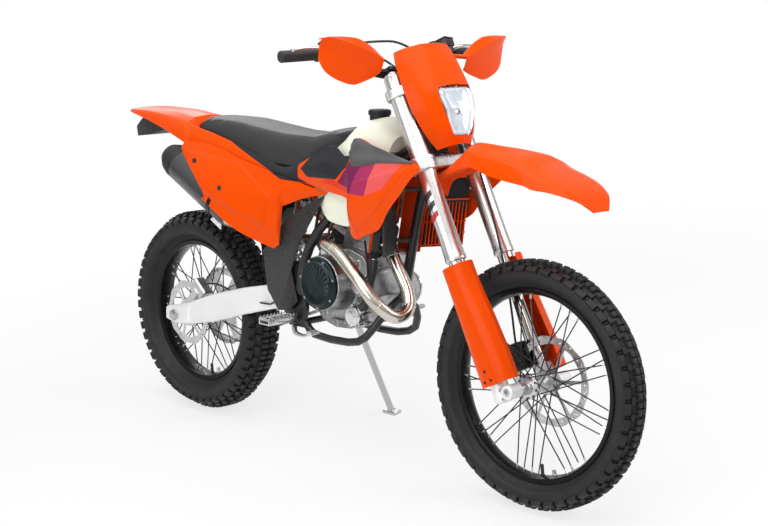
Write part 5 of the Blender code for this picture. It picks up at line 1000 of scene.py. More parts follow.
FRONT_AXLE = Vector((WHEELBASE, 0, FRONT_RADIUS))
REAR_AXLE = Vector((0, 0, REAR_RADIUS))
FRONT_RIM, REAR_RIM = (0.2675, 0.047), (0.2345, 0.062)     # radius at the bead, width
FRONT_WIDTH, REAR_WIDTH = 0.096, 0.142
FRONT_PITCHES, REAR_PITCHES = 48, 50
FRONT_TREAD = ((0.0085, -0.21, 0.0165, 0.0145, BLOCK_TALL),
               (0.0085, 0.21, 0.0165, 0.0145, BLOCK_TALL),
               (0.0245, 0.50, 0.0200, 0.0120, BLOCK_TALL * 0.95),
               (0.0405, 0.0, 0.0345, 0.0175, BLOCK_TALL),
               (0.0360, 0.50, 0.0060, 0.0100, BLOCK_TALL * 0.55))
REAR_TREAD = ((0.0130, -0.20, 0.0140, 0.0210, BLOCK_TALL),
              (0.0130, 0.22, 0.0140, 0.0210, BLOCK_TALL),
              (0.0360, 0.50, 0.0200, 0.0170, BLOCK_TALL * 0.95),
              (0.0590, 0.0, 0.0290, 0.0220, BLOCK_TALL),
              (0.0530, 0.50, 0.0060, 0.0110, BLOCK_TALL * 0.55))
build_tyre("knobbed_front_tyre", FRONT_AXLE, FRONT_RADIUS, FRONT_WIDTH, FRONT_RIM,
           FRONT_PITCHES, FRONT_TREAD, "front_wheel", STEERED)
build_tyre("knobbed_rear_tyre", REAR_AXLE, REAR_RADIUS, REAR_WIDTH, REAR_RIM,
           REAR_PITCHES, REAR_TREAD, "rear_wheel", STANCE)

# %% [markdown]
# Wire wheels. The rim is a rolled alloy hoop with a well in its middle, anodised black. Each
# of its 36 spokes is a drawn steel wire with a bent head in the hub's flange and a silver
# nipple at the rim, and its neighbour leans the other way. Four spokes make one sector, which
# is repeated nine times.

# %% Rims, hubs, spokes and nipples
spoke_steel = grained(("dark_spoke_wire", (0.055, 0.055, 0.058), 0.3, 0.9),
                      (0.01, 0.06, 0.3), (0.0006,), 0.00001)
hub_alloy = grained(("satin_hub_alloy", (0.62, 0.62, 0.635), 0.33, 0.95),
                    (0.012, 0.06, 0.33), (0.0009,), 0.00003)

SPOKE_RADIUS = 0.0019
SPOKE_SECTORS = 9
SPOKE_SWEEP = math.radians(52.0)
RIM_DEEP = 0.013


def rim_profile(rim_radius, rim_width):
    """A rim's section as (radius, across), with its well, hooks and rounded flanges."""
    half = rim_width / 2
    inner = rim_radius - RIM_DEEP
    top = rim_radius + FLANGE_TALL
    right = [(inner, 0.0), (inner, half * 0.38), (inner + RIM_DEEP * 0.22, half * 0.60),
             (inner + RIM_DEEP * 0.42, half * 0.90), (inner + RIM_DEEP * 0.75, half * 0.97),
             (top - 0.0015, half), (top, half - 0.0014), (top, half - RIM_WALL + 0.0008),
             (top - 0.0015, half - RIM_WALL), (rim_radius, half - RIM_WALL)]
    return right + [(r, -y) for r, y in reversed(right[1:])]


def spoke_ends(turn_share, lean, side, rim_inner, flange_radius, seat):
    """The head and the nipple end of one spoke, round the Y axis."""
    start = turn_share * 2 * math.pi / 18
    end = start + lean * SPOKE_SWEEP
    pass_by = lean * SPOKE_RADIUS * 1.1
    inner = flange_radius - SPOKE_RADIUS * 1.5
    head = Vector((inner * math.cos(start), side * seat + pass_by, inner * math.sin(start)))
    foot = Vector((rim_inner * math.cos(end), side * 0.0054 + pass_by, rim_inner * math.sin(end)))
    return head, foot


def build_wheel(label, axle, rim_radius, rim_width, hub_profile, flange_radius, seat, body, place,
                node):
    """A wire wheel in four pieces: rim, hub, spokes and nipples."""
    rim = turned(rim_profile(rim_radius, rim_width), axle, (0, 1, 0), 144, ring=True)
    piece(label + "_rim", rim, black_anodised, body, (node,), place, 40)
    hub = turned(hub_profile, axle, (0, 1, 0), 64)
    wires, nuts = bmesh.new(), bmesh.new()
    rim_inner = rim_radius - RIM_DEEP
    for side in (1, -1):
        for k in (0, 1):
            lean = 1 if k else -1
            head, foot = spoke_ends(k * 0.5 + 0.25 * side, lean, side, rim_inner, flange_radius,
                                    seat)
            run = (foot - head).normalized()
            hook = head - Vector((0, side * lean * 0.004, 0))
            tube([hook, head, head + run * 0.006, foot], SPOKE_RADIUS, 8, 3, wires)
            rounded_bar(foot - run * 0.013, foot + run * 0.003, 0.0031, 0.3, 6, nuts)
            rounded_bar(hook - Vector((0, side * lean * 0.0012, 0)), hook, SPOKE_RADIUS * 1.9,
                        0.3, 8, wires)
    wires = round_axle(wires, SPOKE_SECTORS, spoke_steel)
    nuts = round_axle(nuts, SPOKE_SECTORS, anodised_tube)
    for bm in (wires, nuts):
        bm.transform(Matrix.Translation(axle))
    piece(label + "_spokes", wires, spoke_steel, body, (), place)
    piece(label + "_spoke_nipples", nuts, anodised_tube, body, (), place)
    piece(label + "_hub", hub, hub_alloy, body, (), place)


def hub_outline(radius, right, left, flange_radius, seat, bore):
    """A waisted hub's section, from its left end to its right, closed through the bore."""
    lip = 0.0035
    return [(bore, left), (radius * 0.80, left), (radius * 0.84, left - 0.002),
            (radius * 0.84, seat + lip * 2), (flange_radius - 0.001, seat + lip),
            (flange_radius, seat + lip * 0.6), (flange_radius, seat - lip * 0.6),
            (flange_radius - 0.001, seat - lip), (radius * 0.95, seat - lip * 1.4),
            (radius * 0.80, seat * 0.35), (radius * 0.80, -seat * 0.35),
            (radius * 0.95, -seat + lip * 1.4), (flange_radius - 0.001, -seat + lip),
            (flange_radius, -seat + lip * 0.6), (flange_radius, -seat - lip * 0.6),
            (flange_radius - 0.001, -seat - lip), (radius * 0.84, -seat - lip * 2),
            (radius * 0.84, -right + 0.002), (radius * 0.80, -right), (bore, -right)]


SPROCKET_Y = 0.0870        # the chain's plane, left of the middle
SPROCKET_WALL = 0.0075
SPROCKET_FACE = SPROCKET_Y - SPROCKET_WALL / 2 - 0.0003
FRONT_HALF_HUB, REAR_HALF_HUB = 0.062, 0.075
FRONT_SEAT = 0.124 / 2 * 0.60
REAR_SEAT = 0.150 / 2 * 0.52
FRONT_FLANGE, REAR_FLANGE = 0.034, 0.047
FRONT_BORE, REAR_BORE = 0.0113, 0.0128

front_hub = hub_outline(0.024, FRONT_HALF_HUB, FRONT_HALF_HUB, FRONT_FLANGE, FRONT_SEAT,
                        FRONT_BORE)
build_wheel("front_wheel", FRONT_AXLE, *FRONT_RIM, front_hub + [(FRONT_BORE, FRONT_HALF_HUB)],
            FRONT_FLANGE, FRONT_SEAT, "front_wheel", STEERED, "front_rim_spokes_and_hub")
rear_hub = hub_outline(0.036, REAR_HALF_HUB, SPROCKET_FACE, REAR_FLANGE, REAR_SEAT, REAR_BORE)
build_wheel("rear_wheel", REAR_AXLE, *REAR_RIM, rear_hub + [(REAR_BORE, SPROCKET_FACE)],
            REAR_FLANGE, REAR_SEAT, "rear_wheel", STANCE, "rear_rim_spokes_and_hub")
print("wheels", [name for name in PIECES if "wheel" in name])

# %% [markdown]
# Moulded panels. Fenders, shrouds, side panels, shields and the lamp mask are injection
# moulded sheets about 3 mm thick. Each is a few rows of places taken from the frame's own
# drawing, made fine by the spline, thickened inwards and closed with a rounded rim.

# %% Places on the panels
def shares_of_box(box, along, up):
    x0, x1, z0, z1 = box
    return x0 + (x1 - x0) * along, z0 + (z1 - z0) * up


def panel_rows(shares, box, side, bulge):
    """Columns of a side panel, from its top edge to its bottom edge."""
    rows = []
    for along, top, bottom, out_top, out_bottom in shares:
        row = []
        for share, push in ((0.0, 0), (0.35, 1.0), (0.7, 0.8), (1.0, 0)):
            x, z = shares_of_box(box, along, top + (bottom - top) * share)
            out = out_top + (out_bottom - out_top) * share + push * (top - bottom) * bulge
            row.append(Vector((x, side * out, z)))
        rows.append(row if side < 0 else row[::-1])
    return rows


SHROUD_BOX = (0.640, 1.248, 0.717, 0.978)
SHROUD_SHARES = (
    (0.00, 0.72, 0.56, 0.128, 0.130), (0.14, 0.88, 0.49, 0.128, 0.138),
    (0.25, 0.98, 0.47, 0.126, 0.150), (0.36, 0.89, 0.45, 0.143, 0.156),
    (0.405, 0.90, 0.43, 0.146, 0.160), (0.425, 1.05, 0.42, 0.142, 0.162),
    (0.465, 1.11, 0.05, 0.143, 0.176), (0.50, 1.10, 0.00, 0.146, 0.178),
    (0.59, 1.04, 0.08, 0.153, 0.186), (0.68, 1.015, 0.16, 0.168, 0.192),
    (0.76, 0.99, 0.39, 0.182, 0.200), (0.86, 0.97, 0.61, 0.200, 0.210),
    (0.94, 0.95, 0.79, 0.214, 0.218), (1.00, 0.92, 0.88, 0.222, 0.222))
PANEL_BOX = (0.050, 0.772, 0.632, 0.935)
PANEL_SHARES = (
    (0.00, 0.90, 0.82, 0.135, 0.137), (0.04, 1.00, 0.74, 0.128, 0.150),
    (0.15, 1.00, 0.54, 0.126, 0.172), (0.27, 0.97, 0.38, 0.127, 0.178),
    (0.42, 0.88, 0.20, 0.130, 0.176), (0.54, 0.83, 0.09, 0.132, 0.160),
    (0.67, 0.77, 0.01, 0.134, 0.144), (0.705, 0.76, 0.06, 0.134, 0.142),
    (0.72, 0.76, 0.46, 0.134, 0.136), (0.87, 0.70, 0.58, 0.134, 0.134),
    (1.00, 0.66, 0.645, 0.134, 0.134))
REAR_FENDER_PLACES = (
    (-0.345, 0.050, 1.007, 0.006), (-0.300, 0.068, 1.014, 0.016), (-0.240, 0.080, 1.018, 0.027),
    (-0.100, 0.097, 1.017, 0.052), (0.030, 0.112, 1.006, 0.074), (0.060, 0.114, 0.962, 0.040),
    (0.130, 0.116, 0.944, 0.030), (0.250, 0.112, 0.930, 0.024))
FENDER_SHARES = ((0.00, 0.80), (0.11, 0.83), (0.27, 0.86), (0.34, 0.97), (0.41, 0.99),
                 (0.53, 0.88), (0.65, 0.77), (0.75, 0.66), (0.80, 0.55), (0.87, 0.42),
                 (0.94, 0.28), (0.98, 0.16), (1.00, 0.00))
FENDER_BOX = (-0.060, 0.462, 0.362, 0.690)
FENDER_WIDTHS = (0.40, 0.45, 0.50, 0.58, 0.66, 0.80, 0.92, 1.0, 1.0, 0.98, 0.86, 0.62, 0.30)
FENDER_DROPS = (0.20, 0.25, 0.30, 0.60, 0.80, 0.95, 1.0, 0.95, 0.80, 0.55, 0.35, 0.20, 0.02)
LOWER_CLAMP_SEAT = 0.6617
ARCH = ((-1, 1.0), (-0.86, 0.42), (-0.45, 0.10), (0, 0), (0.45, 0.10), (0.86, 0.42), (1, 1.0))


def shroud_rows(side):
    return refine_grid(panel_rows(SHROUD_SHARES, SHROUD_BOX, side, 0.03), (6, 8), (3, 4, 5, 6),
                       (1,) if side < 0 else (2,))


def side_panel_rows(side):
    return refine_grid(panel_rows(PANEL_SHARES, PANEL_BOX, side, 0.02), (6, 8), (6, 7, 8),
                       (1,) if side < 0 else (2,))


def rear_fender_rows():
    rows = [[Vector((x, half * across, top - fall * down))
             for across, down in ((-1, 1.0), (-0.88, 0.40), (-0.5, 0.06), (0, 0),
                                  (0.5, 0.06), (0.88, 0.40), (1, 1.0))]
            for x, half, top, fall in REAR_FENDER_PLACES]
    return refine_grid(rows, (8, 6), (4,), (2, 4))


def front_fender_rows():
    line = [shares_of_box(FENDER_BOX, along, up) for along, up in FENDER_SHARES]
    line[1] = (-0.0279, LOWER_CLAMP_SEAT)
    line[2] = (0.0465, LOWER_CLAMP_SEAT)
    rows = [[fork(lead, 0.112 * wide * across, rise - 0.085 * deep * fall)
             for across, fall in ARCH]
            for (lead, rise), wide, deep in zip(line, FENDER_WIDTHS, FENDER_DROPS)]
    return refine_grid(rows, (6, 6), (), (2, 4))


# %% Shrouds, side panels and fenders
def outermost(rows, x, z):
    """How far out a panel stands at a place in the side view."""
    near = min((p for row in rows for p in row), key=lambda p: (p.x - x) ** 2 + (p.z - z) ** 2)
    return near.y


PANEL_WALL = 0.0025
SCOOP_SEAM = ((0.897, 0.958), (0.912, 0.943), (0.933, 0.928), (1.019, 0.941), (1.101, 0.952),
              (1.181, 0.960), (1.214, 0.962))
SCOOP_TOP = ((0.893, 0.990), (0.903, 1.003), (0.925, 1.006), (0.986, 0.992), (1.060, 0.983),
             (1.141, 0.974), (1.212, 0.967))

charcoal = (0.030, 0.031, 0.036)
plum = (0.19, 0.018, 0.085)
rose = (0.86, 0.115, 0.11)
shroud_plastic = moulded_orange("shroud_plastic_with_bands")
bands = (
    (((0.655, 0.895), (0.700, 0.940), (0.775, 0.985), (0.905, 0.985), (0.905, 0.935),
      (0.840, 0.880), (0.690, 0.872)), charcoal),
    (((0.845, 0.868), (0.915, 0.945), (0.975, 0.945), (0.930, 0.850)), plum),
    (((0.930, 0.850), (0.975, 0.945), (1.030, 0.945), (1.000, 0.850)), (0.42, 0.035, 0.12)),
    (((1.000, 0.850), (1.030, 0.948), (1.165, 0.958), (1.085, 0.880)), rose),
    (((0.760, 0.868), (0.815, 0.880), (0.900, 0.862), (0.890, 0.850)), (0.80, 0.045, 0.012)))
colour = ORANGE
for corners, tone in bands:
    colour = shroud_plastic.mix(shroud_plastic.patch(list(corners)), colour, tone)
shroud_plastic.links.new(colour, shroud_plastic.shader.inputs["Base Color"])

panel_plastic = moulded_orange("side_panel_plastic_with_wedge")
wedge = panel_plastic.patch([(0.300, 0.945), (0.340, 0.965), (0.700, 0.940), (0.700, 0.850),
                             (0.560, 0.853)])
colour = panel_plastic.mix(wedge, ORANGE, charcoal)
panel_plastic.links.new(colour, panel_plastic.shader.inputs["Base Color"])
field = panel_plastic.patch([(0.085, 0.845), (0.120, 0.905), (0.360, 0.885), (0.520, 0.800),
                             (0.500, 0.700), (0.300, 0.760)], 0.004)
panel_plastic.bump(field, 0.0035)
field = shroud_plastic.patch([(0.960, 0.740), (0.925, 0.800), (0.935, 0.880), (1.100, 0.930),
                              (1.180, 0.940), (1.040, 0.800)], 0.004)
shroud_plastic.bump(field, 0.0030)

for side, label in SIDES:
    rows = shroud_rows(side)
    fixed("radiator_shroud_" + label, shell(rows, PANEL_WALL), shroud_plastic,
          ("shroud_" + label,))
    insert = []
    for (x, z), (x2, z2) in zip(SCOOP_SEAM, SCOOP_TOP):
        line = []
        for share in (0.0, 0.12, 0.5, 0.88, 1.0):
            at = (x + (x2 - x) * share, z + (z2 - z) * share)
            proud = 0.0012 if share in (0.0, 1.0) else 0.0042
            line.append(Vector((at[0], outermost(rows, *at) + side * proud, at[1])))
        insert.append(line[::-1] if side < 0 else line)
    fixed("shroud_scoop_" + label, shell(refine_grid(insert, (5, 3)), PANEL_WALL), woven_grey)
    rows = side_panel_rows(side)
    fixed("moulded_side_panel_" + label, shell(rows, PANEL_WALL), panel_plastic,
          ("side_panel_" + label,))
fixed("rear_fender_sheet", shell(rear_fender_rows(), 0.003), orange_plastic,
      ("rear_fender",))
front("front_fender_sheet", shell(front_fender_rows(), 0.003), orange_plastic,
      ("front_fender",))

# %% [markdown]
# The steered plastics: two fork guards wrapped round the sliders, two hand shields with a
# crease towards their outer corner, and the lamp mask. Its opening is cut with the lamp's own
# outline, a rounded trapezoid, drawn a little larger.

# %% Fork guards, hand guards and the lamp mask
def carve(bm, cutter):
    """A drawing less another, by an exact Boolean."""
    bmesh.ops.recalc_face_normals(cutter, faces=cutter.faces)
    tool = object_of(cutter, "cutter")
    bmesh.ops.recalc_face_normals(bm, faces=bm.faces)
    result = baked(bm, ("BOOLEAN", {"operation": "DIFFERENCE", "solver": "EXACT", "object": tool}))
    bpy.data.objects.remove(tool)
    return result


def fork_guard_rows(side):
    rows = []
    for up, size in ((0.0, 1.0), (0.16, 1.0), (0.5, 0.92), (0.82, 0.80), (1.0, 0.78)):
        rise = 0.034 + 0.346 * up
        row = []
        for lead_share, out_share in ((0.0, 0.9), (0.25, 1.25), (0.6, 1.25), (0.86, 0.9),
                                      (1.0, 0.25), (0.97, -0.35)):
            row.append(fork(-0.012 + 0.103 * size * lead_share,
                            side * (0.105 + 0.0305 * out_share), rise))
        rows.append(row if side > 0 else row[::-1])
    return refine_grid(rows, (10, 5), (), (2, 4) if side > 0 else (1, 3))


HAND_GUARD_SHARES = (
    (0.00, 0.00, 0.20, 0.24, 0.42, 0.55), (0.10, 0.00, 0.13, 0.20, 0.48, 0.66),
    (0.28, 0.02, 0.05, 0.26, 0.60, 0.82), (0.46, 0.08, 0.00, 0.36, 0.70, 0.92),
    (0.72, 0.20, 0.12, 0.56, 0.84, 0.97), (0.93, 0.38, 0.36, 0.76, 0.94, 1.00),
    (1.00, 0.50, 0.58, 0.84, 0.95, 0.99))


def hand_guard_place(side, across, back_share, up, bulge=0.0):
    rise = 0.932 + 0.124 * up
    lead = 0.064 * (1 - back_share) + 0.5 * (rise - 0.994) + bulge
    return fork(lead, side * (0.178 + 0.214 * across), rise)


def hand_guard_rows(side):
    rows = []
    for across, back_share, *heights in HAND_GUARD_SHARES:
        row = [hand_guard_place(side, across, back_share, up, bulge)
               for up, bulge in zip(heights, (0, 0.006, 0.018, 0))]
        rows.append(row[::-1] if side > 0 else row)
    return refine_grid(rows, (6, 6), (), (1, 2))


MASK_LEVELS = ((1.00, 0.92, 0.70), (0.86, 1.00, 0.82), (0.62, 1.02, 0.95), (0.48, 1.00, 1.00),
               (0.26, 0.88, 0.85), (0.10, 0.72, 0.66), (0.0, 0.55, 0.45))


def mask_rows():
    rows = []
    for up, wide, ahead in MASK_LEVELS:
        rows.append([fork(0.057 + 0.093 * lead * ahead, 0.118 * wide * across, 0.712 + 0.298 * up)
                     for across, lead in ((-1.0, 0.0), (-0.86, 0.42), (-0.5, 0.86), (0, 0.95),
                                          (0.5, 0.86), (0.86, 0.42), (1.0, 0.0))])
    return refine_grid(rows, (6, 6), (2,), (2, 4))


FORK_TURN = Matrix.Rotation(-RAKE, 4, "Y")
LAMP_LOW, LAMP_HIGH = 0.752, 0.858
LAMP_MIDDLE = (LAMP_LOW + LAMP_HIGH) / 2
for side, label in SIDES:
    front("wrapped_fork_guard_" + label, shell(fork_guard_rows(side), PANEL_WALL), orange_plastic,
          ("fork_guard_" + label,))
    guard = shell(hand_guard_rows(side), PANEL_WALL)
    stay_end = hand_guard_place(side, 0.16, 0, 0.43, 0.010)
    bar_end = fork(-0.060, side * 0.235, 1.054)
    stay = tube([bar_end, (bar_end + stay_end) / 2 + Vector((0.004, 0, 0)), stay_end], 0.0068, 12)
    front("creased_hand_guard_" + label, mixed(guard, stay), orange_plastic,
          ("hand_guard_" + label,), sharp=25)
LAMP_LINE = ((0, 0.0640), (0.050, 0.0635), (0.0645, 0.0590), (0.0665, 0.046), (0.0610, 0.008),
             (0.0510, -0.032), (0.0400, -0.062), (0.0320, -0.0695), (0, -0.0710))
half_line = [(p.x, p.y) for p in refine([(a, b, 0) for a, b in LAMP_LINE], 4)]
LAMP_LOOP = half_line[:-1] + [(-a, b) for a, b in half_line[:0:-1]]


def lamp_ring(lead, size, rounder=0.0, radius=0.021, flute=0.0):
    """The lamp's outline across the fork; it can shrink and turn into a circle."""
    ring = []
    for k, (out, up) in enumerate(LAMP_LOOP):
        a = math.atan2(up, out)
        side = out * size * (1 - rounder) + radius * math.cos(a) * rounder
        rise = up * size * (1 - rounder) + radius * math.sin(a) * rounder
        back_step = flute if (k // 2) % 2 else 0.0
        ring.append(fork(lead - back_step + min(rise, 0) * 0.36, side, LAMP_MIDDLE + rise))
    return ring


opening = loft([lamp_ring(0.06, 1.05), lamp_ring(0.26, 1.05)])
front("lamp_mask", carve(shell(mask_rows(), 0.003), opening), orange_plastic,
      ("headlight_mask",))
print("panels",
      [name for name in PIECES if "panel" in name or "guard" in name or "fender" in name])

# %% [markdown]
# Tank and seat. The tank is moulded in natural plastic, so it is a smooth closed form with a
# tunnel under it for the frame. The seat is foam under vinyl: a cloth simulation swells its
# form a little. Its cover is grained and lighter on the sides, darker and smoother on top.

# %% Tank
TANK_BOX = (0.620, 0.985, 0.738, 1.058)
TANK_SHARES = (
    (0.00, 0.60, 0.50, 0.47), (0.20, 0.66, 0.80, 0.22), (0.42, 0.80, 0.96, 0.02),
    (0.62, 0.97, 1.00, 0.00), (0.80, 1.00, 0.95, 0.10), (0.93, 0.92, 0.80, 0.34),
    (1.00, 0.86, 0.66, 0.45))
TANK_RING = ((0.0, 1.0), (0.42, 0.96), (0.78, 0.80), (0.97, 0.52), (1.0, 0.25), (0.94, 0.0))
SEAT_BOX = (0.045, 0.812, 0.868, 1.030)
SEAT_SHARES = (
    (0.00, 0.80, 0.50, 0.62), (0.08, 0.88, 0.74, 0.50), (0.24, 0.88, 0.92, 0.38),
    (0.44, 0.80, 0.98, 0.24), (0.62, 0.74, 1.02, 0.10), (0.76, 0.74, 1.00, 0.10),
    (0.88, 0.88, 0.86, 0.40), (0.97, 0.98, 0.60, 0.70), (1.00, 0.98, 0.45, 0.84))
SEAT_RING = ((0.0, 1.0), (0.55, 0.98), (0.85, 0.86), (1.0, 0.5), (1.03, 0.0))


def closed_loft(shares, box, half, ring, fine, shrink=0.0):
    """A closed form through half sections that are mirrored and made fine."""
    rows = []
    for along, top, wide, low in shares:
        x, z_top = shares_of_box(box, along, top)
        _, z_low = shares_of_box(box, along, low)
        right = [Vector((x, -max(half * wide * a - shrink * (a > 0), 0),
                         z_low + shrink + (z_top - z_low - 2 * shrink) * b)) for a, b in ring]
        left = [Vector((p.x, -p.y, p.z)) for p in right[:0:-1]]
        rows.append(left + right)
    grid = refine_grid(rows, fine)
    closed = []
    for row in grid:
        floor_line = [row[-1] + (row[0] - row[-1]) * k / 8 for k in range(1, 8)]
        closed.append(row + floor_line)
    return loft(closed)


tank = closed_loft(TANK_SHARES, TANK_BOX, 0.135, TANK_RING, (8, 6))
tunnel = bmesh.new()
outline = [shares_of_box(TANK_BOX, a, u) for a, u in
           ((-0.05, -0.05), (1.05, -0.05), (1.05, 0.72), (0.62, 0.62), (-0.05, 0.40))]
ends = [[tunnel.verts.new((x, y, z)) for x, z in outline] for y in (-0.106, 0.106)]
tunnel.faces.new(ends[0])
tunnel.faces.new(ends[1][::-1])
for k in range(len(outline)):
    m = (k + 1) % len(outline)
    tunnel.faces.new((ends[0][k], ends[0][m], ends[1][m], ends[1][k]))
fixed("moulded_tank", carve(tank, tunnel), tank_plastic, ("fuel_tank",))

# %% Seat
seat_cover = Finish("grip_vinyl_with_smooth_top", (0.030, 0.030, 0.031), 0.55)
seat_cover.set(specular_ior_level=0.2)
_, across_seat, _ = seat_cover.upright()
top_share = seat_cover.ramp(seat_cover.math("ABSOLUTE", across_seat), 1.0, 0.0, 0.0735, 0.0745)
weave = seat_cover.noise(0.0016, 2.0)
seat_cover.links.new(seat_cover.mix(top_share, (0.040, 0.040, 0.041), (0.013, 0.013, 0.014)),
                     seat_cover.shader.inputs["Base Color"])
seat_cover.links.new(seat_cover.ramp(top_share, 0.62, 0.40), seat_cover.shader.inputs["Roughness"])
seat_cover.bump(weave, 0.00022).bump(top_share, 0.0006)

pad = closed_loft(SEAT_SHARES, SEAT_BOX, 0.118, SEAT_RING, (6, 5), 0.004)
bmesh.ops.recalc_face_normals(pad, faces=pad.faces)
pad.transform(STANCE)
pad_obj = object_of(pad, "seat_pad")
PAD_VOXEL = 0.006
PAD_MOVE = 0.006           # how far the cloth may leave the solid
PAD_PRESSURE = 4.0
PAD_STEPS = 20
remesh = pad_obj.modifiers.new("remesh", "REMESH")
remesh.mode = "VOXEL"
remesh.voxel_size = PAD_VOXEL
flat_mesh = shown_by(pad_obj)
pad_obj.modifiers.clear()
pad_obj.data = flat_mesh
start_places = [v.co.copy() for v in flat_mesh.vertices]
cloth = pad_obj.modifiers.new("cloth", "CLOTH")
cloth.settings.use_pressure = True
cloth.settings.uniform_pressure_force = PAD_PRESSURE
cloth.settings.effector_weights.gravity = 0.0
cloth.settings.quality = 6
for number in range(1, PAD_STEPS + 1):
    bpy.context.scene.frame_set(number)
swollen = shown_by(pad_obj)
pad_obj.modifiers.clear()
bpy.context.scene.frame_set(1)
for vert, start in zip(swollen.vertices, start_places):
    move = vert.co - start
    if move.length > PAD_MOVE:
        vert.co = start + move.normalized() * PAD_MOVE
pad_obj.data = swollen
soft = bmesh.new()
soft.from_mesh(pad_obj.data)
bpy.data.objects.remove(pad_obj)
for _ in range(3):
    bmesh.ops.smooth_vert(soft, verts=soft.verts, factor=0.5, use_axis_x=True, use_axis_y=True,
                          use_axis_z=True)
soft = baked(soft, ("SUBSURF", {"levels": 1, "render_levels": 1}), ("DECIMATE", {"ratio": 0.5}))
seat = piece("padded_seat", soft, seat_cover, "motorcycle", ("seat",), Matrix.Identity(4),
             60)
print("seat", len(seat.data.polygons), "faces")

# %% [markdown]
# The strip between seat and side panel. On the real machine the panel's upper wing tucks under
# the seat's edge and runs forward to the shroud, so no frame shows between them. It is a
# narrow sheet, orange with a charcoal wedge.

# %% Upper wings of the side panels
WING = ((0.085, 0.930, 0.984, 0.126), (0.200, 0.930, 0.966, 0.127), (0.300, 0.915, 0.946, 0.128),
        (0.385, 0.895, 0.929, 0.129), (0.470, 0.878, 0.906, 0.130), (0.554, 0.868, 0.889, 0.131),
        (0.620, 0.858, 0.906, 0.131), (0.690, 0.856, 0.934, 0.131))
for side, label in SIDES:
    rows = []
    for x, low, high, out in WING:
        row = [Vector((x, side * (out - tuck), high + (low - 0.008 - high) * share))
               for share, tuck in ((0.0, 0.016), (0.3, 0.008), (0.7, 0.003), (1.0, 0.004))]
        rows.append(row if side < 0 else row[::-1])
    fixed("panel_wing_" + label, shell(refine_grid(rows, (6, 3)), PANEL_WALL), panel_plastic)

# %% [markdown]
# Castings. Cases, clamps, calipers and the swingarm are cast or forged, so every inner corner
# has a fillet. A voxel remesh gives that at once: the coarse solid and whatever ribs and bosses
# are added to it melt into one skin, and a few rounds of smoothing round the corners.

# %% Castings from the frame's solids
def solid_of(*names):
    """A drawing of frame nodes, merged to closed shells, still in the row frame."""
    bm = bmesh.new()
    for name in names:
        bm.from_mesh(NODES[name].data)
    bmesh.ops.remove_doubles(bm, verts=bm.verts, dist=0.00002)
    return bm


KEPT_SHARE = 0.33          # of the remesh's triangles, where flat faces need few


def melted(bm, voxel, rounds, kept=KEPT_SHARE):
    """Overlapping closed forms as one skin with filleted corners."""
    return baked(bm, ("REMESH", {"mode": "VOXEL", "voxel_size": voxel}),
                 ("SMOOTH", {"factor": 0.5, "iterations": rounds}), ("DECIMATE", {"ratio": kept}))


def cast(name, node, voxel, rounds, finish, body, extra=None, place=STANCE):
    """One skin over a node and the drawings added to it, with its corners rounded."""
    whole = solid_of(node)
    if extra:
        bmesh.ops.recalc_face_normals(extra, faces=extra.faces)
        extra.transform(place)
        whole = mixed(whole, extra)
    return piece(name, melted(whole, voxel, rounds), finish, body, (node,),
                 Matrix.Identity(4), 60)


def dressed(name, node, width, finish, body):
    """A node's own form with its edges broken."""
    bm = solid_of(node)
    bmesh.ops.dissolve_limit(bm, angle_limit=math.radians(0.5), verts=bm.verts, edges=bm.edges)
    bm = baked(bm, ("BEVEL", {"width": width, "segments": 2, "limit_method": "ANGLE",
                              "angle_limit": math.radians(34), "use_clamp_overlap": True}))
    return piece(name, bm, finish, body, (node,), Matrix.Identity(4), 34)


RIGHT, LEFT = Vector((0, -1, 0)), Vector((0, 1, 0))
CASE_FACE = 0.090
CASE_RIBS = ((0.880, 0.500, 0.050, -60), (0.905, 0.470, 0.040, -40), (0.840, 0.452, 0.050, 5),
             (0.780, 0.442, 0.050, 0), (0.860, 0.600, 0.045, -75), (0.835, 0.632, 0.035, 20))
cases_extra = bmesh.new()
for x, z, long, turn_by in CASE_RIBS:
    turn = Matrix.Rotation(math.radians(turn_by), 4, "Y")
    brick((x, -CASE_FACE - 0.006, z), (long / 2, 0.010, 0.0022), 0, turn, bm=cases_extra)
    brick((x - 0.02, CASE_FACE + 0.004, z), (long / 2, 0.008, 0.0022), 0, turn, bm=cases_extra)
CASE_SCREWS = ((0.872, 0.505), (0.908, 0.488), (0.902, 0.446), (0.866, 0.432), (0.838, 0.450),
               (0.812, 0.436), (0.762, 0.434), (0.716, 0.452), (0.900, 0.540), (0.893, 0.585),
               (0.862, 0.628), (0.706, 0.640), (0.800, 0.655))
for x, z in CASE_SCREWS:
    for side in (1, -1):
        rounded_bar((x, side * (CASE_FACE - 0.02), z), (x, side * (CASE_FACE + 0.006), z), 0.0062,
                    0.2, 14, cases_extra)
cast("cast_engine_cases", "engine_cases", 0.0026, 3, engine_alloy, "motorcycle",
     cases_extra)
screws("engine_case_screws",
       [(Vector((x, side * (CASE_FACE + 0.0065), z)), Vector((0, side, 0)))
        for x, z in CASE_SCREWS for side in (1, -1)],
       0.0046, 0.0035, zinc_steel, "motorcycle")
cast("cast_swingarm", "swingarm", 0.0032, 3, cast_alloy, "motorcycle")
cast("welded_main_frame", "main_frame", 0.0034, 3, powder_black, "motorcycle")
cast("welded_subframe", "subframe", 0.0030, 2, cast_alloy, "motorcycle")
cast("forged_triple_clamps", "triple_clamps_and_stem", 0.0018, 3, machined_alloy, "front_end")
cast("cast_front_caliper", "front_caliper", 0.0011, 3, black_anodised, "front_end")
cast("cast_rear_caliper", "rear_caliper", 0.0011, 3, hub_alloy, "motorcycle")
cast("forged_side_stand", "side_stand", 0.0014, 3, zinc_steel, "side_stand_arm")
cast("moulded_airbox_and_flap", "airbox_and_mud_flap", 0.0018, 2, black_plastic, "motorcycle")
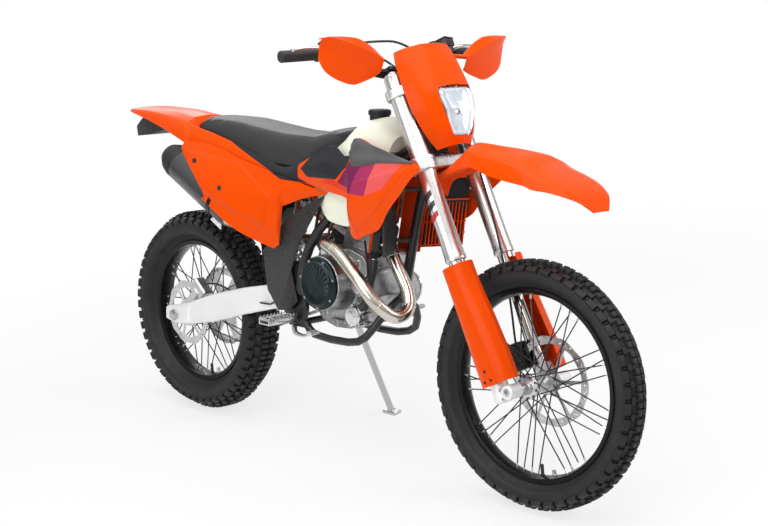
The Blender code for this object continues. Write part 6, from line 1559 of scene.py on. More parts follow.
for node, width, finish, body, slot in (
        ("frame_guard_left", 0.0008, scaled_plastic, "motorcycle", "black_plastic"),
        ("frame_guard_right", 0.0008, scaled_plastic, "motorcycle", "black_plastic"),
        ("tail_light_holder", 0.0030, black_plastic, "motorcycle", "black_plastic"),
        ("front_axle", 0.0008, zinc_steel, "front_end", "steel"),
        ("rear_axle", 0.0008, zinc_steel, "motorcycle", "steel")):
    dressed("finished_" + node, node, width, finish, body)
print("castings",
      [name for name in PIECES if "cast" in name or "forged" in name or "welded" in name])

# %% [markdown]
# The exhaust. The header is a thin steel tube bent in several planes, so it is drawn as one
# spline through its bends, with a weld ring where two tubes meet. The muffler is a turned
# sleeve with a rolled front cone and a cut end cap.

# %% Header and muffler
HEADER_PLACES = ((0.868, -0.012, 0.765), (0.918, -0.036, 0.716), (0.985, -0.052, 0.632),
                 (1.035, -0.056, 0.560), (1.062, -0.080, 0.512), (1.056, -0.130, 0.497),
                 (1.018, -0.176, 0.545), (0.955, -0.188, 0.612), (0.858, -0.168, 0.662),
                 (0.775, -0.142, 0.678), (0.726, -0.092, 0.677), (0.686, -0.057, 0.672),
                 (0.610, -0.057, 0.660))
HEADER_RADIUS = 0.0195


def header_line():
    """The bends as a loose Catmull curve, which rounds them more than the frame's drawing."""
    points = [Vector(p) for p in HEADER_PLACES]
    points = [points[0] * 2 - points[1]] + points + [points[-1] * 2 - points[-2]]
    result = []
    for i in range(1, len(points) - 2):
        a, b, c, d = points[i - 1:i + 3]
        for k in range(8):
            t = k / 8
            result.append(0.5 * ((2 * b) + (c - a) * t + (2 * a - 5 * b + 4 * c - d) * t * t
                                 + (3 * b - a - 3 * c + d) * t ** 3))
    result.append(points[-2])
    return result


bends = header_line()
header = tube(bends, HEADER_RADIUS, 28, 1)
for i in (14, 30, 46, 66, 82):
    run = (bends[i + 1] - bends[i - 1]).normalized()
    ring = [(HEADER_RADIUS - 0.001, -0.0022), (HEADER_RADIUS + 0.0010, -0.0012),
            (HEADER_RADIUS + 0.0014, 0), (HEADER_RADIUS + 0.0010, 0.0012),
            (HEADER_RADIUS - 0.001, 0.0022)]
    turned(ring, bends[i], run, 28, True, header)
flange_run = (bends[2] - bends[0]).normalized()
rounded_bar(bends[1], bends[1] + flange_run * 0.008, 0.030, 0.12, 28, header)
fixed("bent_header_pipe", header, header_steel, ("header_pipe",), sharp=50)

MUFFLER_BACK = Vector((-0.012, -0.128, 0.884))
MUFFLER_FRONT = Vector((0.315, -0.118, 0.716))
MUFFLER_JOINT = Vector((0.475, -0.085, 0.655))
run = MUFFLER_BACK - MUFFLER_FRONT
length = run.length
R = 0.056
sleeve = [(R * 0.84, 0.0), (R * 0.93, R * 0.14), (R * 0.985, R * 0.35), (R, R * 0.55),
          (R, length - R * 1.32), (R * 0.985, length - R * 1.30), (R * 0.985, length - R * 1.26),
          (R * 0.80, length - R * 1.26), (R * 0.78, 0.0)]
fixed("muffler_sleeve", turned(sleeve, MUFFLER_FRONT, run, 64, True), dark_muffler,
      ("muffler",), sharp=40)
cap = [(R * 0.97, length - R * 1.24), (R, length - R * 1.20), (R * 0.995, length - R * 0.9),
       (R * 0.90, length - R * 0.45), (R * 0.66, length - R * 0.03), (R * 0.62, length),
       (R * 0.42, length), (R * 0.38, length - R * 0.05), (R * 0.36, length - R * 0.55),
       (0, length - R * 0.6), (0, length - R * 1.24)]
fixed("muffler_end_cap", turned(cap, MUFFLER_FRONT, run, 64), black_plastic, sharp=40)
joint_run = MUFFLER_FRONT - MUFFLER_JOINT
far = joint_run.length + R * 0.15
cone = [(0, 0), (0.0235, 0), (0.0245, 0.004), (0.0245, 0.016), (0.027, 0.024),
        (R * 0.80, far - 0.012), (R * 0.84, far), (0, far)]
muffler_cone = turned(cone, MUFFLER_JOINT, joint_run, 48)
link = tube([Vector(HEADER_PLACES[-1]), Vector((0.575, -0.061, 0.657)),
             Vector((0.540, -0.068, 0.654)), MUFFLER_JOINT + joint_run.normalized() * 0.01],
            0.0195, 24, 4)
fixed("muffler_cone_and_link", mixed(muffler_cone, link), header_steel, sharp=50)
bracket_turn = Matrix.Rotation(math.radians(27), 4, "Y")
bracket = brick((0.262, -0.150, 0.693), (0.030, 0.0025, 0.016), 0.0012, bracket_turn, taper=0.5)
brick((0.262, -0.138, 0.708), (0.011, 0.014, 0.006), 0.0012, bracket_turn, bm=bracket)
fixed("muffler_bracket", bracket, cast_alloy)
band = [(R + 0.0004, 0.0), (R + 0.0024, 0.0008), (R + 0.0024, 0.0172), (R + 0.0004, 0.018)]
fixed("muffler_strap", turned(band, MUFFLER_FRONT + run * 0.18, run, 64, True), black_anodised)
print("exhaust", len(bends), "points on the header")

# %% [markdown]
# Discs and sprocket. Both discs are laser cut from sheet with a waved edge and slots, which
# sheds mud. A filled flat curve makes such a plate directly: one line for the edge and one
# for each hole.

# %% Flat plates with holes
def flat_plate(outlines, middle, thick, bevel=0.0002):
    """A plate in the side view; the first outline is its edge, the rest are holes."""
    curve = bpy.data.curves.new("plate", "CURVE")
    curve.dimensions = "2D"
    curve.fill_mode = "BOTH"
    curve.extrude = thick / 2 - bevel
    curve.bevel_depth = bevel
    curve.bevel_resolution = 0
    for outline in outlines:
        spline = curve.splines.new("POLY")
        spline.points.add(len(outline) - 1)
        spline.use_cyclic_u = True
        for point, (x, z) in zip(spline.points, outline):
            point.co = (x, z, 0, 1)
    obj = bpy.data.objects.new("plate", curve)
    bpy.context.scene.collection.objects.link(obj)
    mesh = shown_by(obj)
    bpy.data.objects.remove(obj)
    bm = drawing_of(mesh)
    bmesh.ops.remove_doubles(bm, verts=bm.verts, dist=MERGE)
    bm.transform(Matrix.Translation((0, middle, 0)) @ Matrix.Rotation(math.radians(90), 4, "X"))
    bmesh.ops.recalc_face_normals(bm, faces=bm.faces)
    return bm


def ring_line(radius, steps, wave=0.0, waves=1, centre=(0, 0), phase=0.0):
    """A circle as an outline, which may have a waved edge."""
    line = []
    for a in angles(steps):
        r = radius - wave / 2 + wave / 2 * math.cos(waves * a)
        line.append((centre[0] + r * math.cos(a + phase), centre[1] + r * math.sin(a + phase)))
    return line


def slot_line(r_in, r_out, angle, wide, lean=0.0):
    """A slot that runs outwards, as a rounded outline."""
    points = []
    for r, up in ((r_in, 1), (r_out, 1), (r_out, -1), (r_in, -1)):
        at = angle + lean * (r - r_in) / (r_out - r_in)
        for k in (0, 1):
            shift = wide / 2 * up
            outer, first = r == r_out, k if up > 0 else 1 - k
            along = wide * 0.35 * (1 if outer else -1) * (1 - abs(first - (1 if outer else 0)))
            points.append(((r + along) * math.cos(at) - shift * math.sin(at),
                           (r + along) * math.sin(at) + shift * math.cos(at)))
    return points


DISC_BAND, DISC_WALL, DISC_ARMS = 0.022, 0.003, 6


def wave_disc(name, axle, place, radius, waves, carrier, bore, body, stance, node):
    """A brake disc: a waved band with holes and slots, riveted to the arms of its carrier."""
    band = DISC_BAND
    holes = []
    for k in range(waves * 2):
        a = 2 * math.pi * (k + 0.25) / (waves * 2)
        r = radius - band * (0.38 if k % 2 else 0.64)
        holes.append(ring_line(0.0032, 12, centre=(r * math.cos(a), r * math.sin(a))))
    for k in range(waves):
        holes.append(slot_line(radius - band * 0.72, radius - band * 0.28,
                               2 * math.pi * (k + 0.5) / waves + 0.16, 0.004, 0.10))
    edges = [ring_line(radius, 240, 0.004, waves),
             ring_line(radius - band, 240, 0.003, waves, phase=math.pi / waves)]
    disc = flat_plate(edges + holes, 0, DISC_WALL)
    bolts = (carrier + bore) / 2
    arms = flat_plate([ring_line(carrier, 48), ring_line(bore, 48)]
                      + [ring_line(0.0034, 12, centre=(bolts * math.cos(a), bolts * math.sin(a)))
                         for a in angles(DISC_ARMS)], 0, 0.0028)
    arm_end = radius - band + 0.004
    spoke = flat_plate([[(carrier - 0.004, 0.008), (arm_end, 0.0040 + 0.016),
                         (arm_end, -0.004 + 0.016), (carrier - 0.004, -0.004)]], 0, 0.0026)
    arms = mixed(arms, round_axle(spoke, DISC_ARMS, disc_steel))
    rivets = bmesh.new()
    rounded_bar((radius - band + 0.003, -0.0024, 0.016), (radius - band + 0.003, 0.0024, 0.016),
                0.0052, 0.3, 16, rivets)
    whole = mixed(disc, arms, round_axle(rivets, DISC_ARMS, disc_steel))
    whole.transform(Matrix.Translation((axle.x, place, axle.z)))
    piece(name, whole, disc_steel, body, (node,), stance)


wave_disc("slotted_front_disc", FRONT_AXLE, 0.0638, 0.130, 10, 0.034, 0.0135,
          "front_wheel", STEERED, "front_brake_disc")
wave_disc("slotted_rear_disc", REAR_AXLE, -0.0768, 0.110, 10, 0.047, 0.020,
          "rear_wheel", STANCE, "rear_brake_disc")

TEETH = 44
SPROCKET_RADIUS, PINION_RADIUS = 0.1264, 0.0332
TOOTH = ((0.0, -0.0029), (0.18, -0.0022), (0.36, 0.0024), (0.44, 0.0029),
         (0.56, 0.0029), (0.64, 0.0024), (0.82, -0.0022))       # (turn share, rise)
teeth = []
for k in range(TEETH):
    for share, tall in TOOTH:
        a = 2 * math.pi * (k + share) / TEETH
        teeth.append(((SPROCKET_RADIUS + tall) * math.cos(a),
                      (SPROCKET_RADIUS + tall) * math.sin(a)))
holes = []
for a in angles(6):
    arc = [(0.108 * math.cos(a + t), 0.108 * math.sin(a + t))
           for t in (0.16, 0.35, 0.54, 0.73, 0.88)]
    arc += [(0.066 * math.cos(a + t), 0.066 * math.sin(a + t)) for t in (0.72, 0.52, 0.32)]
    holes.append(arc)
    holes.append(ring_line(0.004, 12, centre=(0.054 * math.cos(a), 0.054 * math.sin(a))))
sprocket = flat_plate([teeth, ring_line(0.020, 48)] + holes, SPROCKET_Y, SPROCKET_WALL, 0.0006)
sprocket.transform(Matrix.Translation((0, 0, REAR_RADIUS)))
piece("toothed_rear_sprocket", sprocket, machined_alloy, "rear_wheel", ("rear_sprocket",))
print("discs and sprocket done")

# %% [markdown]
# The chain has about 118 links in 15.9 mm steps. One pair of links, an outer and an inner with
# their two rollers, is drawn on the X axis, and the second tree sets it on evenly spaced places
# of the loop round both sprockets.

# %% Chain links
FRONT_SPROCKET = Vector((0.668, 0, 0.505))
LINK_PAIRS = 59
LINK_END, LINK_WAIST, LINK_WALL = 0.0055, 0.0040, 0.0016


def chain_loop():
    """Places and headings every two pitches on the loop round both sprockets."""
    away = FRONT_SPROCKET - REAR_AXLE
    base = math.atan2(away.z, away.x)
    gap = away.length
    spread_angle = math.acos((SPROCKET_RADIUS - PINION_RADIUS) / gap)
    line = []
    for k in range(97):
        a = base + spread_angle + (2 * math.pi - 2 * spread_angle) * k / 96
        line.append(REAR_AXLE + Vector((math.cos(a), 0, math.sin(a))) * SPROCKET_RADIUS)
    for k in range(25):
        a = base - spread_angle + 2 * spread_angle * k / 24
        line.append(FRONT_SPROCKET + Vector((math.cos(a), 0, math.sin(a))) * PINION_RADIUS)
    line.append(line[0])
    return line


def evenly(line, count):
    """Evenly spaced (place, heading) on a closed line."""
    total = sum((b - a).length for a, b in zip(line, line[1:]))
    spots, walked, k = [], 0.0, 0
    for a, b in zip(line, line[1:]):
        span = (b - a).length
        while k * total / count < walked + span - 1e-9 and k < count:
            spots.append((a + (b - a) * ((k * total / count - walked) / span),
                          (b - a).normalized()))
            k += 1
        walked += span
    return spots, total / count


def link_end(middle, start):
    """Half a circle round a pin, from an angle in degrees."""
    return [(middle + LINK_END * math.cos(a), LINK_END * math.sin(a))
            for a in (math.radians(t) for t in range(start, start + 181, 30))]


spots, double_pitch = evenly(chain_loop(), LINK_PAIRS)
pitch = double_pitch / 2
link_pair = bmesh.new()
for start, out in ((0.0, 0.0058), (pitch, 0.0038)):
    for side in (1, -1):
        outline = (link_end(start, 90) + [(start + pitch / 2, -LINK_WAIST)]
                   + link_end(start + pitch, -90) + [(start + pitch / 2, LINK_WAIST)])
        link_pair = mixed(link_pair, flat_plate([outline], side * out, LINK_WALL, 0.0002))
for start in (0.0, pitch):
    rounded_bar((start, -0.0072, 0), (start, 0.0072, 0), 0.0026, 0.2, 10, link_pair)
    rounded_bar((start, -0.0030, 0), (start, 0.0030, 0), 0.0048, 0.1, 12, link_pair)
chain = set_out(link_pair, [(p + Vector((0, SPROCKET_Y, 0)), run.cross(LEFT), run)
                            for p, run in spots], zinc_steel)
fixed("roller_chain", chain, zinc_steel, ("chain",))
print("chain pitch", round(pitch * 1000, 2), "mm")

# %% [markdown]
# The fork is upside down: the wide silver tubes are held in the clamps, and thinner sliders
# run into them from below. Each leg is turned from one section, and its axle lug is a small
# casting. The marks on the tubes are plain slanted bars.

# %% Fork legs and axle lugs
decal_dark = grained(("dark_film", (0.020, 0.021, 0.024), 0.34),
                     (0.02, 0.05, 0.34), (0.003,), 0.00002)
decal_red = grained(("red_film", (0.55, 0.03, 0.03), 0.34), (0.02, 0.05, 0.34), (0.003,), 0.00002)
slider_steel = grained(("hard_chrome_slider", (0.58, 0.56, 0.52), 0.1, 1.0),
                       (0.03, 0.03, 0.1), (0.001,), 0.00001)
LEG_LEAD, LEG_OUT = 0.022, 0.105
UP_FORK = fork(0, 0, 1) - fork(0, 0, 0)
AHEAD_FORK = fork(1, 0, 0) - fork(0, 0, 0)
TUBE_LINE = ((0, 0.392), (0.0265, 0.392), (0.0305, 0.3945), (0.0308, 0.399), (0.0308, 0.406),
             (0.0296, 0.409), (0.0296, 0.424), (0.0288, 0.430), (0.0284, 0.470), (0.0288, 0.640),
             (0.029, 0.655), (0.029, 0.715), (0.0284, 0.725), (0.0284, 0.870), (0.029, 0.880),
             (0.029, 0.945), (0.0282, 0.951), (0.0255, 0.953), (0.0240, 0.953), (0.0240, 0.958),
             (0.0120, 0.959), (0.0110, 0.965), (0, 0.965))


def fork_leg(side, label):
    foot = fork(LEG_LEAD, side * LEG_OUT, 0)
    front("fork_tube_" + label, turned(TUBE_LINE, foot, UP_FORK, 64), anodised_tube,
          ("fork_leg_" + label,), sharp=30)
    slider = [(0, 0.045), (0.024, 0.045), (0.024, 0.396), (0, 0.396)]
    front("fork_slider_" + label, turned(slider, foot, UP_FORK, 48), slider_steel)
    lug = turned([(0, -0.020), (0.022, -0.020), (0.0255, -0.015), (0.0258, 0.055),
                  (0.0235, 0.060), (0, 0.060)], foot, UP_FORK, 32)
    axle_place = fork(AXLE_LEAD, side * LEG_OUT, 0)
    rounded_bar(axle_place - LEFT * side * 0.021, axle_place + LEFT * side * 0.030, 0.0205, 0.12,
                32, lug)
    brick(fork(0.042, side * LEG_OUT, 0), (0.020, 0.019, 0.0195), 0.004, FORK_TURN, bm=lug)
    for rise in (-0.012, 0.012):
        rounded_bar(fork(0.040, side * (LEG_OUT - 0.024), rise),
                    fork(0.040, side * (LEG_OUT + 0.024), rise), 0.0062, 0.2, 16, lug)
    bore = rounded_bar(axle_place - LEFT * 0.06, axle_place + LEFT * 0.06, 0.0113, 0.02, 32)
    lug = carve(melted(lug, 0.0012, 3), bore)
    front("axle_lug_" + label, lug, cast_alloy, sharp=50)
    for k in range(3):
        patch = []
        for a in range(-48, 33, 8):
            turn = math.radians(a)
            out = LEFT * side * math.cos(turn) + AHEAD_FORK * math.sin(turn)
            rise = 0.588 - 0.030 * k + 0.016 * math.sin(turn)
            patch.append([foot + UP_FORK * (rise + half) + out * 0.02895
                          for half in (-0.0085, 0.0085)])
        strip = shell(patch if side < 0 else patch[::-1], 0.0003)
        front("fork_mark_%d_%s" % (k, label), strip, decal_red if k == 2 else decal_dark)


for side, label in SIDES:
    fork_leg(side, label)
screws("fork_guard_screws",
       [(fork(lead, side * (LEG_OUT + 0.0398), rise), LEFT * side) for side in (1, -1)
        for lead, rise in ((0.010, 0.047), (0.034, 0.047), (0.022, 0.075))],
       0.0042, 0.0025, smooth_black, "front_end", STEERED)
pinch = [(fork(0.040, side * (LEG_OUT + 0.0243), rise), LEFT * side) for side in (1, -1)
         for rise in (-0.012, 0.012)]
pinch += [(fork(lead, side * LEG_OUT, rise), AHEAD_FORK) for side in (1, -1)
          for lead, rise in ((0.0612, 0.672), (0.0612, 0.692), (0.0612, 0.899))]
screws("pinch_bolts", pinch, 0.0045, 0.004, zinc_steel, "front_end", STEERED)
print("fork", [name for name in PIECES if "fork" in name][-4:])

# %% [markdown]
# The lamp. Behind a clear lens lies a bright plated bowl with flutes and a projector in its
# middle; its brightness is partly a painted glow.
# The bowl is a loft from the lens's rounded trapezoid to a small round opening. Every other
# pair of points in its rows is set back a little, which gives the flutes their dark edges.

# %% Headlight
# The bowl's emission is a painted glow, standing in for the light the plated bowl would gather
# through the lens.
reflector_chrome_painted_glow = grained(("vacuum_plated_bowl_painted_glow", (0.93, 0.94, 0.96), 0.22, 0.85),
                           (0.01, 0.04, 0.22), (0.004,), 0.00008,
                           emission_color=(1.0, 1.0, 1.0, 1.0), emission_strength=0.35)


housing = loft([lamp_ring(0.080, 0.72), lamp_ring(0.084, 0.90), lamp_ring(0.104, 1.0),
                lamp_ring(0.126, 1.0), lamp_ring(0.126, 0.97), lamp_ring(0.098, 0.72)])
front("lamp_housing", housing, black_plastic, ("headlight",))
bowl_rows = [lamp_ring(0.1265, 0.98), lamp_ring(0.120, 0.86, 0.1, 0.050, 0.003),
             lamp_ring(0.112, 0.70, 0.3, 0.040, 0.004), lamp_ring(0.106, 0.50, 0.7, 0.028, 0.003),
             lamp_ring(0.104, 0.40, 1.0)]
front("lamp_bowl", loft(bowl_rows[::-1]), reflector_chrome_painted_glow, sharp=20)
projector = turned([(0.0205, 0.0), (0.0205, 0.006), (0.018, 0.009), (0.0165, 0.0085),
                    (0.012, 0.012), (0.006, 0.0138), (0, 0.0142), (0, 0)],
                   fork(0.1045, 0, LAMP_MIDDLE), AHEAD_FORK, 40)
front("lamp_projector", projector, slider_steel, sharp=40)
lens = loft([lamp_ring(0.128, 1.0), lamp_ring(0.133, 1.0), lamp_ring(0.139, 0.92),
             lamp_ring(0.1425, 0.66), lamp_ring(0.1430, 0.30), lamp_ring(0.1405, 0.30),
             lamp_ring(0.1395, 0.66), lamp_ring(0.1365, 0.90), lamp_ring(0.1285, 0.96)])
front("lamp_lens", lens, clear_lens, sharp=40)
print("lamp pieces", [name for name in PIECES if name.startswith("lamp")])

# %% [markdown]
# Bar and controls. The bar is a tapered tube. Grips have rings that fingers can feel, so each
# is turned from a ribbed section. Levers are forged: a thin oval tube with a ball at its end.
# Hoses are drawn on the steered body only, and end in the clamp block behind the mask.

# %% Handlebar, grips, levers and reservoirs
BAR_SHARES = ((0, 0, 0), (0.17, 0, 0), (0.27, 0.08, 0.10), (0.41, 0.20, 0.82), (0.48, 0.30, 0.925),
              (0.54, 0.39, 0.935), (1.0, 1.0, 1.0))
BAR_RADII = [0.0143, 0.0143, 0.0135, 0.0115, 0.011, 0.011, 0.011]     # from the middle outwards
LEVER = ((0, 0, 0.0052), (0.014, 0.012, 0.0056), (0.026, 0.040, 0.0050), (0.030, 0.085, 0.0044),
         (0.025, 0.128, 0.0044), (0.024, 0.138, 0.0044))      # (ahead, outward, radius)
GRIP_LONG = 0.125
GRIP_RINGS = 17
CLAMP_OUT = 0.0525
lever_alloy = grained(("polished_lever", (0.60, 0.60, 0.61), 0.22, 1.0),
                      (0.01, 0.05, 0.22), (0.001,), 0.00002)


def bar_point(side, out, back_share, up):
    return fork(-0.030 - 0.052 * back_share, side * 0.4055 * out, 0.985 + 0.083 * up)


right_half = [bar_point(-1, *share) for share in BAR_SHARES]
left_half = [bar_point(1, *share) for share in BAR_SHARES]
whole_bar = right_half[:0:-1] + left_half
radii = BAR_RADII[:0:-1] + BAR_RADII
front("tapered_bar", tube(whole_bar, radii, 24, 6), black_anodised,
      ("handlebar_with_grips",))
grips, perches, levers, screws_at = bmesh.new(), bmesh.new(), bmesh.new(), []
ahead = AHEAD_FORK
for side, half in ((-1, right_half), (1, left_half)):
    outward = (half[-1] - half[-2]).normalized()
    end = half[-1] + outward * 0.0017
    profile = [(0.0105, GRIP_LONG), (0.0205, GRIP_LONG), (0.0215, 0.1235), (0.0215, 0.1205),
               (0.0180, 0.118)]
    for k in range(GRIP_RINGS):
        a = 0.112 - 0.0062 * k
        profile += [(0.0170, a + 0.0012), (0.0158, a - 0.0008), (0.0158, a - 0.0032),
                    (0.0170, a - 0.0046)]
    profile += [(0.0168, 0.003), (0.0150, 0.0), (0, 0.0)]
    turned(profile + [(0, GRIP_LONG)], end, -outward, 36, bm=grips)
    root = half[-1] - outward * (GRIP_LONG + 0.0216)
    rounded_bar(root - outward * 0.012, root + outward * 0.012, 0.0165, 0.15, 28, perches)
    brick(root + ahead * 0.020, (0.010, 0.016, 0.008), 0.002, FORK_TURN, bm=perches)
    tank_at = root + ahead * 0.016 + UP_FORK * 0.019 - outward * 0.014
    turn = FORK_TURN @ Matrix.Rotation(math.radians(12 * side), 4, "Z")
    brick(tank_at, (0.017, 0.026, 0.0115), 0.004, turn, 3, bm=perches)
    brick(tank_at + UP_FORK * 0.0125, (0.018, 0.027, 0.0022), 0.001, turn, bm=perches)
    screws_at += [(tank_at + UP_FORK * 0.0150 + LEFT * dy, UP_FORK) for dy in (-0.017, 0.017)]
    start = root + ahead * 0.020
    path = [start] + [start + ahead * lead + outward * out for lead, out, _ in LEVER[1:]]
    tube(path, [radius for _, _, radius in LEVER], 14, 6, levers)
    turned([(0, -0.0062), (0.004, -0.005), (0.0062, 0), (0.004, 0.005), (0, 0.0062)], path[-1],
           outward, 18, bm=levers)
    switch_at = root - outward * 0.034
    rounded_bar(switch_at - outward * 0.009, switch_at + outward * 0.009, 0.0150, 0.15, 24,
                perches)
    brick(switch_at - ahead * 0.016, (0.008, 0.010, 0.009), 0.002, FORK_TURN, bm=perches)
    rounded_bar(switch_at - ahead * 0.022, switch_at - ahead * 0.028, 0.0040, 0.2, 14, perches)
for side in (1, -1):
    brick(fork(-0.030, side * CLAMP_OUT, 0.949), (0.013, 0.0125, 0.036), 0.003, FORK_TURN,
          bm=perches)
    brick(fork(-0.030, side * CLAMP_OUT, 0.9965), (0.019, 0.0125, 0.0065), 0.003, FORK_TURN,
          bm=perches)
    screws_at += [(fork(-0.030 + dx, side * CLAMP_OUT, 1.0035), UP_FORK)
                  for dx in (-0.0135, 0.0135)]
brick(fork(-0.012, 0, 1.000), (0.018, 0.030, 0.008), 0.004, FORK_TURN, 3, bm=perches)
front("ribbed_grips", grips, grip_rubber)
front("perches_and_bar_clamps", perches, smooth_black)
front("forged_levers", levers, lever_alloy)
screws("control_screws", screws_at, 0.0034, 0.0022, zinc_steel, "front_end", STEERED)
hoses = bmesh.new()
hose_rubber = grained(("ribbed_hose", (0.014, 0.014, 0.015), 0.5),
                      (0.01, 0.06, 0.5), (0.001,), 0.00006)
hose_runs = (
    [bar_point(-1, 0.56, 0.42, 0.94) + UP_FORK * 0.012, fork(-0.010, -0.150, 1.075),
     fork(0.030, -0.080, 1.060), fork(0.048, 0.020, 1.000), fork(0.050, 0.078, 0.900),
     fork(0.060, 0.072, 0.780), fork(0.066, 0.074, 0.660)],
    [bar_point(1, 0.56, 0.42, 0.94) + UP_FORK * 0.012, fork(0.000, 0.150, 1.070),
     fork(0.034, 0.085, 1.050), fork(0.040, 0.020, 0.980), fork(0.028, 0.000, 0.905)],
    [bar_point(-1, 0.50, 0.34, 0.93) - AHEAD_FORK * 0.010, fork(-0.060, -0.120, 1.070),
     fork(-0.030, -0.060, 1.030), fork(0.000, -0.030, 0.960), fork(0.012, -0.020, 0.905)])
for run_points in hose_runs:
    tube(run_points, 0.0034, 12, 8, hoses)
tube([fork(0.064, 0.074, 0.668), fork(0.062, 0.068, 0.560), fork(0.052, 0.066, 0.440),
      fork(0.030, 0.068, 0.320), fork(0.004, 0.070, 0.220), fork(-0.016, 0.070, 0.150),
      fork(-0.022, 0.068, 0.122)], 0.0032, 12, 8, hoses)
front("steered_hoses", hoses, hose_rubber)
print("controls done")

# %% [markdown]
# Cooling and suspension. Two radiators stand beside the frame behind upright louvres. One
# louvre is drawn and the second tree sets it on a row of places. The shock is a spring wound
# round a damper, so its wire is a tube along a helix.

# %% Radiators and shock absorber
RADIATOR_ENDS = ((0.940, 0.668), (0.985, 0.888))
RADIATOR_UP = Vector((0.045, 0, 0.220)).normalized()
LOUVRES = 12


def radiator_place(side, share, up, deep):
    (x0, z0), (x1, z1) = RADIATOR_ENDS
    return Vector((x0 + (x1 - x0) * up + 0.062 * share + deep, side * (0.064 + 0.112 * share),
                   z0 + (z1 - z0) * up))


for side, label in SIDES:
    core = bmesh.new()
    for low, high, grow in ((0.0, 1.0, 0.0), (0.0, 0.10, 0.0012), (0.90, 1.0, 0.0012)):
        corners = ((0.0, -grow), (0.0, 0.030), (1.0, 0.030), (1.0, -grow))
        loft([[radiator_place(side, a, up, d) for a, d in corners] for up in (low, high)], core)
    fixed("radiator_core_" + label, core, core_black, ("radiator_" + label,))
    facing = Vector((0.112, -side * 0.062, 0)).normalized()
    slat = brick((0, 0, 0), (0.104, 0.0013, 0.0042), 0.0006)
    spots = [(radiator_place(side, (k + 0.5) / LOUVRES, 0.5, 0.0308), facing, RADIATOR_UP)
             for k in range(LOUVRES)]
    louvres = set_out(slat, spots, smooth_black)
    for up in (0.03, 0.35, 0.66, 0.97):
        a, b = radiator_place(side, 0.0, up, 0.0318), radiator_place(side, 1.0, up, 0.0318)
        tube([a, (a + b) / 2, b], 0.0026, 8, 2, louvres)
    shade = smooth_black if side < 0 else orange_plastic
    fixed("radiator_louvres_" + label, louvres, shade)
    rows = []
    for up in (-0.06, 0.2, 0.5, 0.8, 0.97):
        row = [radiator_place(side, -0.04 - 0.02 * bow, up, deep)
               for deep, bow in ((-0.062, 0), (-0.03, 1), (0.01, 1), (0.036, 0))]
        rows.append(row if side > 0 else row[::-1])
    fixed("radiator_duct_" + label, shell(refine_grid(rows, (4, 4)), 0.002), orange_plastic)
screws("radiator_screws", [(radiator_place(side, 0.93, up, 0.041), Vector((1, 0, 0)))
                           for side in (1, -1) for up in (0.20, 0.82)],
       0.0048, 0.003, zinc_steel, "motorcycle")

SHOCK_TOP, SHOCK_LOW = Vector((0.548, -0.020, 0.805)), Vector((0.446, -0.020, 0.479))
run = SHOCK_TOP - SHOCK_LOW
up = run.normalized()
spring_steel = grained(("white_spring_coat", (0.74, 0.74, 0.75), 0.32),
                       (0.01, 0.05, 0.32), (0.002,), 0.00003)
damper = [(0, 0.008), (0.0165, 0.008), (0.0165, 0.040), (0.027, 0.044), (0.027, 0.050),
          (0.0150, 0.052), (0.0150, 0.236), (0.0285, 0.240), (0.0290, 0.250), (0.0250, 0.254),
          (0.0262, 0.262), (0.0262, 0.316), (0.0150, 0.322), (0.0150, 0.341), (0, 0.341)]
fixed("shock_damper", turned(damper, SHOCK_LOW, run, 40), machined_alloy,
      ("shock_absorber",))
one = up.orthogonal().normalized()
two = up.cross(one)
COILS, COIL_STEPS, COIL_RADIUS, WIRE_RADIUS = 7, 168, 0.0243, 0.0050
coil = []
for k in range(COIL_STEPS + 1):
    a = k * math.pi / 12
    out = one * math.cos(a) + two * math.sin(a)
    coil.append(SHOCK_LOW + up * (0.054 + 0.180 * k / COIL_STEPS) + out * COIL_RADIUS)
fixed("shock_spring", tube(coil, WIRE_RADIUS, 10, 1), spring_steel)
print("louvres", LOUVRES, "coils", COILS)

# %% [markdown]
# Small parts on the frame: the clutch cover with its swirl of ribs, the tank's screw cap, the
# rubber grommets of the side panels with painted shade filling their holes, the tyre valves and
# rim locks, and the red tail lens.

# %% Clutch cover, cap, grommets and valves
cover = [(0, -0.001), (0.0780, -0.001), (0.0800, 0.001), (0.0800, 0.0085), (0.0785, 0.0105),
         (0.0740, 0.0120), (0.0700, 0.0125), (0.0675, 0.0150), (0.0660, 0.0185), (0.0630, 0.0205),
         (0.0590, 0.0205), (0.0575, 0.0195), (0.0300, 0.0208), (0.0, 0.0212)]
CLUTCH = Vector((0.770, -0.1623, 0.560))
clutch = turned(cover, CLUTCH, RIGHT, 72)
rib = tube([Vector((r * math.cos(t), -0.0205, r * math.sin(t))) for r, t in
            ((0.010, 0.0), (0.022, 0.30), (0.034, 0.52), (0.046, 0.68), (0.057, 0.78))], 0.0011,
           8, 3)
ribs = round_axle(rib, 22, clutch_black)
ribs.transform(Matrix.Translation(CLUTCH))
fixed("clutch_cover_with_ribs", mixed(clutch, ribs), clutch_black, ("clutch_cover",),
      sharp=40)
cover_screws = [(CLUTCH + Vector((0.0725 * math.cos(a), -0.0120, 0.0725 * math.sin(a))), RIGHT)
                for a in angles(7, 0.3)]
screws("clutch_cover_screws", cover_screws, 0.0042, 0.003, zinc_steel, "motorcycle")
cap_line = [(0, -0.020), (0.0300, -0.020), (0.0300, 0.002), (0.0325, 0.003), (0.0325, 0.0165),
            (0.0305, 0.0190), (0.012, 0.0196), (0, 0.0196)]
cap_place = Vector((0.8609, 0, 1.058))
tank_cap = turned(cap_line, cap_place, (0, 0, 1), 48)
for a in angles(20):
    at = cap_place + Vector((0.0325 * math.cos(a), 0.0325 * math.sin(a), 0.0098))
    brick(at, (0.0016, 0.0022, 0.0062), 0.0005, Matrix.Rotation(a, 4, "Z"), bm=tank_cap)
rounded_bar(cap_place + Vector((0, 0, 0.010)), cap_place + Vector((0, 0, 0.0200)), 0.006, 0.2, 16,
            tank_cap)
fixed("ridged_tank_cap", tank_cap, black_plastic, ("fuel_cap",))
grommets = bmesh.new()
